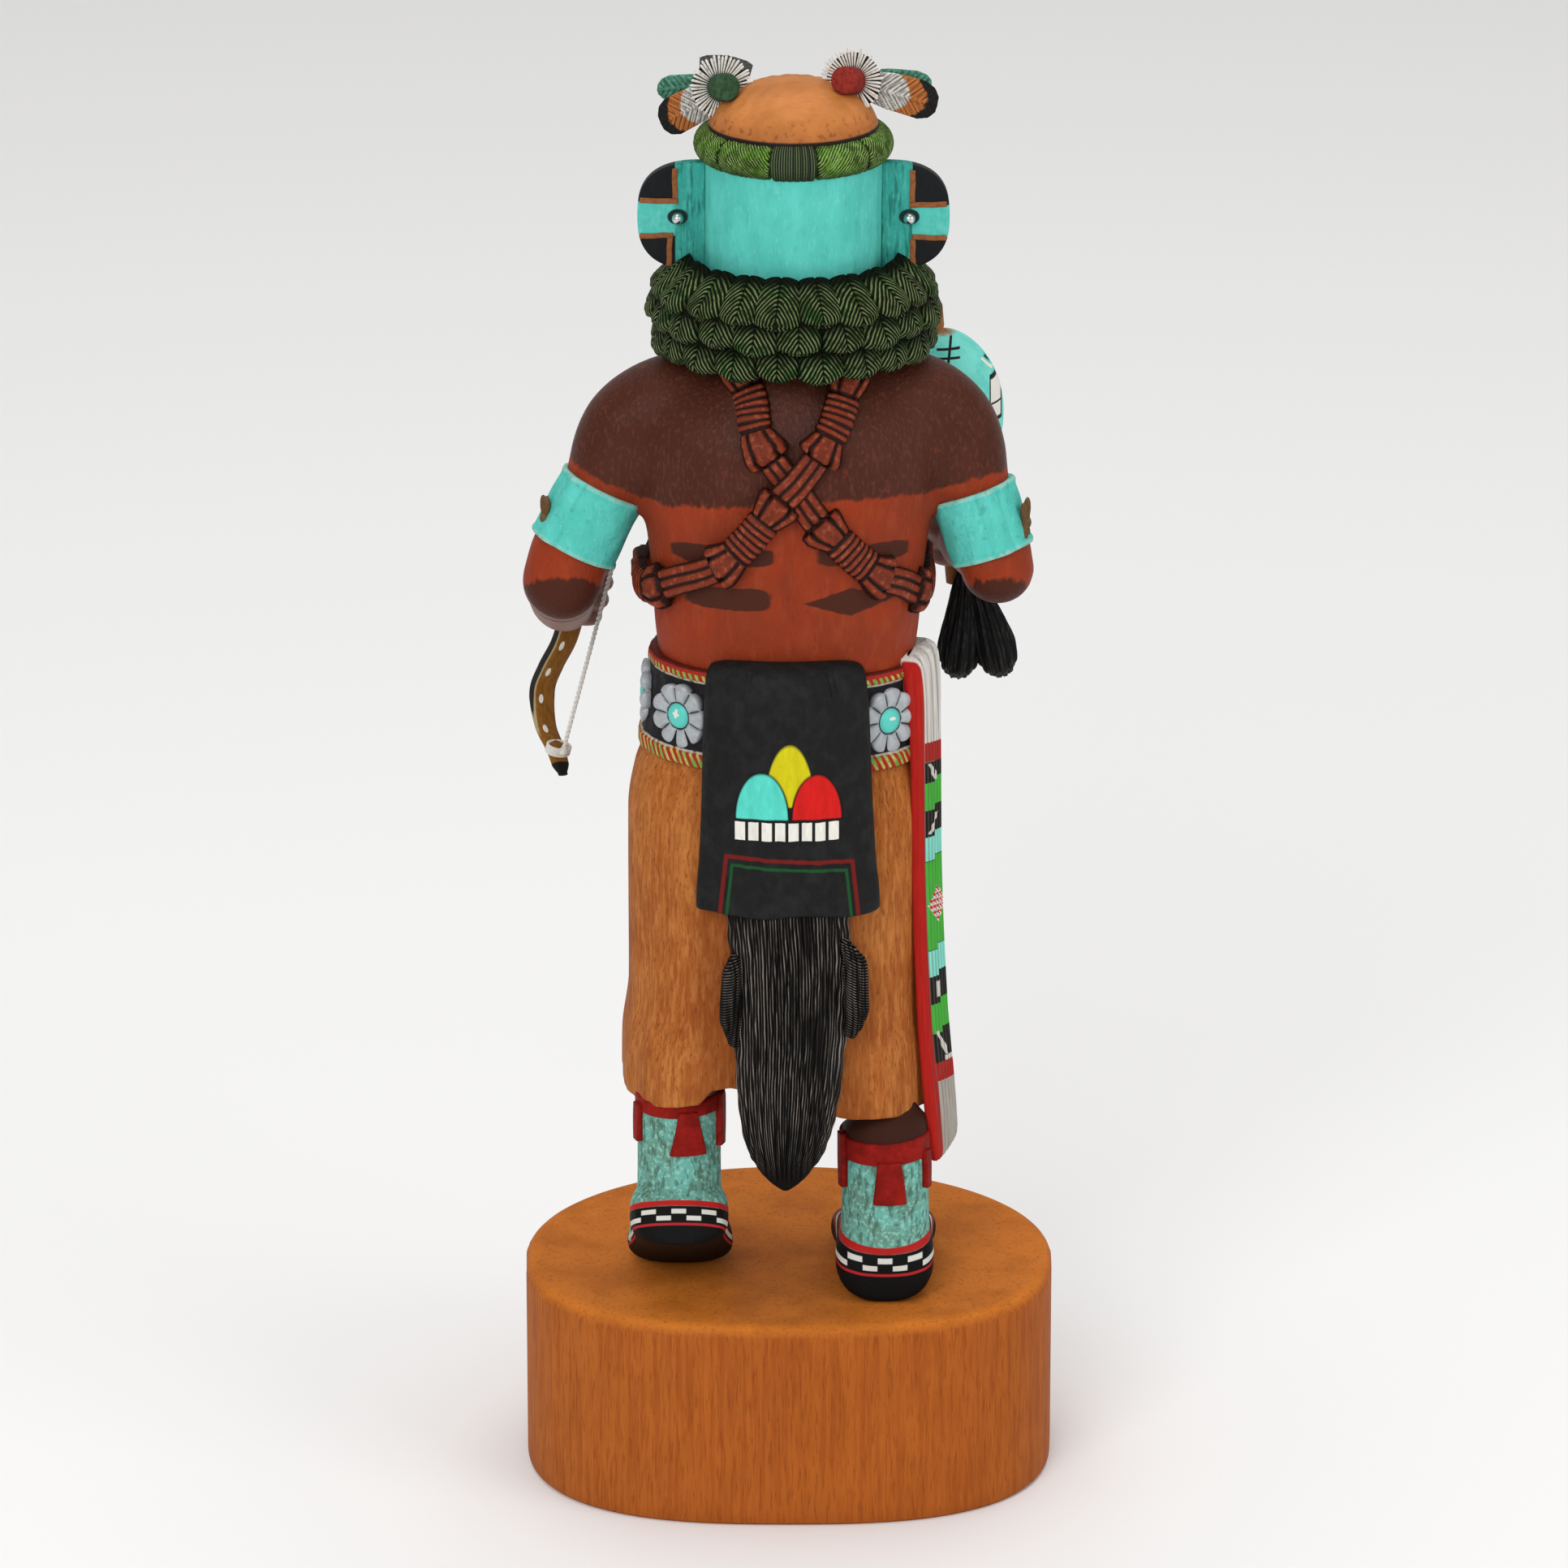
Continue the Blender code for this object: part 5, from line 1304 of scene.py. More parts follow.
for side_name, (top, foot, ridge) in BANDS.items():
    p = mask_paint("armband_turquoise_" + side_name)
    # A pale painted highlight on the band's ridges.
    p.paint_ridge_highlight((0.55, 0.52, 0.45), 0.30, 0.3, 0.5)
    p.coat(p.noise(0.7, 4.0, shift=5.0).over(0.62, 0.1) * 0.5, (0.055, 0.300, 0.260))
    band = mark_hollows(weave("armband_" + side_name, make_armband(top, foot, ridge)))
    dress(band, p.done(roughness=0.66, height=p.noise(1.0, 4.0), depth=0.2))
    turn_to = unit((-1.0 if side_name == "left" else 1.0, -0.38, 0.0))
    middle = (np.array(top[:3]) * 0.55 + np.array(foot[:3]) * 0.45) + turn_to * 9.5
    level = unit(np.cross((0, 0, 1), turn_to))
    ties = tie_parts(middle, level, np.cross(turn_to, level), turn_to)
    tie_paint = Paint("tie_brown_" + side_name, (0.120, 0.062, 0.026))
    tie_paint.coat(tie_paint.noise(0.8).over(0.55, 0.2) * 0.6, (0.150, 0.130, 0.060))
    # Painted shade in the hollows of the knot.
    tie_paint.paint_hollow_shade(DARK_BROWN, 0.2, 0.4)
    knot = remeshed("armband_tie_" + side_name, [grid_data("part", g) for g in ties], 0.22, 1)
    dress(mark_hollows(keep("armband_tie_" + side_name, knot)),
          tie_paint.done(roughness=0.7, height=tie_paint.noise(1.8), depth=0.1))

# %% [markdown]
# ## Bandoliers
#
# Two knotted straps cross on the back and go round to the front. Along its length each strap is a flat
# run of three strands, then a knot that flares out, a tight wrap of cord rings, and a knot again. All of
# that is one woven strip: the section's width and thickness follow the way along it, and grooves are
# pressed in lengthwise for strands and crosswise for rings.

# %% Two knotted straps
STRAP_FRONT = [(100, 150.5), (125, 155.5), (148, 165), (163, 177), (168, 188), (167, 197)]
TOP_STRAP = [(-34, 197.5), (-19.5, 190.5), (-10, 183.6), (-1, 175.4), (6, 169.2), (13, 164.1), (25, 158.3),
             (43, 154.8), (74, 150.5), *STRAP_FRONT]
UNDER_STRAP = [(-34, 197.5), (-16.5, 191.2), (-9.8, 184.5), (-2.6, 178.5), (8.2, 168.4), (16, 164.4),
               (27, 159.2), (39, 155.2), (52, 153.0), (74, 149.5), *STRAP_FRONT]
# (way along in mm, width share, thickness share, strand depth, ring depth, strands)
STRAP_PARTS = [(0.0, 0.96, 1.10, 1.0, 0.0, 4), (0.6, 1.0, 1.15, 0.0, 1.0, 1), (9.0, 1.0, 1.15, 0.0, 1.0, 1),
               (9.6, 0.98, 1.10, 1.0, 0.0, 4), (13.6, 1.40, 1.55, 1.0, 0.0, 4),
               (14.9, 1.36, 1.30, 1.0, 0.0, 4),
               (15.3, 0.84, 0.62, 0.8, 0.0, 3), (28.9, 0.90, 0.62, 0.8, 0.0, 3),
               (29.3, 1.34, 1.30, 1.0, 0.0, 4),
               (30.6, 1.38, 1.55, 1.0, 0.0, 4)]
STRAP_PERIOD = 34.4
STRAP_HALF_WIDTH, STRAP_THICKNESS = 3.5, 1.9


def strap_on_trunk(route, mirror, proud):
    """Points of a strap's middle on the trunk, with the direction out of the trunk."""
    turn, height = np.array([r[0] for r in route], float), np.array([r[1] for r in route], float)
    fine = even_path(np.stack([turn * 0.5, height, turn * 0], 1), 700)
    turn, height = fine[:, 0] * 2, fine[:, 1]
    half_width, half_depth, cx, cy = trunk_row(height)
    angle = np.radians(-90 - mirror * turn)
    x, y = oval(angle, half_width + proud, half_depth + proud, TRUNK_POWER)
    x2, y2 = oval(angle, half_width + proud - 1, half_depth + proud - 1, TRUNK_POWER)
    rise = np.gradient(height)
    slope = np.gradient(half_width) / np.maximum(np.abs(rise), 0.02) * np.sign(rise)
    out = np.stack([x - x2, y - y2, np.clip(-slope, -0.1, 1.2) * 0.6], -1)
    middle = np.stack([cx + x, cy + y, height], -1)
    return middle, unit(out)


def make_strap(route, mirror, proud, shift, stretch):
    """One strap as a woven strip; stretch moves the pattern along it by (way, mm) places."""
    middle, out = strap_on_trunk(route, mirror, proud)
    way = way_along(middle)
    spots = np.arange(0, way[-1], 0.30)
    middle, out = read_off(spots, way, middle), read_off(spots, way, out)
    along, _, _ = path_frames(middle)
    across = unit(np.cross(along, out))
    out = np.cross(across, along)
    angle = full_turn(54)[None, :]
    x, y = oval(angle, 1.0, 1.0, 2.8)
    keys = np.array(STRAP_PARTS, float)
    keys = np.vstack([keys, [STRAP_PERIOD, *keys[0, 1:]]])
    moved = np.interp(spots, *zip(*stretch))
    local = ((spots + shift - moved) % STRAP_PERIOD)[:, None]
    part = np.searchsorted(keys[:, 0], local[:, 0], side="right") - 1
    strands = keys[part, 5][:, None]
    line = np.abs(np.sin((x + 1) / 2 * strands * math.pi))
    lobe = np.where(np.abs(local - 14) < 3, 1.2, np.where(np.abs(local - 30) < 3, -1.2, 0.0))
    lobed = local + lobe * (1 - line) ** 1.5
    wide = np.interp(local, keys[:, 0], keys[:, 1]) * STRAP_HALF_WIDTH
    thick = np.interp(lobed, keys[:, 0], keys[:, 2]) * STRAP_THICKNESS
    stranded = np.interp(local, keys[:, 0], keys[:, 3]) * (strands > 1)
    strand_cut = (1 - line) ** 1.6 * stranded * (np.abs(x) < 0.97)
    ring_line = np.abs(np.sin((local - 0.6) / 1.40 * math.pi))
    ring_cut = (1 - ring_line) ** 1.4 * keys[part, 4][:, None]
    notch = np.zeros_like(local)
    for edge in (0.3, 9.3, 15.2, 29.0):
        notch = notch + np.exp(-((local - edge) / 0.26) ** 2)
    section_x = x * (wide - ring_cut * 0.3 - notch * 0.3)
    depth = np.where(strands > 3, 1.0, 0.5)
    section_y = y * (thick - ring_cut * 0.5 - notch * 0.4) - strand_cut * depth * (y > 0)
    grid = middle[:, None] + across[:, None] * section_x[..., None] + out[:, None] * section_y[..., None]
    dark = np.maximum(np.maximum(strand_cut ** 0.8, ring_cut), notch) + (np.abs(x) > 0.98) * 0.5
    return grid, np.clip(dark, 0, 1)


def strap_paint(name):
    """Reddish brown cord with painted shade in the cuts and painted highlights in scattered spots."""
    p = Paint(name, (0.200, 0.028, 0.009))
    p.coat(p.noise(0.3, 4.0).over(0.52, 0.2) * 0.7, (0.140, 0.024, 0.011))
    # Lighter spots scattered over the cord: painted highlights.
    p.coat(p.noise(0.9, 3.0, shift=4.0).over(0.58, 0.1) * 0.6, (0.330, 0.085, 0.038))
    # Near black in the cuts: painted shade.
    p.coat(p.stored("cut").over(0.30, 0.45) * 0.97, (0.012, 0.003, 0.002))
    return p.done(roughness=0.45, height=p.noise(1.6, 4.0), depth=0.2, gloss=0.12)


STRAPS = {
    "under": (UNDER_STRAP, -1, 0.5, -2.2, ((16, 2.8), (30, 5.6), (56, 5.6), (70, 0))),
    "top": (TOP_STRAP, 1, 1.9, -2.2, ((18, 4.0), (30, 0))),
}
for strap_name, strap_way in STRAPS.items():
    strap_points, strap_cuts = make_strap(*strap_way)
    strap = store(weave("bandolier_" + strap_name, strap_points), "cut", strap_cuts)
    dress(strap, strap_paint("strap_brown_" + strap_name))

# %% [markdown]
# ## Belt and conchos
#
# The belt is a black leather band with a coloured edging along its top and its foot. The plates on it are
# silver discs with petals and a turquoise stone. The belt follows the body's oval, so its own UV, in
# millimetres round and up, carries the slanting strokes of the edging. The plates are set out along it.

# %% Belt
BELT_ROLL = 0.025
SKIRT_POWER = 2.1
BELT_ROWS = [
    (135.0, 24.0, 17.4, -0.6, -6.0), (134.9, 27.0, 20.2, -0.8, -6.0), (134.5, 27.6, 20.7, -0.8, -6.0),
    (132.8, 27.8, 20.9, -0.8, -6.0), (132.5, 27.4, 20.5, -0.8, -6.0), (132.0, 27.4, 20.5, -0.8, -6.0),
    (118.2, 28.8, 21.8, -1.2, -6.0), (117.8, 29.0, 22.0, -1.2, -6.0), (117.4, 29.5, 22.5, -1.2, -6.0),
    (115.2, 29.6, 22.6, -1.2, -6.0), (114.8, 29.2, 22.2, -1.2, -6.0), (114.6, 27.0, 20.0, -1.2, -6.0),
]


def belt_grid():
    """The belt's skin with its UV."""
    rows = flow(BELT_ROWS, 56)
    cols = 320
    angle = -math.pi / 2 + full_turn(cols)
    x, y = oval(angle[None, :], rows[:, 1:2], rows[:, 2:3], SKIRT_POWER)
    z = rows[:, :1] - BELT_ROLL * x
    dent = 0.10 * np.sin(angle * 17 + 1) * np.sin(z * 0.5) + 0.07 * np.sin(angle * 31 + z * 0.3)
    out = unit(np.stack([x, y, np.zeros_like(x)], -1))
    grid = np.stack([x + rows[:, 3:4], y + rows[:, 4:5], z], -1) + out * dent[..., None]
    middle = grid[len(rows) // 2]
    way = way_along(np.vstack([middle, middle[:1]]))
    u = np.tile(way, (len(rows), 1))
    v = np.tile(rows[:, :1], (1, cols + 1))
    return grid, (u, v)


def belt_paint():
    """Black leather between red edgings with yellow, green and white strokes."""
    p = Paint("belt_black", (0.014, 0.014, 0.016))
    u, v = p.along_and_across()
    edging = v.over(132.3, 0.2) | v.under(118.0, 0.2)
    p.coat(p.noise(0.6, 4.0).over(0.58, 0.15) * 0.5, (0.035, 0.033, 0.033))
    p.coat(edging, (0.330, 0.026, 0.018))
    slant = (u + v * 0.5).repeat(1.55)
    low_half = v.under(133.8, 0.3)
    p.coat(edging & low_half & slant.between(0.15, 0.75, 0.2), (0.480, 0.430, 0.110))
    green = slant.between(0.15, 0.95, 0.2) & p.noise(0.3, 2.0, shift=8.0).over(0.5, 0.1)
    p.coat(edging & low_half & green, (0.150, 0.330, 0.050))
    p.coat(v.over(134.6, 0.2), (0.110, 0.016, 0.010))
    white = v.between(132.1, 132.5, 0.15) | v.between(117.7, 118.1, 0.15)
    p.coat((white & p.noise(0.8, 2.0, shift=3.0).over(0.42, 0.1)) * 0.7, (0.500, 0.490, 0.450))
    p.mottle(p.noise(0.8, 4.0, shift=2.0), 0.75, 1.2)
    return p.done(roughness=0.5, height=p.noise(1.2, 4.0), depth=0.2)


belt_points, belt_uv = belt_grid()
dress(weave("belt", belt_points, uv=belt_uv), belt_paint())

CONCHO_RADIUS, CONCHO_PETALS, CONCHO_BACK = 6.8, 9, -1.3
CONCHO_TURNS = (-48, -92, -120, -150, 180, 150, 118, 84, 48)


def concho_shape():
    """A dished plate with rounded petals and a stone in its middle."""
    angle = full_turn(144)
    lobe = np.abs(np.cos(angle * CONCHO_PETALS / 2))
    rim = CONCHO_RADIUS * (0.84 + 0.16 * lobe ** 0.5)
    rings = []
    for share in (0.985, 1.0, 0.97, 0.90, 0.80, 0.68, 0.56, 0.46, 0.40, 0.36, 0.32, 0.27, 0.20, 0.10):
        slit = (1 - lobe) ** 3.0 * smooth_step(0.42, 0.62, share) * 0.7
        petal = 0.55 * lobe * np.sin(np.clip((share - 0.4) / 0.6, 0, 1) * math.pi * 0.92)
        dish = 0.35 + 0.25 * share
        stone = 0.9 * math.sqrt(max(0.0, 1 - (share / 0.37) ** 2)) if share < 0.37 else 0.0
        ring_height = dish + petal - slit - (0.35 if 0.37 < share < 0.44 else 0.0) + stone
        if share == 0.985:
            ring_height = CONCHO_BACK
        if share == 1.0:
            ring_height = ring_height * 0.5
        radius = (rim if share > 0.5 else CONCHO_RADIUS) * share
        spots = (radius * np.cos(angle), radius * np.sin(angle), ring_height)
        rings.append(np.stack(np.broadcast_arrays(*spots), -1))
    return small_shape("concho", np.array(rings))


def belt_spot(turn):
    """Place and directions on the belt, turn counted from the back."""
    half_width, half_depth, cx, cy = 28.1, 21.15, -1.0, -6.0
    angle = math.radians(-90 + turn)
    x, y = oval(np.array(angle), half_width, half_depth, SKIRT_POWER)
    out = unit((x / half_width ** 2, y / half_depth ** 2, 0.0))
    spot = np.array((cx + x, cy + y, 124.6 - BELT_ROLL * x))
    return spot, out


def concho_places():
    """All plates, standing upright on the belt."""
    places = []
    for turn in CONCHO_TURNS:
        spot, out = belt_spot(turn)
        side = np.array((-out[1], out[0], 0.0))
        places.append((spot, (side, np.array((0, 0, 1.0)), out), 1.0))
    return places


def concho_paint():
    """Grey silver paint, painted shade in the slits and a turquoise stone with a white glint."""
    p = Paint("concho_silver", (0.400, 0.425, 0.445))
    p.coat(p.noise(0.5, 4.0).over(0.55, 0.2) * 0.5, (0.290, 0.310, 0.325))
    p.coat(p.noise(1.5, 4.0, shift=4.0).over(0.60, 0.1) * 0.4, (0.520, 0.530, 0.530))
    # Painted shade in the slits.
    p.paint_hollow_shade((0.030, 0.032, 0.034), 0.05, 0.4, 0.9)
    p.coat(p.stored("stone").over(0.5, 0.2), TURQUOISE_LIGHT)
    p.coat(p.stored("glint").over(0.5, 0.2), BONE_WHITE)
    return p.done(roughness=0.42, height=p.noise(1.5, 3.0), depth=0.1, metallic=0.15)


def mark_round(thing, name, centres, radius):
    """Store 1 on the points near any of the centres."""
    points = coordinates(thing.data)
    near = np.min(np.linalg.norm(points[:, None] - in_metres(centres)[None], axis=2), axis=1) * 1000
    write_numbers(thing.data, name, (near < radius).astype(float))


plates = concho_places()
silver = concho_paint()
conchos = mark_hollows(set_out("conchos", concho_shape(), plates, silver, 0.02, 3), 0)
mark_round(conchos, "stone", [place for place, _, _ in plates], CONCHO_RADIUS * 0.40)
mark_round(conchos, "glint", [place + axes[2] * 1.5 + (0.1, 0, 0.7) for place, axes, _ in plates], 0.75)
dress(conchos, silver)

# %% [markdown]
# ## Kilt
#
# The kilt hangs from the belt in shallow folds that open towards the hem. It is woven from the same ovals
# as the solid, with finer folds, a few carved V cuts and a thick hem, and it is closed inside by a
# dark recess, where the legs come out.

# %% The kilt
KILT_TOP, KILT_HEM = 114.6, 41.0
LEFT_LEG_TURN, KILT_OVER_LEG = 3.88, 1.7
KILT_ROWS = [
    (116.0, 27.2, 20.4, -1.4, -6.0), (114.6, 28.2, 21.4, -1.4, -6.0), (110.0, 29.8, 22.7, -1.7, -6.0),
    (100.0, 31.1, 24.0, -2.0, -6.0), (62.0, 31.4, 24.9, -2.1, -6.0), (50.0, 32.8, 25.8, -2.1, -6.0),
    (41.6, 33.0, 26.0, -2.0, -6.0), (41.0, 32.7, 25.7, -2.0, -6.0), (40.6, 31.2, 24.4, -2.0, -6.0),
]
KILT_CUTS = [(20.2, 113.4, 105.0, 0.6), (20.8, 113.4, 106.0, 1.6)]
KILT_BACK_HEM = [(-36, 41.2), (-30.4, 41.2), (-24.6, 42.3), (-18.4, 43.9), (-15.8, 47.0), (-12, 47.5),
                 (0, 44.5),
                 (10.4, 41.3), (16.8, 40.0), (26.2, 38.4), (32, 38.2)]


def kilt_grid():
    """The kilt's skin with its UV, hem and recess."""
    rows = flow(KILT_ROWS, 100)
    cols = 320
    angle = -math.pi / 2 + full_turn(cols)
    opened = np.clip((KILT_TOP - rows[:, :1]) / (KILT_TOP - KILT_HEM), 0, 1)
    fold = opened * (0.7 * np.sin(5 * angle + 0.6) + 0.45 * np.sin(9 * angle + 2.0))
    crease = 0.12 * np.sin(23 * angle + 1.0 + opened * 2) + 0.06 * np.sin(41 * angle + opened * 3)
    over_leg = np.exp(-((angle - LEFT_LEG_TURN) / 0.24) ** 2)
    fold = fold + opened * crease + KILT_OVER_LEG * smooth_step(64, 48, rows[:, :1]) * over_leg
    x, y = oval(angle[None, :], rows[:, 1:2] + fold, rows[:, 2:3] + fold, SKIRT_POWER)
    level = rows[:, :1] - BELT_ROLL * x
    lowest = KILT_HEM - 0.4 - BELT_ROLL * x
    behind = smooth_step(-2, -12, y + rows[:, 4:5])
    wanted = np.interp(x + rows[:, 3:4], *zip(*KILT_BACK_HEM)) + 0.2 * np.sin(13 * angle)
    sideways = 1.6 * np.sin(2 * angle + 0.7)
    z = level + smooth_step(56, 42, rows[:, :1]) * ((wanted - lowest) * behind + sideways * (1 - behind))
    out = unit(np.stack([x / 33 ** 2, y / 26 ** 2, np.zeros_like(x)], -1))
    grid = np.stack([x + rows[:, 3:4], y + rows[:, 4:5], z], -1)
    press = np.zeros_like(x)
    for cut_x, high, low, lean in KILT_CUTS:
        share = np.clip((high - z) / (high - low), 0, 1)
        at = cut_x + lean * share
        inside = smooth_step(high, high - 2, z) * smooth_step(low - 2, low + 2, z)
        press += 0.9 * np.exp(-((x - at) / 0.30) ** 2) * inside * (y < 0)
    grid = grid - out * press[..., None]
    last = grid[-1]
    centre = last.mean(axis=0)
    recess = [last + (centre - last) * 0.05 + (0, 0, 0.6), last + (centre - last) * 0.10 + (0, 0, 4.5),
              last + (centre - last) * 0.5 + (0, 0, 6.5)]
    grid = np.concatenate([grid, np.array(recess)])
    middle = grid[len(rows) // 2]
    way = way_along(np.vstack([middle, middle[:1]]))
    count = len(grid)
    u = np.tile(way, (count, 1))
    down = way_along(grid[:, 0])
    v = np.tile(down[:, None], (1, cols + 1))
    return grid, (u, v)


def kilt_paint():
    """Orange tan cloth: short dark upright strokes, cloudy tone, and painted shade behind the flap and pelt.
    """
    p = Paint("kilt_tan", (0.400, 0.125, 0.026))
    grain = p.noise(1.5, 5.0, (1, 1, 0.14))
    p.coat(p.noise(0.07, 4.0, (1, 1, 0.6)).over(0.48, 0.25) * 0.75, (0.310, 0.080, 0.016))
    p.coat(p.noise(0.11, 3.0, (1, 1, 0.4), shift=4.0).over(0.54, 0.2) * 0.6, (0.500, 0.185, 0.045))
    p.coat(grain.over(0.52, 0.14) * 0.5, (0.230, 0.056, 0.012))
    p.coat(p.noise(1.0, 4.0, (1, 1, 0.18), shift=6.0).over(0.56, 0.12) * 0.45, (0.540, 0.215, 0.058))
    p.coat(p.noise(2.4, 3.0, (1, 1, 0.25), shift=3.0).over(0.62, 0.06) * 0.55, (0.110, 0.028, 0.008))
    # Darker across the back's middle, where the flap and pelt hang over it: painted shade.
    p.coat((p.x.between(-18.5, 16.5, 3.5) & p.y.under(-20, 2)) * 0.45, (0.200, 0.046, 0.010))
    # Painted shade in the folds and cuts.
    p.paint_hollow_shade((0.030, 0.008, 0.003), 0.30, 0.3, 0.9)
    return p.done(roughness=0.6, height=grain, depth=0.25)


kilt_points, kilt_uv = kilt_grid()
dress(mark_hollows(weave("kilt", kilt_points, uv=kilt_uv), 1), kilt_paint())

# %% [markdown]
# ## Back flap and pelt
#
# A black cloth flap hangs over the belt at the back. It is painted with three domes in yellow, turquoise
# and red over a row of white blocks, and with a framed border near its foot. Under it hangs a fox pelt with
# two paws. Both are bent slabs. The motif is made of masks, and the fur of fine grooves that run down the
# pelt.

# %% The flap
FLAP = [
    (138.2, 10.5, 0.9, -0.7, -26.4), (137.9, 12.6, 2.0, -0.7, -26.6), (137.2, 14.8, 3.0, -0.7, -27.0),
    (136.0, 15.8, 3.6, -0.6, -27.6), (133.4, 16.3, 3.8, -0.6, -28.4),
    (126.0, 16.8, 3.8, -0.5, -29.6), (110.0, 17.3, 3.4, -0.4, -31.6), (98.0, 17.9, 3.2, -0.3, -33.4),
    (89.4, 18.6, 2.6, -0.2, -35.3), (88.0, 18.6, 2.3, -0.2, -35.7), (87.5, 18.2, 1.7, -0.2, -35.8),
]
FLAP_BEND = 0.0135
FLAP_FOLDS = [(-7.9, 138.2, 133.6, -1.2), (-7.1, 138.2, 134.0, -1.2), (7.5, 138.2, 131.5, 1.3),
              (8.4, 138.2, 132.5, 1.4)]


def hanging(rows, bend, turn, power, steps, count):
    """A slab of rounded rectangles, bent round the body behind it; also how far across each point lies."""
    rows = flow(rows, steps)
    points, across = [], []
    for height, half_width, half_thickness, cx, cy in rows:
        x, y = even_oval(count, half_width, half_thickness, power)
        y = y + bend * x * x
        points.append(np.stack([cx + x * math.cos(turn) - y * math.sin(turn),
                                cy + x * math.sin(turn) + y * math.cos(turn), np.full(count, height)], -1))
        across.append(x)
    return np.array(points), np.array(across)


def make_flap():
    """The flap with carved folds at the top and a slightly wavy foot."""
    grid, across = hanging(FLAP, FLAP_BEND, 0.0, 4.0, 84, 190)
    x, y, z = grid[..., 0], grid[..., 1], grid[..., 2]
    outer = y < (FLAP_BEND * across ** 2 - 30)
    press = np.zeros_like(x)
    for cut_x, high, low, lean in FLAP_FOLDS:
        share = np.clip((high - z) / (high - low), 0, 1)
        inside = smooth_step(low - 0.5, low + 3, z)
        press += 0.6 * np.exp(-((x - cut_x - lean * share) / 0.26) ** 2) * inside
    press += 0.12 * np.sin(x * 0.7 + 1) * smooth_step(120, 95, z) + 0.10 * np.sin(x * 1.3 + z * 0.1)
    grid[..., 1] = y + press * outer
    grid[..., 2] = z + 0.35 * np.sin(x * 0.33 + 0.5) * smooth_step(96, 89, z)
    return grid


def dome(p, centre, base, half_width, height):
    """Mask of a dome that stands on a level line."""
    away = (p.x - centre) * (1 / half_width)
    up = (p.z - base) * (1 / height)
    return (away * away + up * up).under(1.0) & p.z.over(base, 0.3)


def flap_paint():
    """Black with the painted motif."""
    p = Paint("flap_black", (0.012, 0.0125, 0.012))
    brush = p.noise(1.1, 4.0, (1, 1, 0.3))
    p.coat(p.noise(0.3, 4.0).over(0.56, 0.2) * 0.5, (0.022, 0.024, 0.023))
    back = p.y.under(-28, 0.5)
    waver = p.noise(0.5, 2.0, shift=3.0) * 0.5
    level = p.z + waver
    p.coat(dome(p, 0.15, 110.4, 4.9, 12.6) & back, YELLOW)
    side_domes = ((-5.45, 5.2, 9.3, (0.090, 0.590, 0.490)), (5.65, 4.9, 9.0, (0.560, 0.014, 0.012)))
    for place, wide, tall, colour in side_domes:
        p.coat(dome(p, place, 107.4, wide + 0.45, tall + 0.8) & back, (0.008, 0.008, 0.008))
        p.coat(dome(p, place, 107.8, wide, tall) & back, colour)
    blocks = (p.x + 10.9).repeat(2.70).under(2.05, 0.12) & p.x.between(-10.95, 10.6, 0.12)
    p.coat(blocks & level.between(103.7, 107.4, 0.12) & back, (0.720, 0.700, 0.640))
    top = level + p.x * 0.045 + 0.8
    red_frame = top.between(99.9, 100.7, 0.2) & p.x.between(-12.6, 13.0, 0.2)
    side = p.x.size() + (level * 0.11)
    red_side = side.between(23.3, 24.1, 0.2) & top.under(100.7, 0.2)
    p.coat((red_frame | red_side) & back, (0.150, 0.012, 0.010))
    green_frame = top.between(98.3, 98.9, 0.2) & p.x.between(-11.5, 11.8, 0.2)
    green_side = side.between(22.0, 22.6, 0.2) & top.under(98.9, 0.2)
    p.coat((green_frame | green_side) & back, (0.012, 0.070, 0.022))
    p.shade(brush.sum_with("MULTIPLY_ADD", 0.5, 0.76))
    # Painted shade in the carved folds.
    p.paint_hollow_shade((0.006, 0.006, 0.006), 0.15, 0.3, 0.8)
    return p.done(roughness=0.5, height=brush, depth=0.2)


dress(mark_hollows(weave("back_flap", make_flap()), 1), flap_paint())

# %% The pelt
PELT = [
    (98.0, 10.5, 2.6, -0.4, -32.6), (88.0, 12.4, 3.7, -0.3, -33.3), (76.0, 12.0, 4.7, 0.2, -33.9),
    (64.0, 11.6, 5.1, 0.4, -34.7), (52.0, 10.9, 5.1, 0.0, -35.5), (43.0, 9.7, 4.4, -0.3, -36.3),
    (37.0, 8.0, 3.4, -0.5, -36.8), (32.0, 4.8, 2.2, -0.7, -37.0), (29.6, 2.2, 1.2, -0.7, -37.2),
    (28.6, 0.7, 0.5, -0.7, -37.2),
]
PELT_BEND = 0.02


def fur_ripple(x, z, seed):
    """Height of matted fur: fine strands that run nearly straight down."""
    wander = 0.35 * np.sin(z * 0.21 + x * 0.35 + seed) + 0.25 * np.sin(z * 0.11 - x * 0.6)
    one = np.sin((x + wander) * 5.6 + seed)
    two = np.sin((x + wander * 1.4) * 3.1 + 1.2 * np.sin(z * 0.23 + seed))
    return 0.16 * one + 0.20 * two


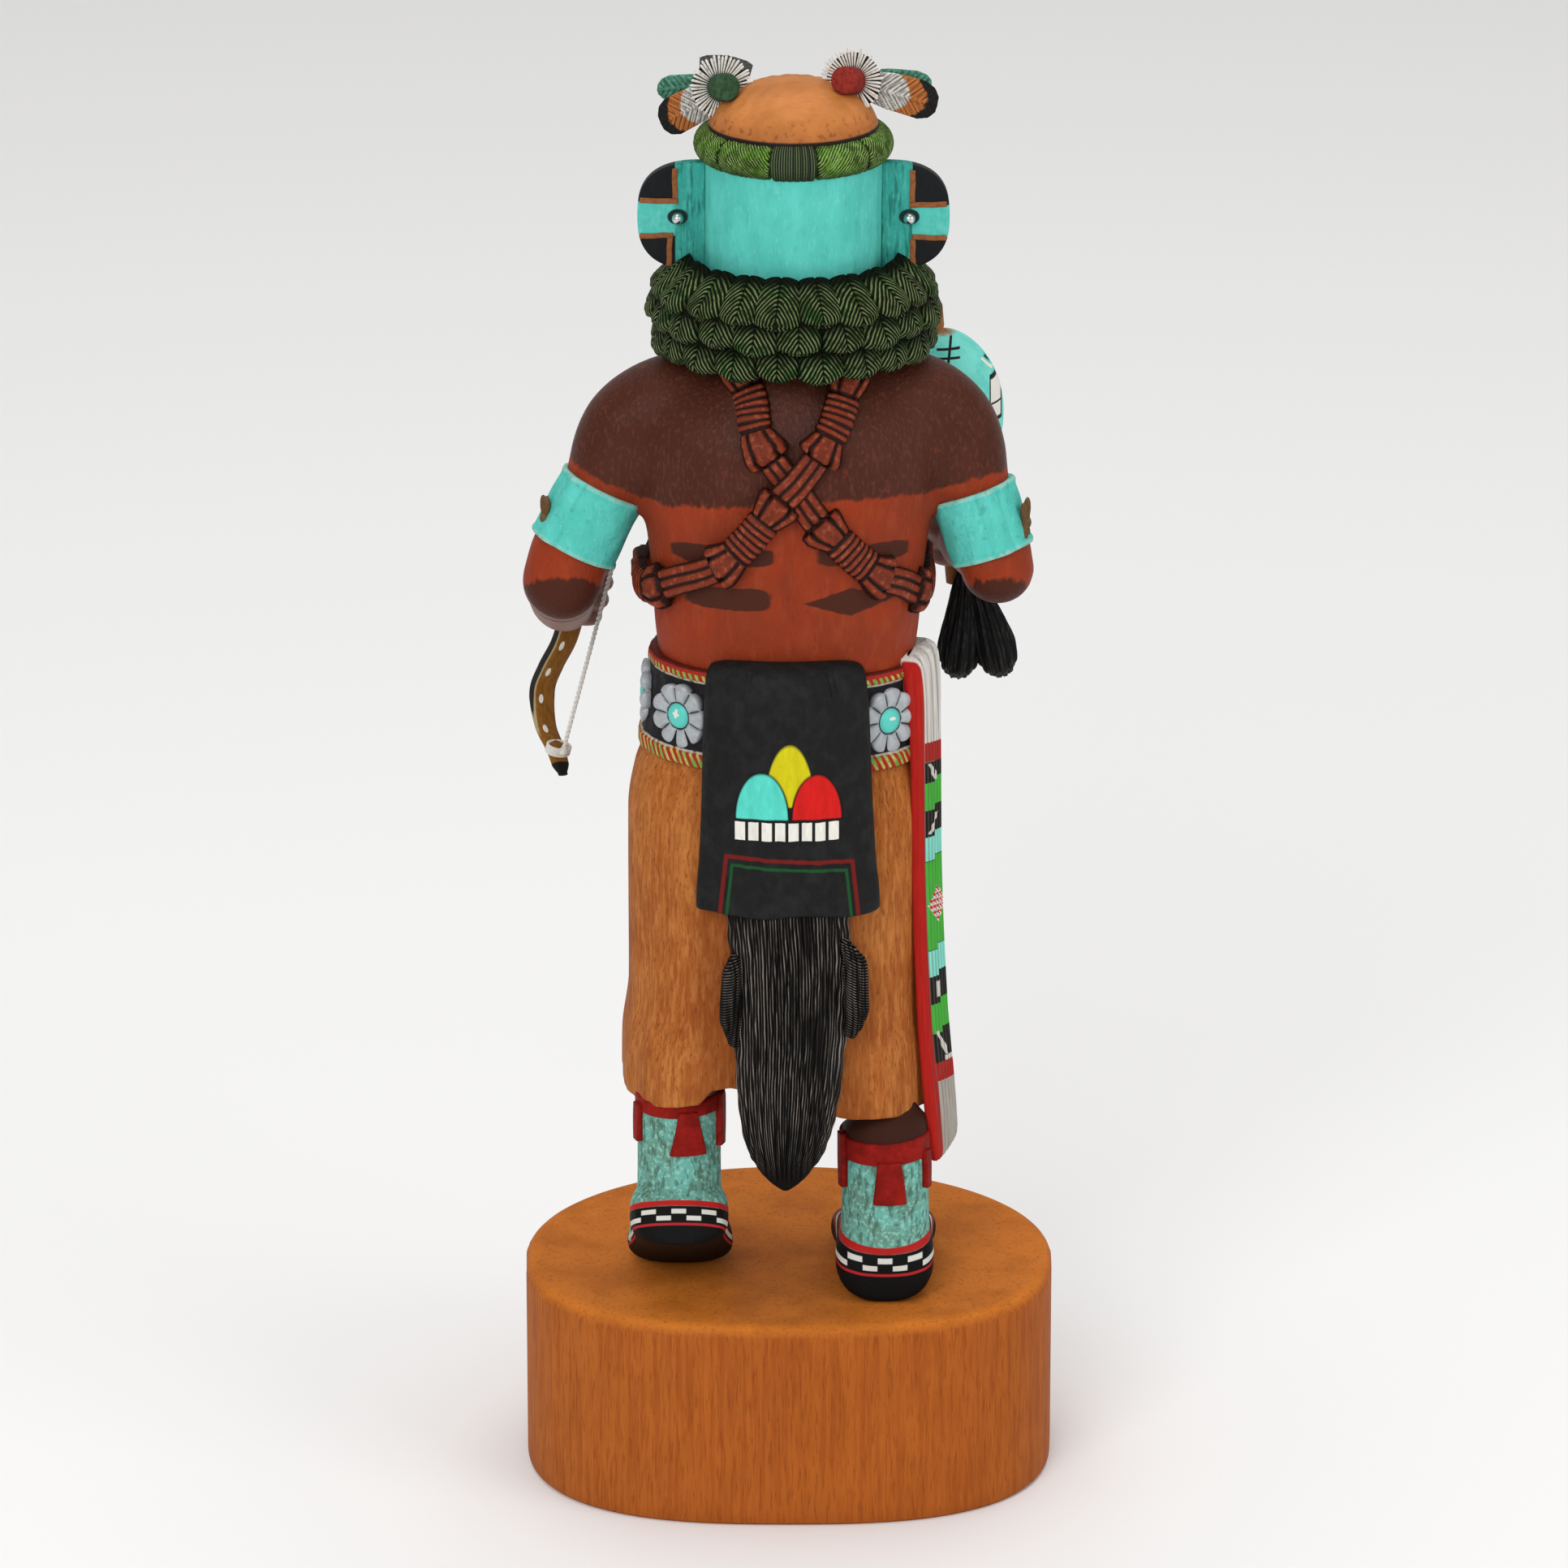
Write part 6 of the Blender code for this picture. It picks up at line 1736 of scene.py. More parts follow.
def make_pelt():
    """The pelt and its two paws, fur pressed in."""
    grid, across = hanging(PELT, PELT_BEND, 0.0, 2.3, 120, 220)
    x, y, z = grid[..., 0], grid[..., 1], grid[..., 2]
    centre = np.stack([np.full_like(x, -0.2), np.full_like(y, -33.0), z], -1)
    out = unit(grid - centre)
    ripple = fur_ripple(x, z, 0.4) * 0.45
    fringe = 0.15 * np.sin(z * 1.1 + across) * smooth_step(8, 12, np.abs(across))
    press = (ripple + fringe) * smooth_step(29.5, 34, z)
    parts = [grid_data("pelt", grid + out * press[..., None])]
    combed = across / np.abs(across).max(axis=1, keepdims=True) * 12.0
    combs = [np.append(combed.ravel(), (0, 0))]
    for side, reach, lower in ((-1, 0.0, 4.5), (1, 2.2, 2.5)):
        paw = [(side * 10.0 + reach * 0.6, -33.2, 83 - lower, 1.3),
               (side * 11.2 + reach, -33.6, 78 - lower, 2.4),
               (side * 11.5 + reach, -33.8, 69.5 - lower, 2.5),
               (side * 10.9 + reach * 0.8, -34.1, 64.5 - lower, 1.5)]
        limb = bar(paw, 60, 70)
        middle = limb.mean(axis=1, keepdims=True)
        out = unit(limb - middle)
        press = fur_ripple(limb[..., 0] + limb[..., 1] * 0.7, limb[..., 2], 2.0 + side) * 0.7
        parts.append(grid_data("paw", limb + out * press[..., None]))
        combs.append(np.append((limb[..., 2] * 1.1 + limb[..., 0] * 0.45 * side).ravel(), (0, 0)))
    return store(keep("pelt", joined("pelt", parts)), "comb", np.concatenate(combs))


def pelt_paint():
    """Black fur with long, fine hair lines along the comb of the pelt, grey brown partly as painted
    highlight.
    """
    p = Paint("pelt_fur", (0.006, 0.006, 0.006))
    wander = p.noise(0.16, 3.0, (1, 1, 0.35), shift=5.0) * 1.3
    hairs = (p.stored("comb") + wander).wave(0.62)
    lit = p.noise(0.22, 4.0, (1, 1, 0.3)).over(0.44, 0.18)
    broken = p.noise(1.1, 4.0, (1, 1, 0.10), shift=2.0).over(0.44, 0.16)
    p.coat(hairs.over(0.15, 0.7) * 0.9, (0.030, 0.024, 0.021))
    # Grey brown hair lines only in the lit patches and above the tip: partly the hair's colour, partly
    # painted highlight.
    p.coat((hairs.over(0.45, 0.4) & broken & lit & p.z.over(36.0, 10.0)) * 0.9, (0.260, 0.222, 0.196))
    # Painted shade in the hollows of the fur.
    p.paint_hollow_shade((0.002, 0.002, 0.002), 0.10, 0.3, 0.8)
    return p.done(roughness=0.5, height=hairs, depth=0.3)


dress(mark_hollows(make_pelt(), 0), pelt_paint())

# %% [markdown]
# ## Side sash
#
# A white cotton sash is tucked in the belt on the right side and hangs nearly to the shoe. Its edge is
# bound in red, and its face is woven in stepped bands of green, black, white and light blue above a fringe.
# The face is turned outward, so the bands are masks on height that slant a little across the cloth.

# %% The sash
SASH = [
    (136.4, 5.6, 1.2, 25.6, -9.4), (135.6, 7.2, 2.0, 26.2, -9.6), (133.6, 8.2, 2.2, 26.8, -9.8),
    (118.0, 8.8, 1.7, 28.0, -9.8), (86.0, 9.2, 1.5, 28.6, -9.8), (58.0, 9.4, 1.5, 29.8, -9.8),
    (48.0, 9.5, 1.5, 30.6, -9.8), (41.0, 9.5, 1.5, 31.2, -9.8), (30.0, 9.3, 1.4, 32.1, -9.8),
    (28.0, 9.0, 1.2, 32.2, -9.8), (27.2, 8.0, 0.7, 32.2, -9.8),
]
SASH_TURN = math.radians(76)


def make_sash():
    """The sash, gathered at the belt and grooved along its fringe."""
    grid, across = hanging(SASH, 0.004, SASH_TURN, 4.5, 120, 120)
    z = grid[..., 2]
    outward = np.array((math.sin(SASH_TURN), -math.cos(SASH_TURN), 0))
    side = np.sign(((grid - grid.mean(axis=1, keepdims=True)) * outward).sum(axis=-1))
    gathers = 0.35 * np.sin(across * 1.5) * smooth_step(112, 134, z) + 0.15 * np.sin(across * 2.6 + z * 0.05)
    threads = 0.45 * (np.abs(np.sin(across * 2.6)) - 0.6) * smooth_step(46, 44, z)
    edge = smooth_step(7.0, 8.6, np.abs(across))
    press = (gathers + threads) * (1 - edge)
    grid = grid + outward * (press * side)[..., None]
    u = np.concatenate([across, across[:, :1]], 1)
    v = np.tile(z[:, :1], (1, u.shape[1]))
    return grid, (u, v)


def sash_paint():
    """White cotton, red binding, stepped bands and a grey white fringe."""
    p = Paint("sash_cotton", (0.660, 0.630, 0.590))
    u, v = p.along_and_across()
    weave_lines = p.noise(1.4, 3.0, (1, 1, 0.12))
    level = v + u * 0.25 + 1.6
    step = level + u.over(0.3, 0.1) * -1.2
    face = (u + v * 0.011).over(-5.9, 0.25)
    green, sky = (0.060, 0.440, 0.045), (0.240, 0.720, 0.600)
    bands = [(109.1, 113.6, SOOT), (103.0, 109.1, green), (97.4, 103.0, SOOT), (92.1, 97.4, sky),
             (72.7, 92.1, green),
             (66.9, 72.7, sky), (61.0, 66.9, SOOT), (54.4, 61.0, green), (48.2, 54.4, SOOT)]
    for low, high, colour in bands:
        p.coat(step.between(low, high, 0.15) & face, colour)
        p.coat(step.between(low - 0.16, low + 0.16, 0.1) & face, SOOT)
    cream = (0.640, 0.620, 0.560)
    p.coat((step + u * 0.9).between(108.6, 110.8, 0.2) & level.between(109.6, 113.2, 0.2) & face, cream)
    p.coat((step - u * 0.6).between(99.4, 101.2, 0.2) & level.between(98.0, 102.4, 0.2) & face, cream)
    lattice = (u - 1.5).size() * 0.5 + (level - 82.6).size()
    net = (u * 0.5 + level).repeat(1.3).under(0.4, 0.15) | (level - u * 0.5).repeat(1.3).under(0.4, 0.15)
    p.coat(lattice.under(4.0, 0.15) & face, POPPY_RED)
    p.coat(lattice.under(4.0, 0.15) & net & face, BONE_WHITE)
    p.coat(u.between(-3.0, 1.0, 0.2) & level.between(62.4, 65.8, 0.2) & face, cream)
    p.coat((step + u * 1.1).between(50.0, 52.4, 0.2) & level.between(49.4, 55.0, 0.2) & face, cream)
    red = (0.400, 0.016, 0.012)
    p.coat((level.between(113.6, 117.8, 0.2) | level.between(44.2, 48.2, 0.2)) & face, red)
    fringe = level.under(44.2, 0.2)
    p.coat(fringe, (0.400, 0.370, 0.330))
    p.coat(face.less(), red)
    p.mottle(weave_lines, 0.80, 1.12)
    # Painted shade in the hollows of the gathers and fringe.
    p.paint_hollow_shade((0.110, 0.090, 0.075), 0.12, 0.3, 0.7)
    return p.done(roughness=0.8, height=weave_lines, depth=0.2)


sash_points, sash_uv = make_sash()
dress(mark_hollows(weave("side_sash", sash_points, uv=sash_uv), 0), sash_paint())

# %% [markdown]
# ## Legs and moccasins
#
# The doll steps forward: the right foot is flat and the left heel is lifted. Each leg and its shoe are
# melted from an upright bar and a loft of rounded sections from heel to toe. The cuff and its hanging tabs
# are thin wraps of their own, because their edges are crisp.

# %% Legs
FOOT_LENGTH, FOOT_BALL, HEEL_LIFT = 44.0, 31.0, math.radians(29)
RIGHT_HEEL, LEFT_BALL = np.array((19.8, -28.4, 0.0)), np.array((-22.6, -6.4, 0.0))
FOOT = [(0.0, 5.5, 9.0), (0.04, 8.8, 12.0), (0.16, 10.2, 15.0), (0.34, 9.9, 16.0), (0.52, 10.2, 13.0),
        (0.70, 11.0, 9.4), (0.85, 10.4, 7.4), (0.95, 7.4, 5.8), (1.0, 3.6, 4.0)]
RIGHT_LEG = [(18.0, -14.0, 62.0, 5.0), (18.8, -16.2, 48.0, 6.4), (19.4, -17.5, 38.0, 7.4),
             (19.7, -17.9, 36.0, 8.8), (19.8, -18.2, 32.0, 8.9), (19.9, -18.4, 20.0, 9.0),
             (19.9, -18.2, 9.0, 9.4)]
LEFT_LEG = [(-20.8, -15.0, 54.0, 5.0), (-21.9, -16.8, 48.0, 7.0), (-22.5, -18.0, 43.0, 8.6),
            (-22.6, -19.0, 28.0, 8.6), (-22.6, -19.6, 18.0, 8.8)]


def shoe_grid(place):
    """A shoe from heel to toe, its sole flat."""
    rows = flow([(share * FOOT_LENGTH, w, h) for share, w, h in FOOT], 60)
    angle = full_turn(72)
    rings = []
    for y, half_width, height in rows:
        x, z = oval(angle, half_width, height / 2, 2.7)
        z = np.maximum(height / 2 + z, 0.0)
        rings.append(place(np.stack([x, np.full_like(x, y), z], -1)))
    return np.array(rings)


def right_place(points):
    """The right foot stands flat."""
    return RIGHT_HEEL + points


def left_place(points):
    """The left foot rests on its ball, heel lifted."""
    y, z = points[:, 1] - FOOT_BALL, points[:, 2]
    lifted = y < 0
    c, s = math.cos(HEEL_LIFT), math.sin(HEEL_LIFT)
    y2 = np.where(lifted, y * c + z * s, y)
    z2 = np.where(lifted, -y * s + z * c, z)
    return LEFT_BALL + np.stack([points[:, 0], y2, z2], -1)


def boot_paint(name, centre, cuff_top, sole):
    """Speckled turquoise over black and white trim; sole is a height field's offset for the lifted heel."""
    p = Paint(name, (0.140, 0.410, 0.350))
    speckle = p.noise(1.1, 4.0)
    p.coat(p.noise(0.16, 4.0).over(0.5, 0.2) * 0.7, (0.120, 0.215, 0.155))
    p.coat(speckle.over(0.56, 0.10) * 0.65, (0.290, 0.610, 0.520))
    p.coat(p.noise(1.0, 4.0, (1, 1, 0.4), shift=7.0).over(0.56, 0.08) * 0.7, (0.060, 0.110, 0.075))
    leg = p.z.over(cuff_top, 0.3)
    p.coat(leg, (0.042, 0.014, 0.009))
    level = sole(p)
    turn = p.x - centre
    p.coat(level.between(10.8, 12.2, 0.2), (0.420, 0.016, 0.014))
    p.coat(level.under(10.8, 0.2), (0.006, 0.006, 0.006))
    if centre < 0:
        spot_y, spot_z = (p.y + 8.2) * 0.55, (p.z - 7.6) * 0.42
        spot = (spot_y * spot_y + spot_z * spot_z).under(1.0, 0.2) & p.x.under(-31.5, 0.3)
        p.coat(spot, (0.100, 0.480, 0.380))
    for low, start in ((9.0, 1.5), (7.4, 4.6)):
        blocks = level.between(low, low + 1.1, 0.15) & (turn + start).repeat(6.2).under(3.0, 0.2)
        p.coat(blocks, (0.600, 0.590, 0.540))
    p.coat(level.between(6.2, 6.8, 0.15), (0.400, 0.020, 0.024))
    # Painted shade in the hollows.
    p.paint_hollow_shade((0.010, 0.012, 0.010), 0.2, 0.4, 0.8)
    return p.done(roughness=0.55, height=speckle * 0.6 + p.noise(0.5, 3.0, (1, 1, 0.4)) * 0.6, depth=0.25)


def right_level(p):
    """Height of the shoe's trim: it dips at the back of the heel."""
    arch = (p.x - float(RIGHT_HEEL[0])) * 0.1
    return p.z + arch * arch * -1.4 + 0.4


def left_level(p):
    """The same, along the lifted shoe: high at the heel and low at the ball."""
    lift = (p.y - float(LEFT_BALL[1])) * math.tan(HEEL_LIFT)
    arch = (p.x - float(LEFT_BALL[0])) * 0.1
    return p.z + lift + arch * arch * 0.6 + 1.6


BOOTS = {
    "right": (RIGHT_LEG, right_place, right_level, 19.8, 34.2),
    "left": (LEFT_LEG, left_place, left_level, -22.6, 44.2),
}
for side_name, (leg, place, level, centre, cuff_top) in BOOTS.items():
    parts = [grid_data("leg", bar(leg, 60, 60, False, False)), grid_data("shoe", shoe_grid(place))]
    boot = mark_hollows(keep("moccasin_" + side_name, remeshed("moccasin_" + side_name, parts, 0.67, 2)), 2)
    dress(boot, boot_paint("moccasin_paint_" + side_name, centre, cuff_top, level))

# %% [markdown]
# ## Cuffs and tabs of the moccasins
#
# A red cuff goes round the top of each moccasin, and three flat tabs hang from it. They are patches bent
# round the leg: a small grid is laid on the leg's cylinder a little way out, so its edges stay crisp.

# %% Patches on the leg


def leg_at(leg, height):
    """Middle and radius of a leg at a height."""
    rows = np.array(sorted(leg, key=lambda row: row[2]))
    return read_off(height, rows[:, 2], rows[:, [0, 1, 3]]).T


def leg_patch(leg, outline, proud, thick):
    """A closed patch on the leg; outline gives (height, first turn, last turn) rows, turns from the back."""
    rows = flow(outline, 26)
    cols = 30
    sheets = []
    for lift in (proud + thick, proud - 0.6):
        share = np.linspace(0, 1, cols)[None, :]
        turn = np.radians(-90 + rows[:, 1:2] + (rows[:, 2:3] - rows[:, 1:2]) * share)
        cx, cy, radius = leg_at(leg, rows[:, 0])[:, :, None]
        edge = np.minimum(share, 1 - share) * cols / 2.0
        round_off = np.clip(edge, 0, 1)
        lifted = radius + (lift if lift < proud else proud + thick * (0.4 + 0.6 * round_off))
        sheets.append(np.stack([cx + lifted * np.cos(turn), cy + lifted * np.sin(turn),
                                rows[:, :1] * np.ones(cols)], -1))
    grid = np.concatenate([sheets[0], sheets[1][:, ::-1]], 1)
    return grid_data("patch", grid)


def cuff_ring(leg, top, foot, proud):
    """A closed ring round the leg with rounded rims."""
    rows = flow([(top, -1.2), (top, 0.2), (top - 0.3, 0.6), (foot + 0.3, 0.6), (foot, 0.2), (foot, -1.2)],
                26)
    angle = full_turn(96)[None, :]
    cx, cy, radius = leg_at(leg, rows[:, 0])[:, :, None]
    dip = 0.5 * np.cos(angle * 2 + 1.2)
    lifted = radius + proud * rows[:, 1:2]
    return grid_data("cuff", np.stack([cx + lifted * np.cos(angle), cy + lifted * np.sin(angle),
                                       rows[:, :1] + dip * 0.4], -1))


CUFFS = {
    "right": (RIGHT_LEG, (34.6, 29.9), 0.9, [
        [(30.6, -10, 20), (26.0, -13, 24), (21.6, -16, 27)],
        [(35.0, -78, -62), (31.0, -78, -60), (23.6, -74, -60)],
        [(31.6, 56, 70), (28.0, 58, 72), (23.6, 58, 70)]]),
    "left": (LEFT_LEG, (43.8, 40.2), 0.9, [
        [(41.5, 0, 24), (37.0, -5, 31), (32.4, -12, 38)],
        [(41.6, -76, -58), (38.0, -78, -60), (33.8, -76, -60)],
        [(44.0, 62, 78), (38.0, 62, 80), (32.8, 62, 78)]]),
}
for side_name, (leg, (top, foot), proud, tabs) in CUFFS.items():
    parts = [cuff_ring(leg, top, foot, proud)] + [leg_patch(leg, outline, 0.3, 0.9) for outline in tabs]
    red = Paint("cuff_red_" + side_name, (0.250, 0.010, 0.007))
    red.coat(red.noise(0.9, 4.0).over(0.56, 0.15) * 0.4, (0.360, 0.016, 0.011))
    red.coat(red.noise(0.3, 3.0, shift=4.0).over(0.52, 0.2) * 0.6, (0.120, 0.006, 0.005))
    dress(keep("cuff_" + side_name, joined("cuff_" + side_name, parts)),
          red.done(roughness=0.5, height=red.noise(1.4), depth=0.12))

# %% [markdown]
# ## Ear tabs and pins
#
# Each ear is a flat wooden tab pinned to the side of the mask. Its back is painted: black quarters at the
# outside, copper strips, a turquoise bar towards the edge and a field next to the mask darkened as painted
# shade, with a silver pin through an almond of black. The tab keeps the solid's outline; the strips are
# thin raised slats.

# %% Tabs
TAB_MIDDLE, TAB_Y, TAB_REACH, TAB_HALF, TAB_HALF_THICK = 225.0, -2.5, 13.5, 11.25, 1.5
PIN_REACH, PIN_RADIUS = 5.4, 1.2


def tab_outline(side):
    """Outline of a tab in x and z: straight at the mask, rounded outside."""
    inner = HEAD_X + side * (MASK_RADIUS - 0.2)
    edge = HEAD_X + side * MASK_RADIUS
    angle = np.linspace(-math.pi / 2, math.pi / 2, 60)
    x, z = oval(angle, TAB_REACH, TAB_HALF, 2.7)
    x = np.concatenate([[inner], edge + side * x, [inner]])
    z = np.concatenate([[-TAB_HALF], z, [TAB_HALF]])
    points = np.stack([x, z], -1)
    way = way_along(points)
    around = read_off(np.linspace(0, way[-1], 100), way, points)
    straight = np.linspace(TAB_HALF, -TAB_HALF, 42)[1:-1]
    return np.concatenate([around, np.stack([np.full(40, inner), straight], -1)])


def make_tab(side):
    """A tab with soft edges, its faces filled with shrinking rings."""
    outline = tab_outline(side)
    middle = outline.mean(axis=0)
    rings = []
    sections = [(-1, 0.02), (-1, 0.2), (-1, 0.4), (-1, 0.6), (-1, 0.8), (-1, 0.92), (-1, 0.972),
                (-0.9, 0.99),
                (-0.7, 1.0), (0.7, 1.0), (0.9, 0.99), (1, 0.972), (1, 0.9), (1, 0.6), (1, 0.2), (1, 0.02)]
    for depth, share in sections:
        spots = middle + (outline - middle) * share
        wave = 0.06 * np.sin(spots[:, 0] * 1.3) * np.sin(spots[:, 1] * 0.9)
        rings.append(np.stack([spots[:, 0], TAB_Y + depth * TAB_HALF_THICK + wave * abs(depth),
                               TAB_MIDDLE + spots[:, 1]], -1))
    return np.array(rings)


def slat(start, end, half_width, y, thick):
    """A thin raised slat between two (x, z) spots."""
    start, end = np.array(start), np.array(end)
    along = unit(end - start)
    across = np.array((-along[1], along[0]))
    rings = []
    for share in np.linspace(0, 1, 18):
        spot = start + (end - start) * share
        w, t = oval(full_turn(20), half_width, thick, 3.5)
        wobble = 0.05 * math.sin(share * 9 + start[0])
        off = w + wobble
        rings.append(np.stack([spot[0] + across[0] * off, y + t, spot[1] + across[1] * off], -1))
    return grid_data("slat", np.array(rings))


TAB_STRIPS = {
    -1: [((-22.8, 228.8), (-22.9, 235.0)), ((-22.2, 228.2), (-29.9, 228.4)),
         ((-23.2, 221.2), (-29.9, 221.0)),
         ((-23.9, 220.6), (-24.1, 214.8))],
    1: [((24.7, 228.0), (24.8, 234.6)), ((24.2, 227.4), (31.6, 227.6)), ((24.6, 220.8), (31.6, 220.6)),
        ((24.8, 220.2), (24.9, 214.6))],
}


def tab_paint(side_name, side):
    """Black quarters, turquoise bar and a streaked field next to the mask, darkened as painted shade."""
    p = Paint("ear_tab_paint_" + side_name, TURQUOISE)
    line_x, top_z, low_z = (-22.8, 228.2, 221.1) if side < 0 else (24.7, 227.4, 220.7)
    outside = (p.x * side).over(line_x * side, 0.15)
    streak = p.noise(1.0, 5.0, (1, 1, 0.12))
    inside, pale = outside.less(), p.noise(1.5, 3.0, (1, 1, 0.2), shift=5.0).over(0.60, 0.08)
    # The field next to the mask is a darker turquoise: painted shade where the tab meets the mask.
    p.coat(inside, (0.042, 0.330, 0.280))
    p.coat((inside & streak.over(0.56, 0.12)) * 0.7, (0.012, 0.110, 0.092))
    p.coat((inside & pale) * 0.6, (0.080, 0.440, 0.370))
    quarters = p.z.over(top_z, 0.15) | p.z.under(low_z, 0.15)
    p.coat(outside & quarters, (0.012, 0.013, 0.014))
    rubbed = quarters.less() & p.noise(0.7, 4.0, shift=3.0).over(0.56, 0.12)
    p.coat((outside & rubbed) * 0.5, (0.150, 0.520, 0.450))
    pin_x = HEAD_X + side * (MASK_RADIUS + PIN_REACH)
    away = (p.x - pin_x) * 0.48
    up = (p.z - TAB_MIDDLE) * 0.62
    p.coat((away * away + up * up).under(1.0, 0.25), (0.015, 0.030, 0.030))
    behind = p.y.under(TAB_Y - TAB_HALF_THICK + 0.35, 0.15)
    p.coat(behind.less() & (outside & quarters), (0.040, 0.042, 0.042))
    front = p.y.over(TAB_Y + TAB_HALF_THICK - 0.3, 0.15)
    p.coat(front, TURQUOISE)
    p.coat(front & p.noise(0.3, 3.0).over(0.52, 0.2), TURQUOISE_LIGHT)
    p.mottle(p.noise(0.9, 4.0, shift=9.0), 0.86, 1.14)
    return p.done(roughness=0.6, height=streak, depth=0.2)


for side_name, side in (("left", -1), ("right", 1)):
    dress(weave("ear_" + side_name, make_tab(side)), tab_paint(side_name, side),
          ("ear_tab_" + side_name,))
    y = TAB_Y - TAB_HALF_THICK
    slats = [slat(a, b, 0.56, y, 0.30) for a, b in TAB_STRIPS[side]]
    copper = Paint("tab_copper_" + side_name, (0.260, 0.095, 0.035))
    copper.coat(copper.noise(1.0, 4.0).over(0.55, 0.15) * 0.6, (0.150, 0.050, 0.022))
    strips = keep("ear_strips_" + side_name, joined("ear_strips_" + side_name, slats))
    dress(strips, copper.done(roughness=0.5, height=copper.noise(1.6), depth=0.1),
          ("ear_tab_" + side_name,))
    spot = np.array((HEAD_X + side * (MASK_RADIUS + PIN_REACH), y - 0.3 - PIN_RADIUS, TAB_MIDDLE))
    head = grid_data("head", ball(spot, (PIN_RADIUS,) * 3, 16, 28))
    shank = grid_data("shank", bar([(*(spot + (0, PIN_RADIUS * 0.9, 0)), 0.5), (*(spot + (0, 3.2, 0)), 0.5)],
                                   8, 16, False, False, (1, 0, 0)))
    steel = Paint("pin_bright", (0.620, 0.630, 0.640))
    pin = keep("pin_" + side_name, joined("pin_" + side_name, [head, shank]))
    steel.coat(steel.noise(2.0).over(0.6, 0.1) * 0.5, (0.400, 0.410, 0.420))
    polish = steel.noise(3.0).sum_with("MULTIPLY_ADD", 0.2, 0.15)
    dress(pin, steel.done(roughness=polish, metallic=1.0), ("ear_pin_" + side_name,))

# %% [markdown]
# ## Feather clusters and pegs
#
# On each side of the crown sits a rosette of thin rays with a peg through it, and carved feathers lie
# outward from it. The rays are one sliver set out on a ring. The feathers are thin boards with a quill down
# the middle and fine barbs pressed in, painted white and grey with an orange band and a black tip.

# %% Rays, feathers and pegs
CLUSTERS = {
    "left": ((-13.7, -1.0, 250.9), (0.20, -0.94, 0.26), [
        ((-13.2, 0.0, 251.0), (-12.4, 5.5, 256.4), 5.4, "grey"),
        ((-13.0, 0.2, 251.0), (-26.2, 4.0, 250.2), 2.6, "green"),
        ((-12.4, -1.0, 250.2), (-25.6, 0.0, 244.3), 4.0, "banded")]),
    "right": ((12.8, -1.0, 252.3), (-0.30, -0.92, 0.25), [
        ((12.9, 0.3, 252.6), (28.4, 4.0, 251.2), 2.4, "green"),
        ((12.3, -0.9, 252.1), (29.6, 0.1, 248.0), 4.0, "banded")]),
}
ROSETTE_RAYS = 46
FEATHER_WIDTHS = ((0, 0.55), (0.2, 0.75), (0.45, 0.95), (0.82, 1.0), (0.94, 0.78), (1.0, 0.40))
FEATHER_GROUNDS = {"banded": (0.520, 0.500, 0.460), "green": (0.070, 0.220, 0.150),
                   "grey": (0.090, 0.090, 0.085)}
ROSETTE_RADIUS, PEG_RADIUS, PEG_LENGTH, FEATHER_HALF_THICK = 6.3, 2.8, 6.3, 0.7


def peg_frame(axis):
    """The peg's direction with two directions square to it."""
    axis = unit(axis)
    side = unit(np.cross((0, 0, 1), axis))
    return axis, side, np.cross(axis, side)


def ray_shape():
    """A sliver of the rosette: x across, y outward, z towards the viewer."""
    rows = [(0.0, 0.11, 0.22), (0.3, 0.18, 0.26), (0.7, 0.26, 0.26), (0.9, 0.27, 0.20), (1.0, 0.13, 0.10)]
    length = ROSETTE_RADIUS - PEG_RADIUS + 0.6
    angle = full_turn(6)
    rings = [np.stack([w * np.cos(angle), np.full(6, share * length), t * np.sin(angle)], -1)
             for share, w, t in rows]
    return small_shape("ray", np.array(rings))


def feather_grid(root, tip, half_width):
    """A carved feather and how far along and across each point lies."""
    root, tip = np.array(root), np.array(tip)
    along = unit(tip - root)
    face = unit(np.array((0, 1, 0)) - along * along[1])
    across = np.cross(along, face)
    length = np.linalg.norm(tip - root)
    share = np.linspace(0, 1, 60)
    width = half_width * np.interp(share, *zip(*FEATHER_WIDTHS))
    thick = FEATHER_HALF_THICK * (1.0 - 0.4 * share)
    angle = full_turn(64)
    rings = []
    for s, w, t in zip(share, width, thick):
        a, b = oval(angle, w, t, 2.2)
        outer = b < 0
        barb = 0.14 * np.abs(np.sin((s * length - np.abs(a) * 0.8) * 2.6)) * outer
        quill = 0.35 * np.exp(-(a / 0.42) ** 2) * outer
        spot = root + along * length * s + np.array((0, 0, -0.9 * s * s))
        rings.append(spot + across * a[:, None] + face * (b - quill - barb)[:, None])
    u = np.append(oval(angle, 1.0, 1.0, 2.2)[0], 1.0) * half_width
    return np.array(rings), (np.tile(u, (60, 1)), np.tile(share[:, None], (1, 65)))


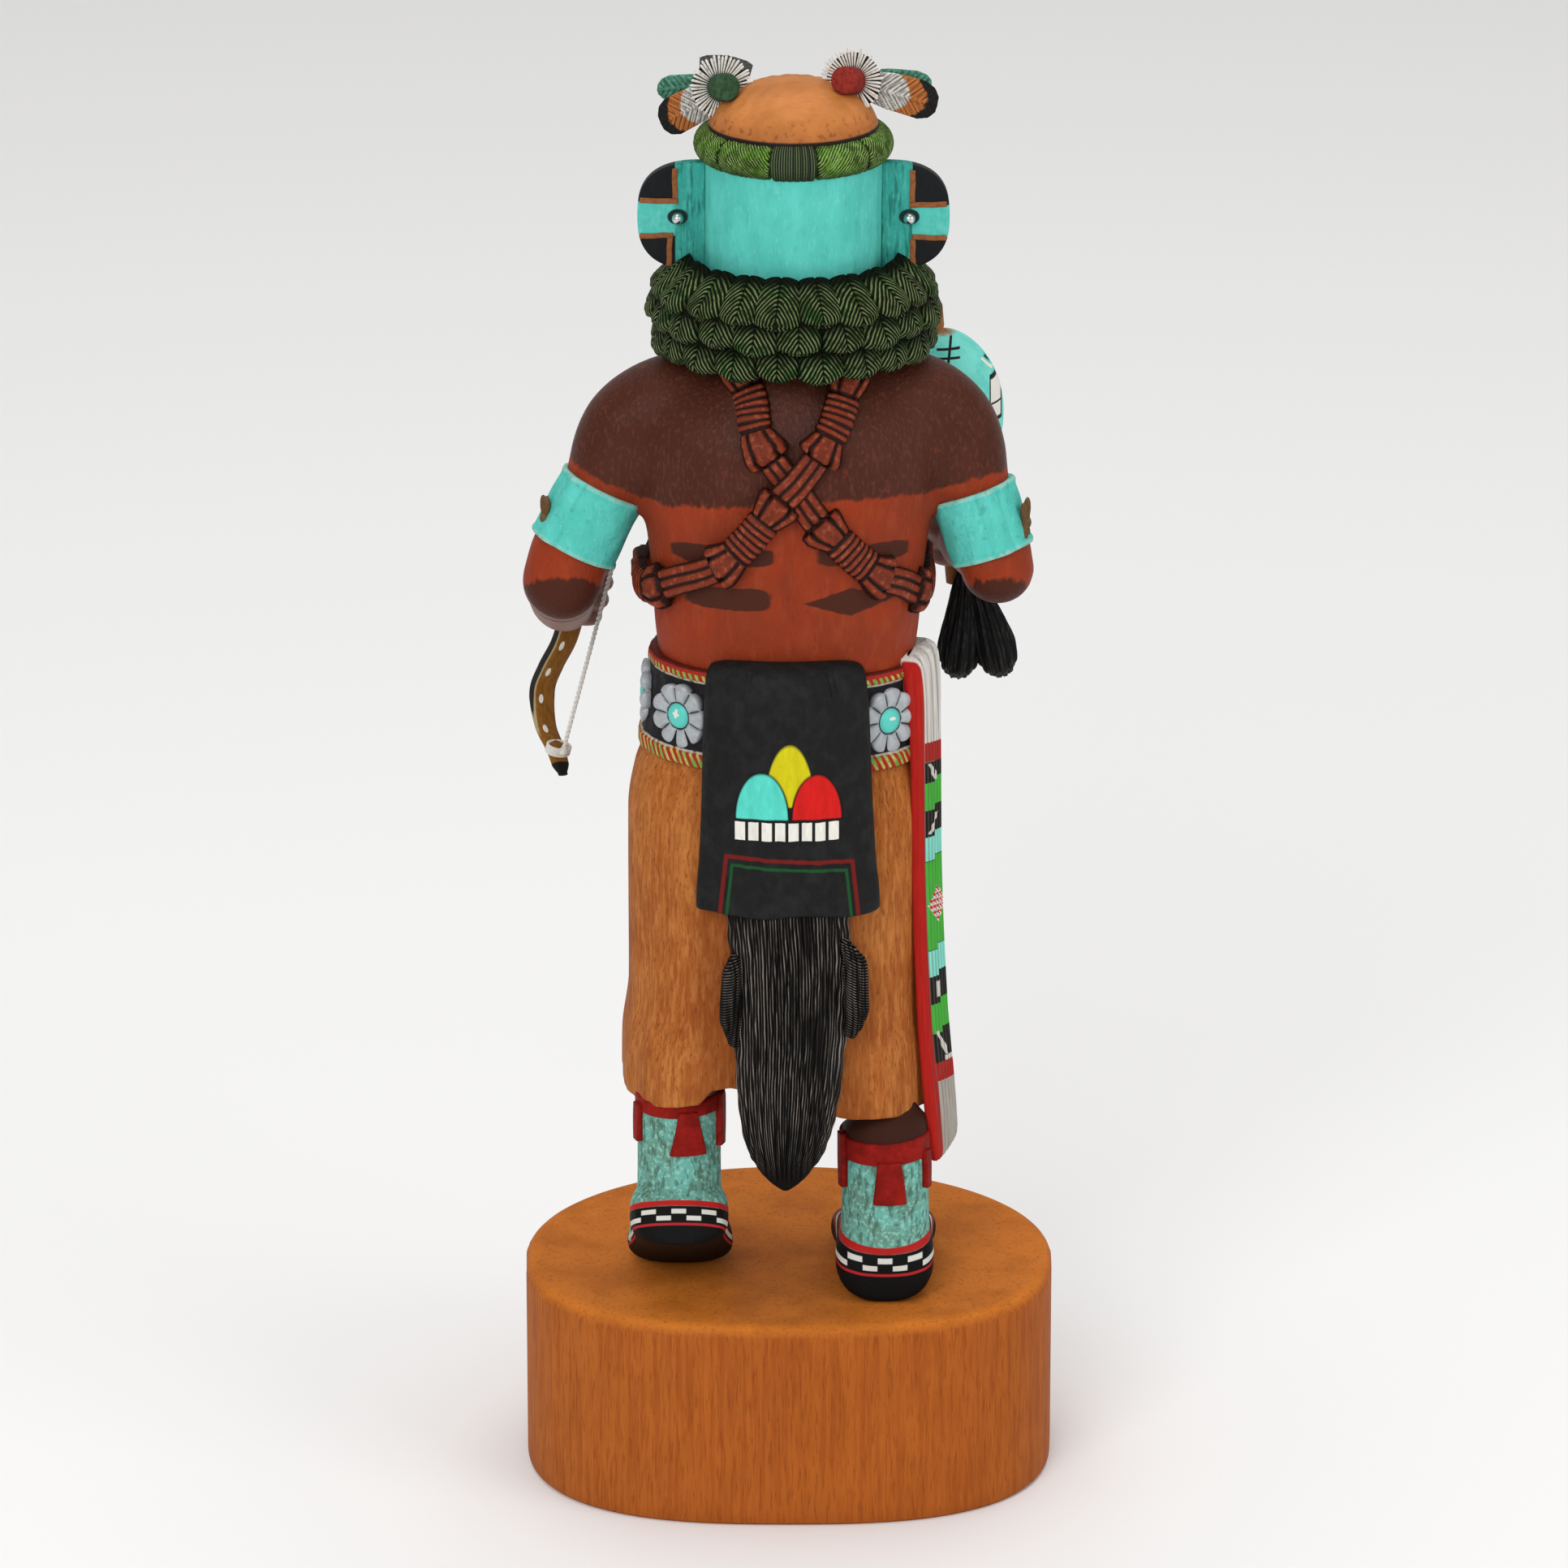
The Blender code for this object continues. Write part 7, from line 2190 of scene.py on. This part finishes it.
def feather_paint(name, kind):
    """Paint for one feather, along its length."""
    p = Paint(name, FEATHER_GROUNDS[kind])
    u, v = p.along_and_across()
    barbs = (v * 15.0 - u.size() * 0.8).wave(0.75)
    if kind == "banded":
        p.coat(barbs.over(0.25, 0.4) * 0.75, (0.130, 0.120, 0.115))
        p.coat(p.noise(0.9, 3.0).over(0.56, 0.1) * 0.5, (0.720, 0.700, 0.640))
        bent = v + u * u * 0.009 + p.noise(0.8, 3.0, shift=6.0) * 0.10 - 0.05
        p.coat(bent.over(0.68, 0.03), (0.430, 0.140, 0.035))
        p.coat((bent.over(0.68, 0.03) & barbs.over(0.5, 0.3)) * 0.5, (0.100, 0.035, 0.015))
        p.coat(bent.over(0.88, 0.03), (0.012, 0.012, 0.012))
    if kind == "green":
        p.coat(p.noise(0.8, 4.0).over(0.54, 0.15) * 0.7, (0.030, 0.110, 0.075))
        p.coat(p.noise(1.6, 3.0, shift=3.0).over(0.58, 0.1) * 0.6, (0.180, 0.420, 0.300))
    if kind == "grey":
        p.coat(barbs.over(0.1, 0.6) * 0.7, (0.030, 0.030, 0.030))
    # Painted shade in the hollows.
    p.paint_hollow_shade((0.020, 0.020, 0.018), 0.2, 0.4, 0.7)
    return p.done(roughness=0.7, height=p.noise(1.8, 3.0), depth=0.12)


def ray_paint(name):
    """Off-white slivers, brown in places, with painted shade in the gaps."""
    p = Paint(name, (0.700, 0.680, 0.630))
    p.coat(p.noise(1.5, 2.0, shift=4.0).over(0.62, 0.06) * 0.7, (0.300, 0.250, 0.220))
    # Painted shade in the gaps.
    p.paint_hollow_shade((0.015, 0.015, 0.015), 0.2, 0.5, 0.8)
    return p.done(roughness=0.7, height=p.noise(2.0), depth=0.1)


def peg_paint(name, ground, end):
    """Worn coloured wood with a rough end."""
    p = Paint(name, ground)
    p.coat(p.noise(0.9, 4.0).over(0.52, 0.2) * 0.7, end)
    p.coat(p.noise(2.2, 3.0, shift=3.0).over(0.62, 0.07) * 0.6, (0.016, 0.012, 0.010))
    return p.done(roughness=0.6, height=p.noise(1.6, 4.0), depth=0.3)


PEG_COLOURS = {
    "left": ("green_peg", (0.022, 0.062, 0.024), (0.055, 0.100, 0.060)),
    "right": ("red_peg", (0.280, 0.028, 0.020), (0.130, 0.018, 0.014)),
}
for side_name, (centre, axis, feathers) in CLUSTERS.items():
    centre = np.array(centre)
    forward, side, up = peg_frame(axis)
    places = []
    for i, angle in enumerate(full_turn(ROSETTE_RAYS)):
        out = side * math.cos(angle) + up * math.sin(angle)
        tilt = unit(out + forward * 0.22)
        across = np.cross(tilt, forward)
        places.append((centre + forward * 0.4 + out * (PEG_RADIUS - 0.4),
                       (unit(across), tilt, unit(np.cross(across, tilt))), 1.0 + 0.05 * math.sin(i * 2.1)))
    paint = ray_paint("ray_white_" + side_name)
    rays = set_out("rosette_" + side_name, ray_shape(), places, paint, 0.06, 5 if side_name == "left" else 9)
    dress(mark_hollows(rays, 0), paint, ("feather_cluster_" + side_name,))
    disc = [(-1.6, PEG_RADIUS), (-0.9, 4.9), (-0.4, 5.7), (0.0, 5.2), (0.2, PEG_RADIUS)]
    ring = ring_round(side, up, full_turn(64))
    backing = np.array([centre + forward * depth + ring * radius for depth, radius in disc])
    back_paint = Paint("rosette_back_" + side_name, (0.012, 0.011, 0.010))
    back_paint.coat(back_paint.noise(1.0).over(0.6, 0.1) * 0.4, (0.060, 0.050, 0.045))
    dress(weave("rosette_back_" + side_name, backing), back_paint.done(roughness=0.8),
          ("feather_cluster_" + side_name,))
    for number, (root, tip, half_width, kind) in enumerate(feathers):
        grid, uv = feather_grid(root, tip, half_width)
        name = "feather_%s_%d" % (side_name, number + 1)
        dress(mark_hollows(weave(name, grid, uv=uv), 0), feather_paint(name + "_paint", kind),
              ("feather_cluster_" + side_name,))
    rows = flow([(0.2, PEG_RADIUS * 0.9), (0.8, PEG_RADIUS), (PEG_LENGTH - 0.4, PEG_RADIUS),
                 (PEG_LENGTH - 0.05, PEG_RADIUS - 0.35), (PEG_LENGTH, PEG_RADIUS - 0.7),
                 (PEG_LENGTH + 0.05, 0.9)], 30)
    peg = np.array([centre + forward * depth + ring * radius for depth, radius in rows])
    slot_name, ground, end = PEG_COLOURS[side_name]
    dress(weave("rosette_peg_" + side_name, peg), peg_paint("peg_paint_" + side_name, ground, end),
          ("peg_" + side_name,))

# %% [markdown]
# ## Rattle and tassel
#
# The right hand holds a gourd rattle: a turquoise gourd on an orange brown stick, with a few painted ticks.
# A black tassel of hair hangs from the hand in two lobes. The gourd is a bar whose radius swells, and the
# hair is grooved lengthwise.

# %% Rattle and tassel
GOURD_RADIUS, GOURD_HALF, STICK_RADIUS = 13.0, 16.8, 2.0
RATTLE_NECK_LEAN = unit((-1.9, 1.2, 22.0))
RATTLE_FOOT = RIGHT_GRIP - RATTLE_LEAN * (RIGHT_FIST / 2 + 4.4)
GOURD_CENTRE = RIGHT_GRIP + RATTLE_LEAN * (RIGHT_FIST / 2 + 1.8 + GOURD_HALF)
RATTLE_TOP = GOURD_CENTRE + RATTLE_NECK_LEAN * (GOURD_HALF + 5.2)


def gourd_stations():
    """Stations of the gourd from its foot to its neck."""
    stations = [(*RATTLE_FOOT, STICK_RADIUS * 0.7), (*(RATTLE_FOOT + RATTLE_LEAN * 0.4), STICK_RADIUS)]
    down, up = -RATTLE_LEAN, RATTLE_NECK_LEAN
    stations.append((*(GOURD_CENTRE + down * (GOURD_HALF + 0.6)), STICK_RADIUS))
    for angle in np.radians(np.linspace(-82, 82, 15)):
        away = up if angle > 0 else down
        spot = GOURD_CENTRE + away * abs(GOURD_HALF * math.sin(angle))
        stations.append((*spot, max(GOURD_RADIUS * math.cos(angle), STICK_RADIUS)))
    stations.append((*(GOURD_CENTRE + up * (GOURD_HALF + 0.6)), STICK_RADIUS * 1.1))
    stations.append((*(RATTLE_TOP - up * 0.4), STICK_RADIUS * 1.1))
    stations.append((*RATTLE_TOP, STICK_RADIUS * 0.7))
    return stations


def rattle_paint():
    """Turquoise gourd, tan stick, black and white ticks."""
    p = mask_paint("gourd_turquoise")
    p.coat(p.noise(0.2, 3.0).over(0.42, 0.3) * 0.85, (0.200, 0.700, 0.610))
    foot_z = float(GOURD_CENTRE[2] - GOURD_HALF) + 0.8
    top_z = float(GOURD_CENTRE[2] + GOURD_HALF) - 0.6
    stick = p.z.under(foot_z, 0.4) | p.z.over(top_z, 0.4)
    p.coat(stick, (0.330, 0.150, 0.060))
    p.coat((stick & p.noise(1.2, 4.0, (1, 1, 0.2)).over(0.56, 0.1)) * 0.6, (0.160, 0.060, 0.022))
    back = p.y.under(28.0, 1.0)
    across, up = p.x - 32.6, p.z - 189.2
    rails = (up.size() - 0.75).size().under(0.22, 0.1) & across.size().under(2.4, 0.2)
    posts = (across + up * -0.15 - 0.2).size().under(0.28, 0.1) & up.size().under(2.6, 0.2)
    p.coat((rails | posts) & back, SOOT)
    slope = (p.x - 40.6) + (p.z - 186.0) * 0.9
    p.coat(slope.size().under(0.20, 0.1) & (p.z - 186.0).size().under(1.3, 0.2) & back, BONE_WHITE)
    p.coat((slope - 0.6).size().under(0.15, 0.1) & (p.z - 186.0).size().under(1.3, 0.2) & back, SOOT)
    box_x, box_z = (p.x - 42.4).size() * (1 / 1.3), (p.z - 179.4).size() * (1 / 4.6)
    box = box_x | box_z
    p.coat(box.under(1.0, 0.05) & back, SOOT)
    p.coat(box.under(0.80, 0.05) & back, BONE_WHITE)
    p.coat((p.z - 178.6).size().under(0.2, 0.1) & box.under(1.0, 0.05) & back, SOOT)
    return p.done(roughness=0.55, height=p.noise(0.8, 4.0), depth=0.2)


gourd = bar(gourd_stations(), 110, 80, False, False, (1, 0, 0))
dress(mark_hollows(weave("gourd_rattle", gourd)), rattle_paint(), ("rattle",))

TASSEL_LENGTH, TASSEL_LOBE = 21.0, 4.2
TASSEL_TOP = RATTLE_FOOT + np.array((1.7, -2.3, 4.0))
TASSEL_SHAPE = ((0.0, 0.28), (0.12, 0.40), (0.25, 0.55), (0.55, 0.84), (0.8, 1.0), (0.93, 0.92), (1.0, 0.70))


def make_tassel():
    """Two lobes of grooved hair from one knot."""
    parts = []
    for number, (spread_x, lift) in enumerate(((-1.2, 0.0), (7.4, 0.3))):
        rows = []
        for share, width in TASSEL_SHAPE:
            drop = share * (TASSEL_LENGTH - 1.0 - lift)
            rows.append((TASSEL_TOP[0] + spread_x * share ** 0.7, TASSEL_TOP[1] - TASSEL_LOBE * width,
                         TASSEL_TOP[2] - drop, TASSEL_LOBE * width))
        limb = bar(rows, 74, 88, True, True, (1, 0, 0))
        middle = limb.mean(axis=1, keepdims=True)
        out = unit(limb - middle)
        angle = full_turn(88)[None, :]
        share = np.linspace(0, 1, limb.shape[0])[:, None]
        groove = 0.26 * np.sin(angle * 11 + 2.2 * np.sin(share * 5 + number))
        groove = groove + 0.16 * np.sin(angle * 23 - share * 9)
        groove = groove * smooth_step(0.02, 0.15, share) * smooth_step(1.0, 0.93, share)
        limb = limb + out * groove[..., None]
        parts.append(grid_data("lobe", limb))
    knot = [(*(TASSEL_TOP + (-0.4, 1.2, 1.6)), 0.9), (*(TASSEL_TOP + (0.2, 0.2, 0.4)), 1.4),
            (*(TASSEL_TOP + (0.4, -0.8, -1.4)), 1.3)]
    parts.append(grid_data("knot", bar(knot, 20, 24)))
    return joined("hair_tassel", parts)


def tassel_paint():
    """Black hair with a soft sheen along the strands."""
    p = Paint("tassel_hair", (0.010, 0.010, 0.010))
    p.coat(p.noise(1.4, 4.0, (1, 1, 0.15)).over(0.58, 0.12) * 0.6, (0.040, 0.037, 0.035))
    # Painted shade in the grooves of the hair.
    p.paint_hollow_shade((0.004, 0.004, 0.004), 0.1, 0.3, 0.9)
    return p.done(roughness=0.48, height=p.noise(2.0, 3.0, (1, 1, 0.2)), depth=0.12)


dress(mark_hollows(keep("hair_tassel", make_tassel()), 0), tassel_paint(), ("tassel",))

# %% [markdown]
# ## Bow and string
#
# The left hand holds a bow with double-curved limbs. Its sections are flat ovals that narrow to the tips.
# The taut string runs between the tips and is tied round both, so it is made whole in the solid as well.
# Here it is two strands twisted round each other, each a thin bar on a spiral, with turns round the tips.

# %% The bow
BOW_STAVE = [(-0.11, -3.0), (0.0, 1.1), (0.10, 6.4), (0.28, 10.2), (0.45, 9.6), (0.65, 7.6), (0.85, 7.5),
             (1.0, 8.3)]
BOW_HALF_WIDTH, BOW_HALF_THICK = 3.1, 1.3
NOCK_SHARE = 0.02
STRING_STRANDS, STRING_STEPS, STRING_RADIUS, STRING_TWISTS = 2, 320, 0.5, 30


def stave_point(share, off):
    """A point of the bow: share 0 is the lower nock and 2 the upper one."""
    return STRING_MIDDLE + BOW_ALONG * ((share - 1) * BOW_HALF) + BOW_BACK * off


def catmull(rows, share):
    """A row off a smooth curve through evenly spaced rows."""
    last = len(rows) - 1
    place = min(max(share, 0.0), 1.0) * last
    i = min(int(place), last - 1)
    t = place - i
    a, b = np.array(rows[max(i - 1, 0)]), np.array(rows[i])
    c, d = np.array(rows[i + 1]), np.array(rows[min(i + 2, last)])
    square, cube = 2 * a - 5 * b + 4 * c - d, 3 * b - a - 3 * c + d
    return 0.5 * (2 * b + (c - a) * t + square * t * t + cube * t ** 3)


def make_bow():
    """The stave with UV: u round the section, v along it."""
    rows = BOW_STAVE + [(2 - s, off) for s, off in reversed(BOW_STAVE[:-1])]
    shares = np.array([catmull(rows, s) for s in np.linspace(0, 1, 150)])
    points = np.array([stave_point(s, off) for s, off in shares])
    along, _, _ = path_frames(points)
    across = unit(np.cross(along, BOW_BACK))
    out = unit(np.cross(across, along))
    narrowing = np.clip((np.abs(shares[:, 0] - 1) - 0.75) / 0.36, 0, 1)
    end = np.clip(np.minimum(np.arange(150), np.arange(150)[::-1]) / 5.0, 0.35, 1) ** 0.5
    half_width = BOW_HALF_WIDTH * (1 - 0.4 * narrowing) * end
    half_thick = BOW_HALF_THICK * (1 - 0.25 * narrowing) * end
    angle = full_turn(48)
    w, t = oval(angle[None, :], half_width[:, None], half_thick[:, None], 2.6)
    grid = points[:, None] + across[:, None] * w[..., None] + out[:, None] * t[..., None]
    way = way_along(points)
    u = np.concatenate([w, w[:, :1]], 1)
    v = np.tile(way[:, None], (1, 49))
    return grid, (u, v), way[-1]


def bow_paint(length):
    """Ochre wood with a dark side, a thin pale line, painted ovals and black tips."""
    p = Paint("bow_ochre", (0.205, 0.085, 0.014))
    u, v = p.along_and_across()
    p.coat(p.noise(1.0, 4.0, (1, 1, 0.2)).over(0.55, 0.15) * 0.6, (0.290, 0.135, 0.030))
    p.coat(u.over(2.75, 0.15), (0.024, 0.022, 0.020))
    p.coat(u.between(2.45, 2.75, 0.1), (0.360, 0.300, 0.160))
    dot = (v * (1 / 7.0)).repeat(1.0) * 7.0
    oval_dot = ((dot - 3.5) * (dot - 3.5) * 0.9 + (u - 1.2) * (u - 1.2) * 3.4).under(1.0, 0.3)
    middle = v.between(8.0, length - 8.0, 0.5)
    p.coat(oval_dot & middle, BONE_WHITE)
    tips = v.under(2.6, 0.3) | v.over(length - 2.6, 0.3)
    p.coat(tips, SOOT)
    p.mottle(p.noise(0.8, 4.0, shift=4.0), 0.82, 1.16)
    return p.done(roughness=0.5, height=p.noise(1.4, 4.0, (1, 1, 0.3)), depth=0.15)


bow_grid, bow_uv, bow_way = make_bow()
dress(weave("carved_bow", bow_grid, uv=bow_uv), bow_paint(float(bow_way)), ("bow",))
print("bow stave", round(float(bow_way), 1), "mm along its curve")


def twisted(start, end, radius, turns):
    """Strands that twist round the line from start to end."""
    start, end = np.array(start), np.array(end)
    along = unit(end - start)
    side = unit(np.cross(along, (0, 1, 0)))
    up = np.cross(along, side)
    share = np.linspace(0, 1, STRING_STEPS)
    parts = []
    for k in range(STRING_STRANDS):
        angle = share * turns * 2 * math.pi + k * 2 * math.pi / STRING_STRANDS
        offset = ring_round(side, up, angle)
        path = start + (end - start) * share[:, None] + offset * radius * 0.46
        _, across, over = path_frames(path, tuple(side))
        ring = ring_round(across, over, full_turn(10))
        parts.append(grid_data("strand", path[:, None] + ring * radius * 0.54))
    return parts


def tie_turns(share, off, count):
    """Turns of string round a tip of the bow."""
    parts = []
    for i in range(count):
        centre = stave_point(share, off) + BOW_ALONG * (i - (count - 1) / 2) * 0.62
        angle = full_turn(40)
        across = unit(np.cross(BOW_ALONG, BOW_BACK))
        tilt = BOW_BACK * 0.95 + BOW_ALONG * 0.2
        path = centre + across * np.cos(angle)[:, None] * 2.75 + tilt * np.sin(angle)[:, None] * 1.75
        ring = ring_round(unit(path - centre), BOW_ALONG, full_turn(10))
        parts.append(grid_data("turn", path[:, None] + ring * 0.36, loop_rows=True))
    return parts


string_off = BOW_STAVE[1][1] - BOW_HALF_THICK - STRING_RADIUS - 0.3
string_ends = [stave_point(NOCK_SHARE, string_off), stave_point(2 - NOCK_SHARE, string_off)]
string_parts = twisted(*string_ends, STRING_RADIUS, STRING_TWISTS)
string_parts += tie_turns(NOCK_SHARE, 0.6, 3) + tie_turns(2 - NOCK_SHARE, 0.6, 3)
for end in string_ends:
    string_parts.append(grid_data("knot", ball(end, (1.0, 1.0, 0.9), 12, 18)))
cotton = Paint("string_cotton", (0.700, 0.690, 0.650))
cotton.mottle(cotton.noise(2.0, 3.0), 0.82, 1.1)
string_piece = keep("twisted_string", joined("twisted_string", string_parts))
cotton_done = cotton.done(roughness=0.85, height=cotton.noise(4.0, 3.0), depth=0.08)
dress(string_piece, cotton_done, ("bow_string",))
string_length = np.linalg.norm(string_ends[1] - string_ends[0])
print("string", round(float(string_length), 1), "mm between its knots")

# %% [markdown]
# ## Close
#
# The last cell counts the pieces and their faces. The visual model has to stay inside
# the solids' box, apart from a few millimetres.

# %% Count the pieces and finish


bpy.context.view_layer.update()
total = sum(len(thing.data.polygons) for thing in made.values())
print(len(made), "pieces,", total, "faces")
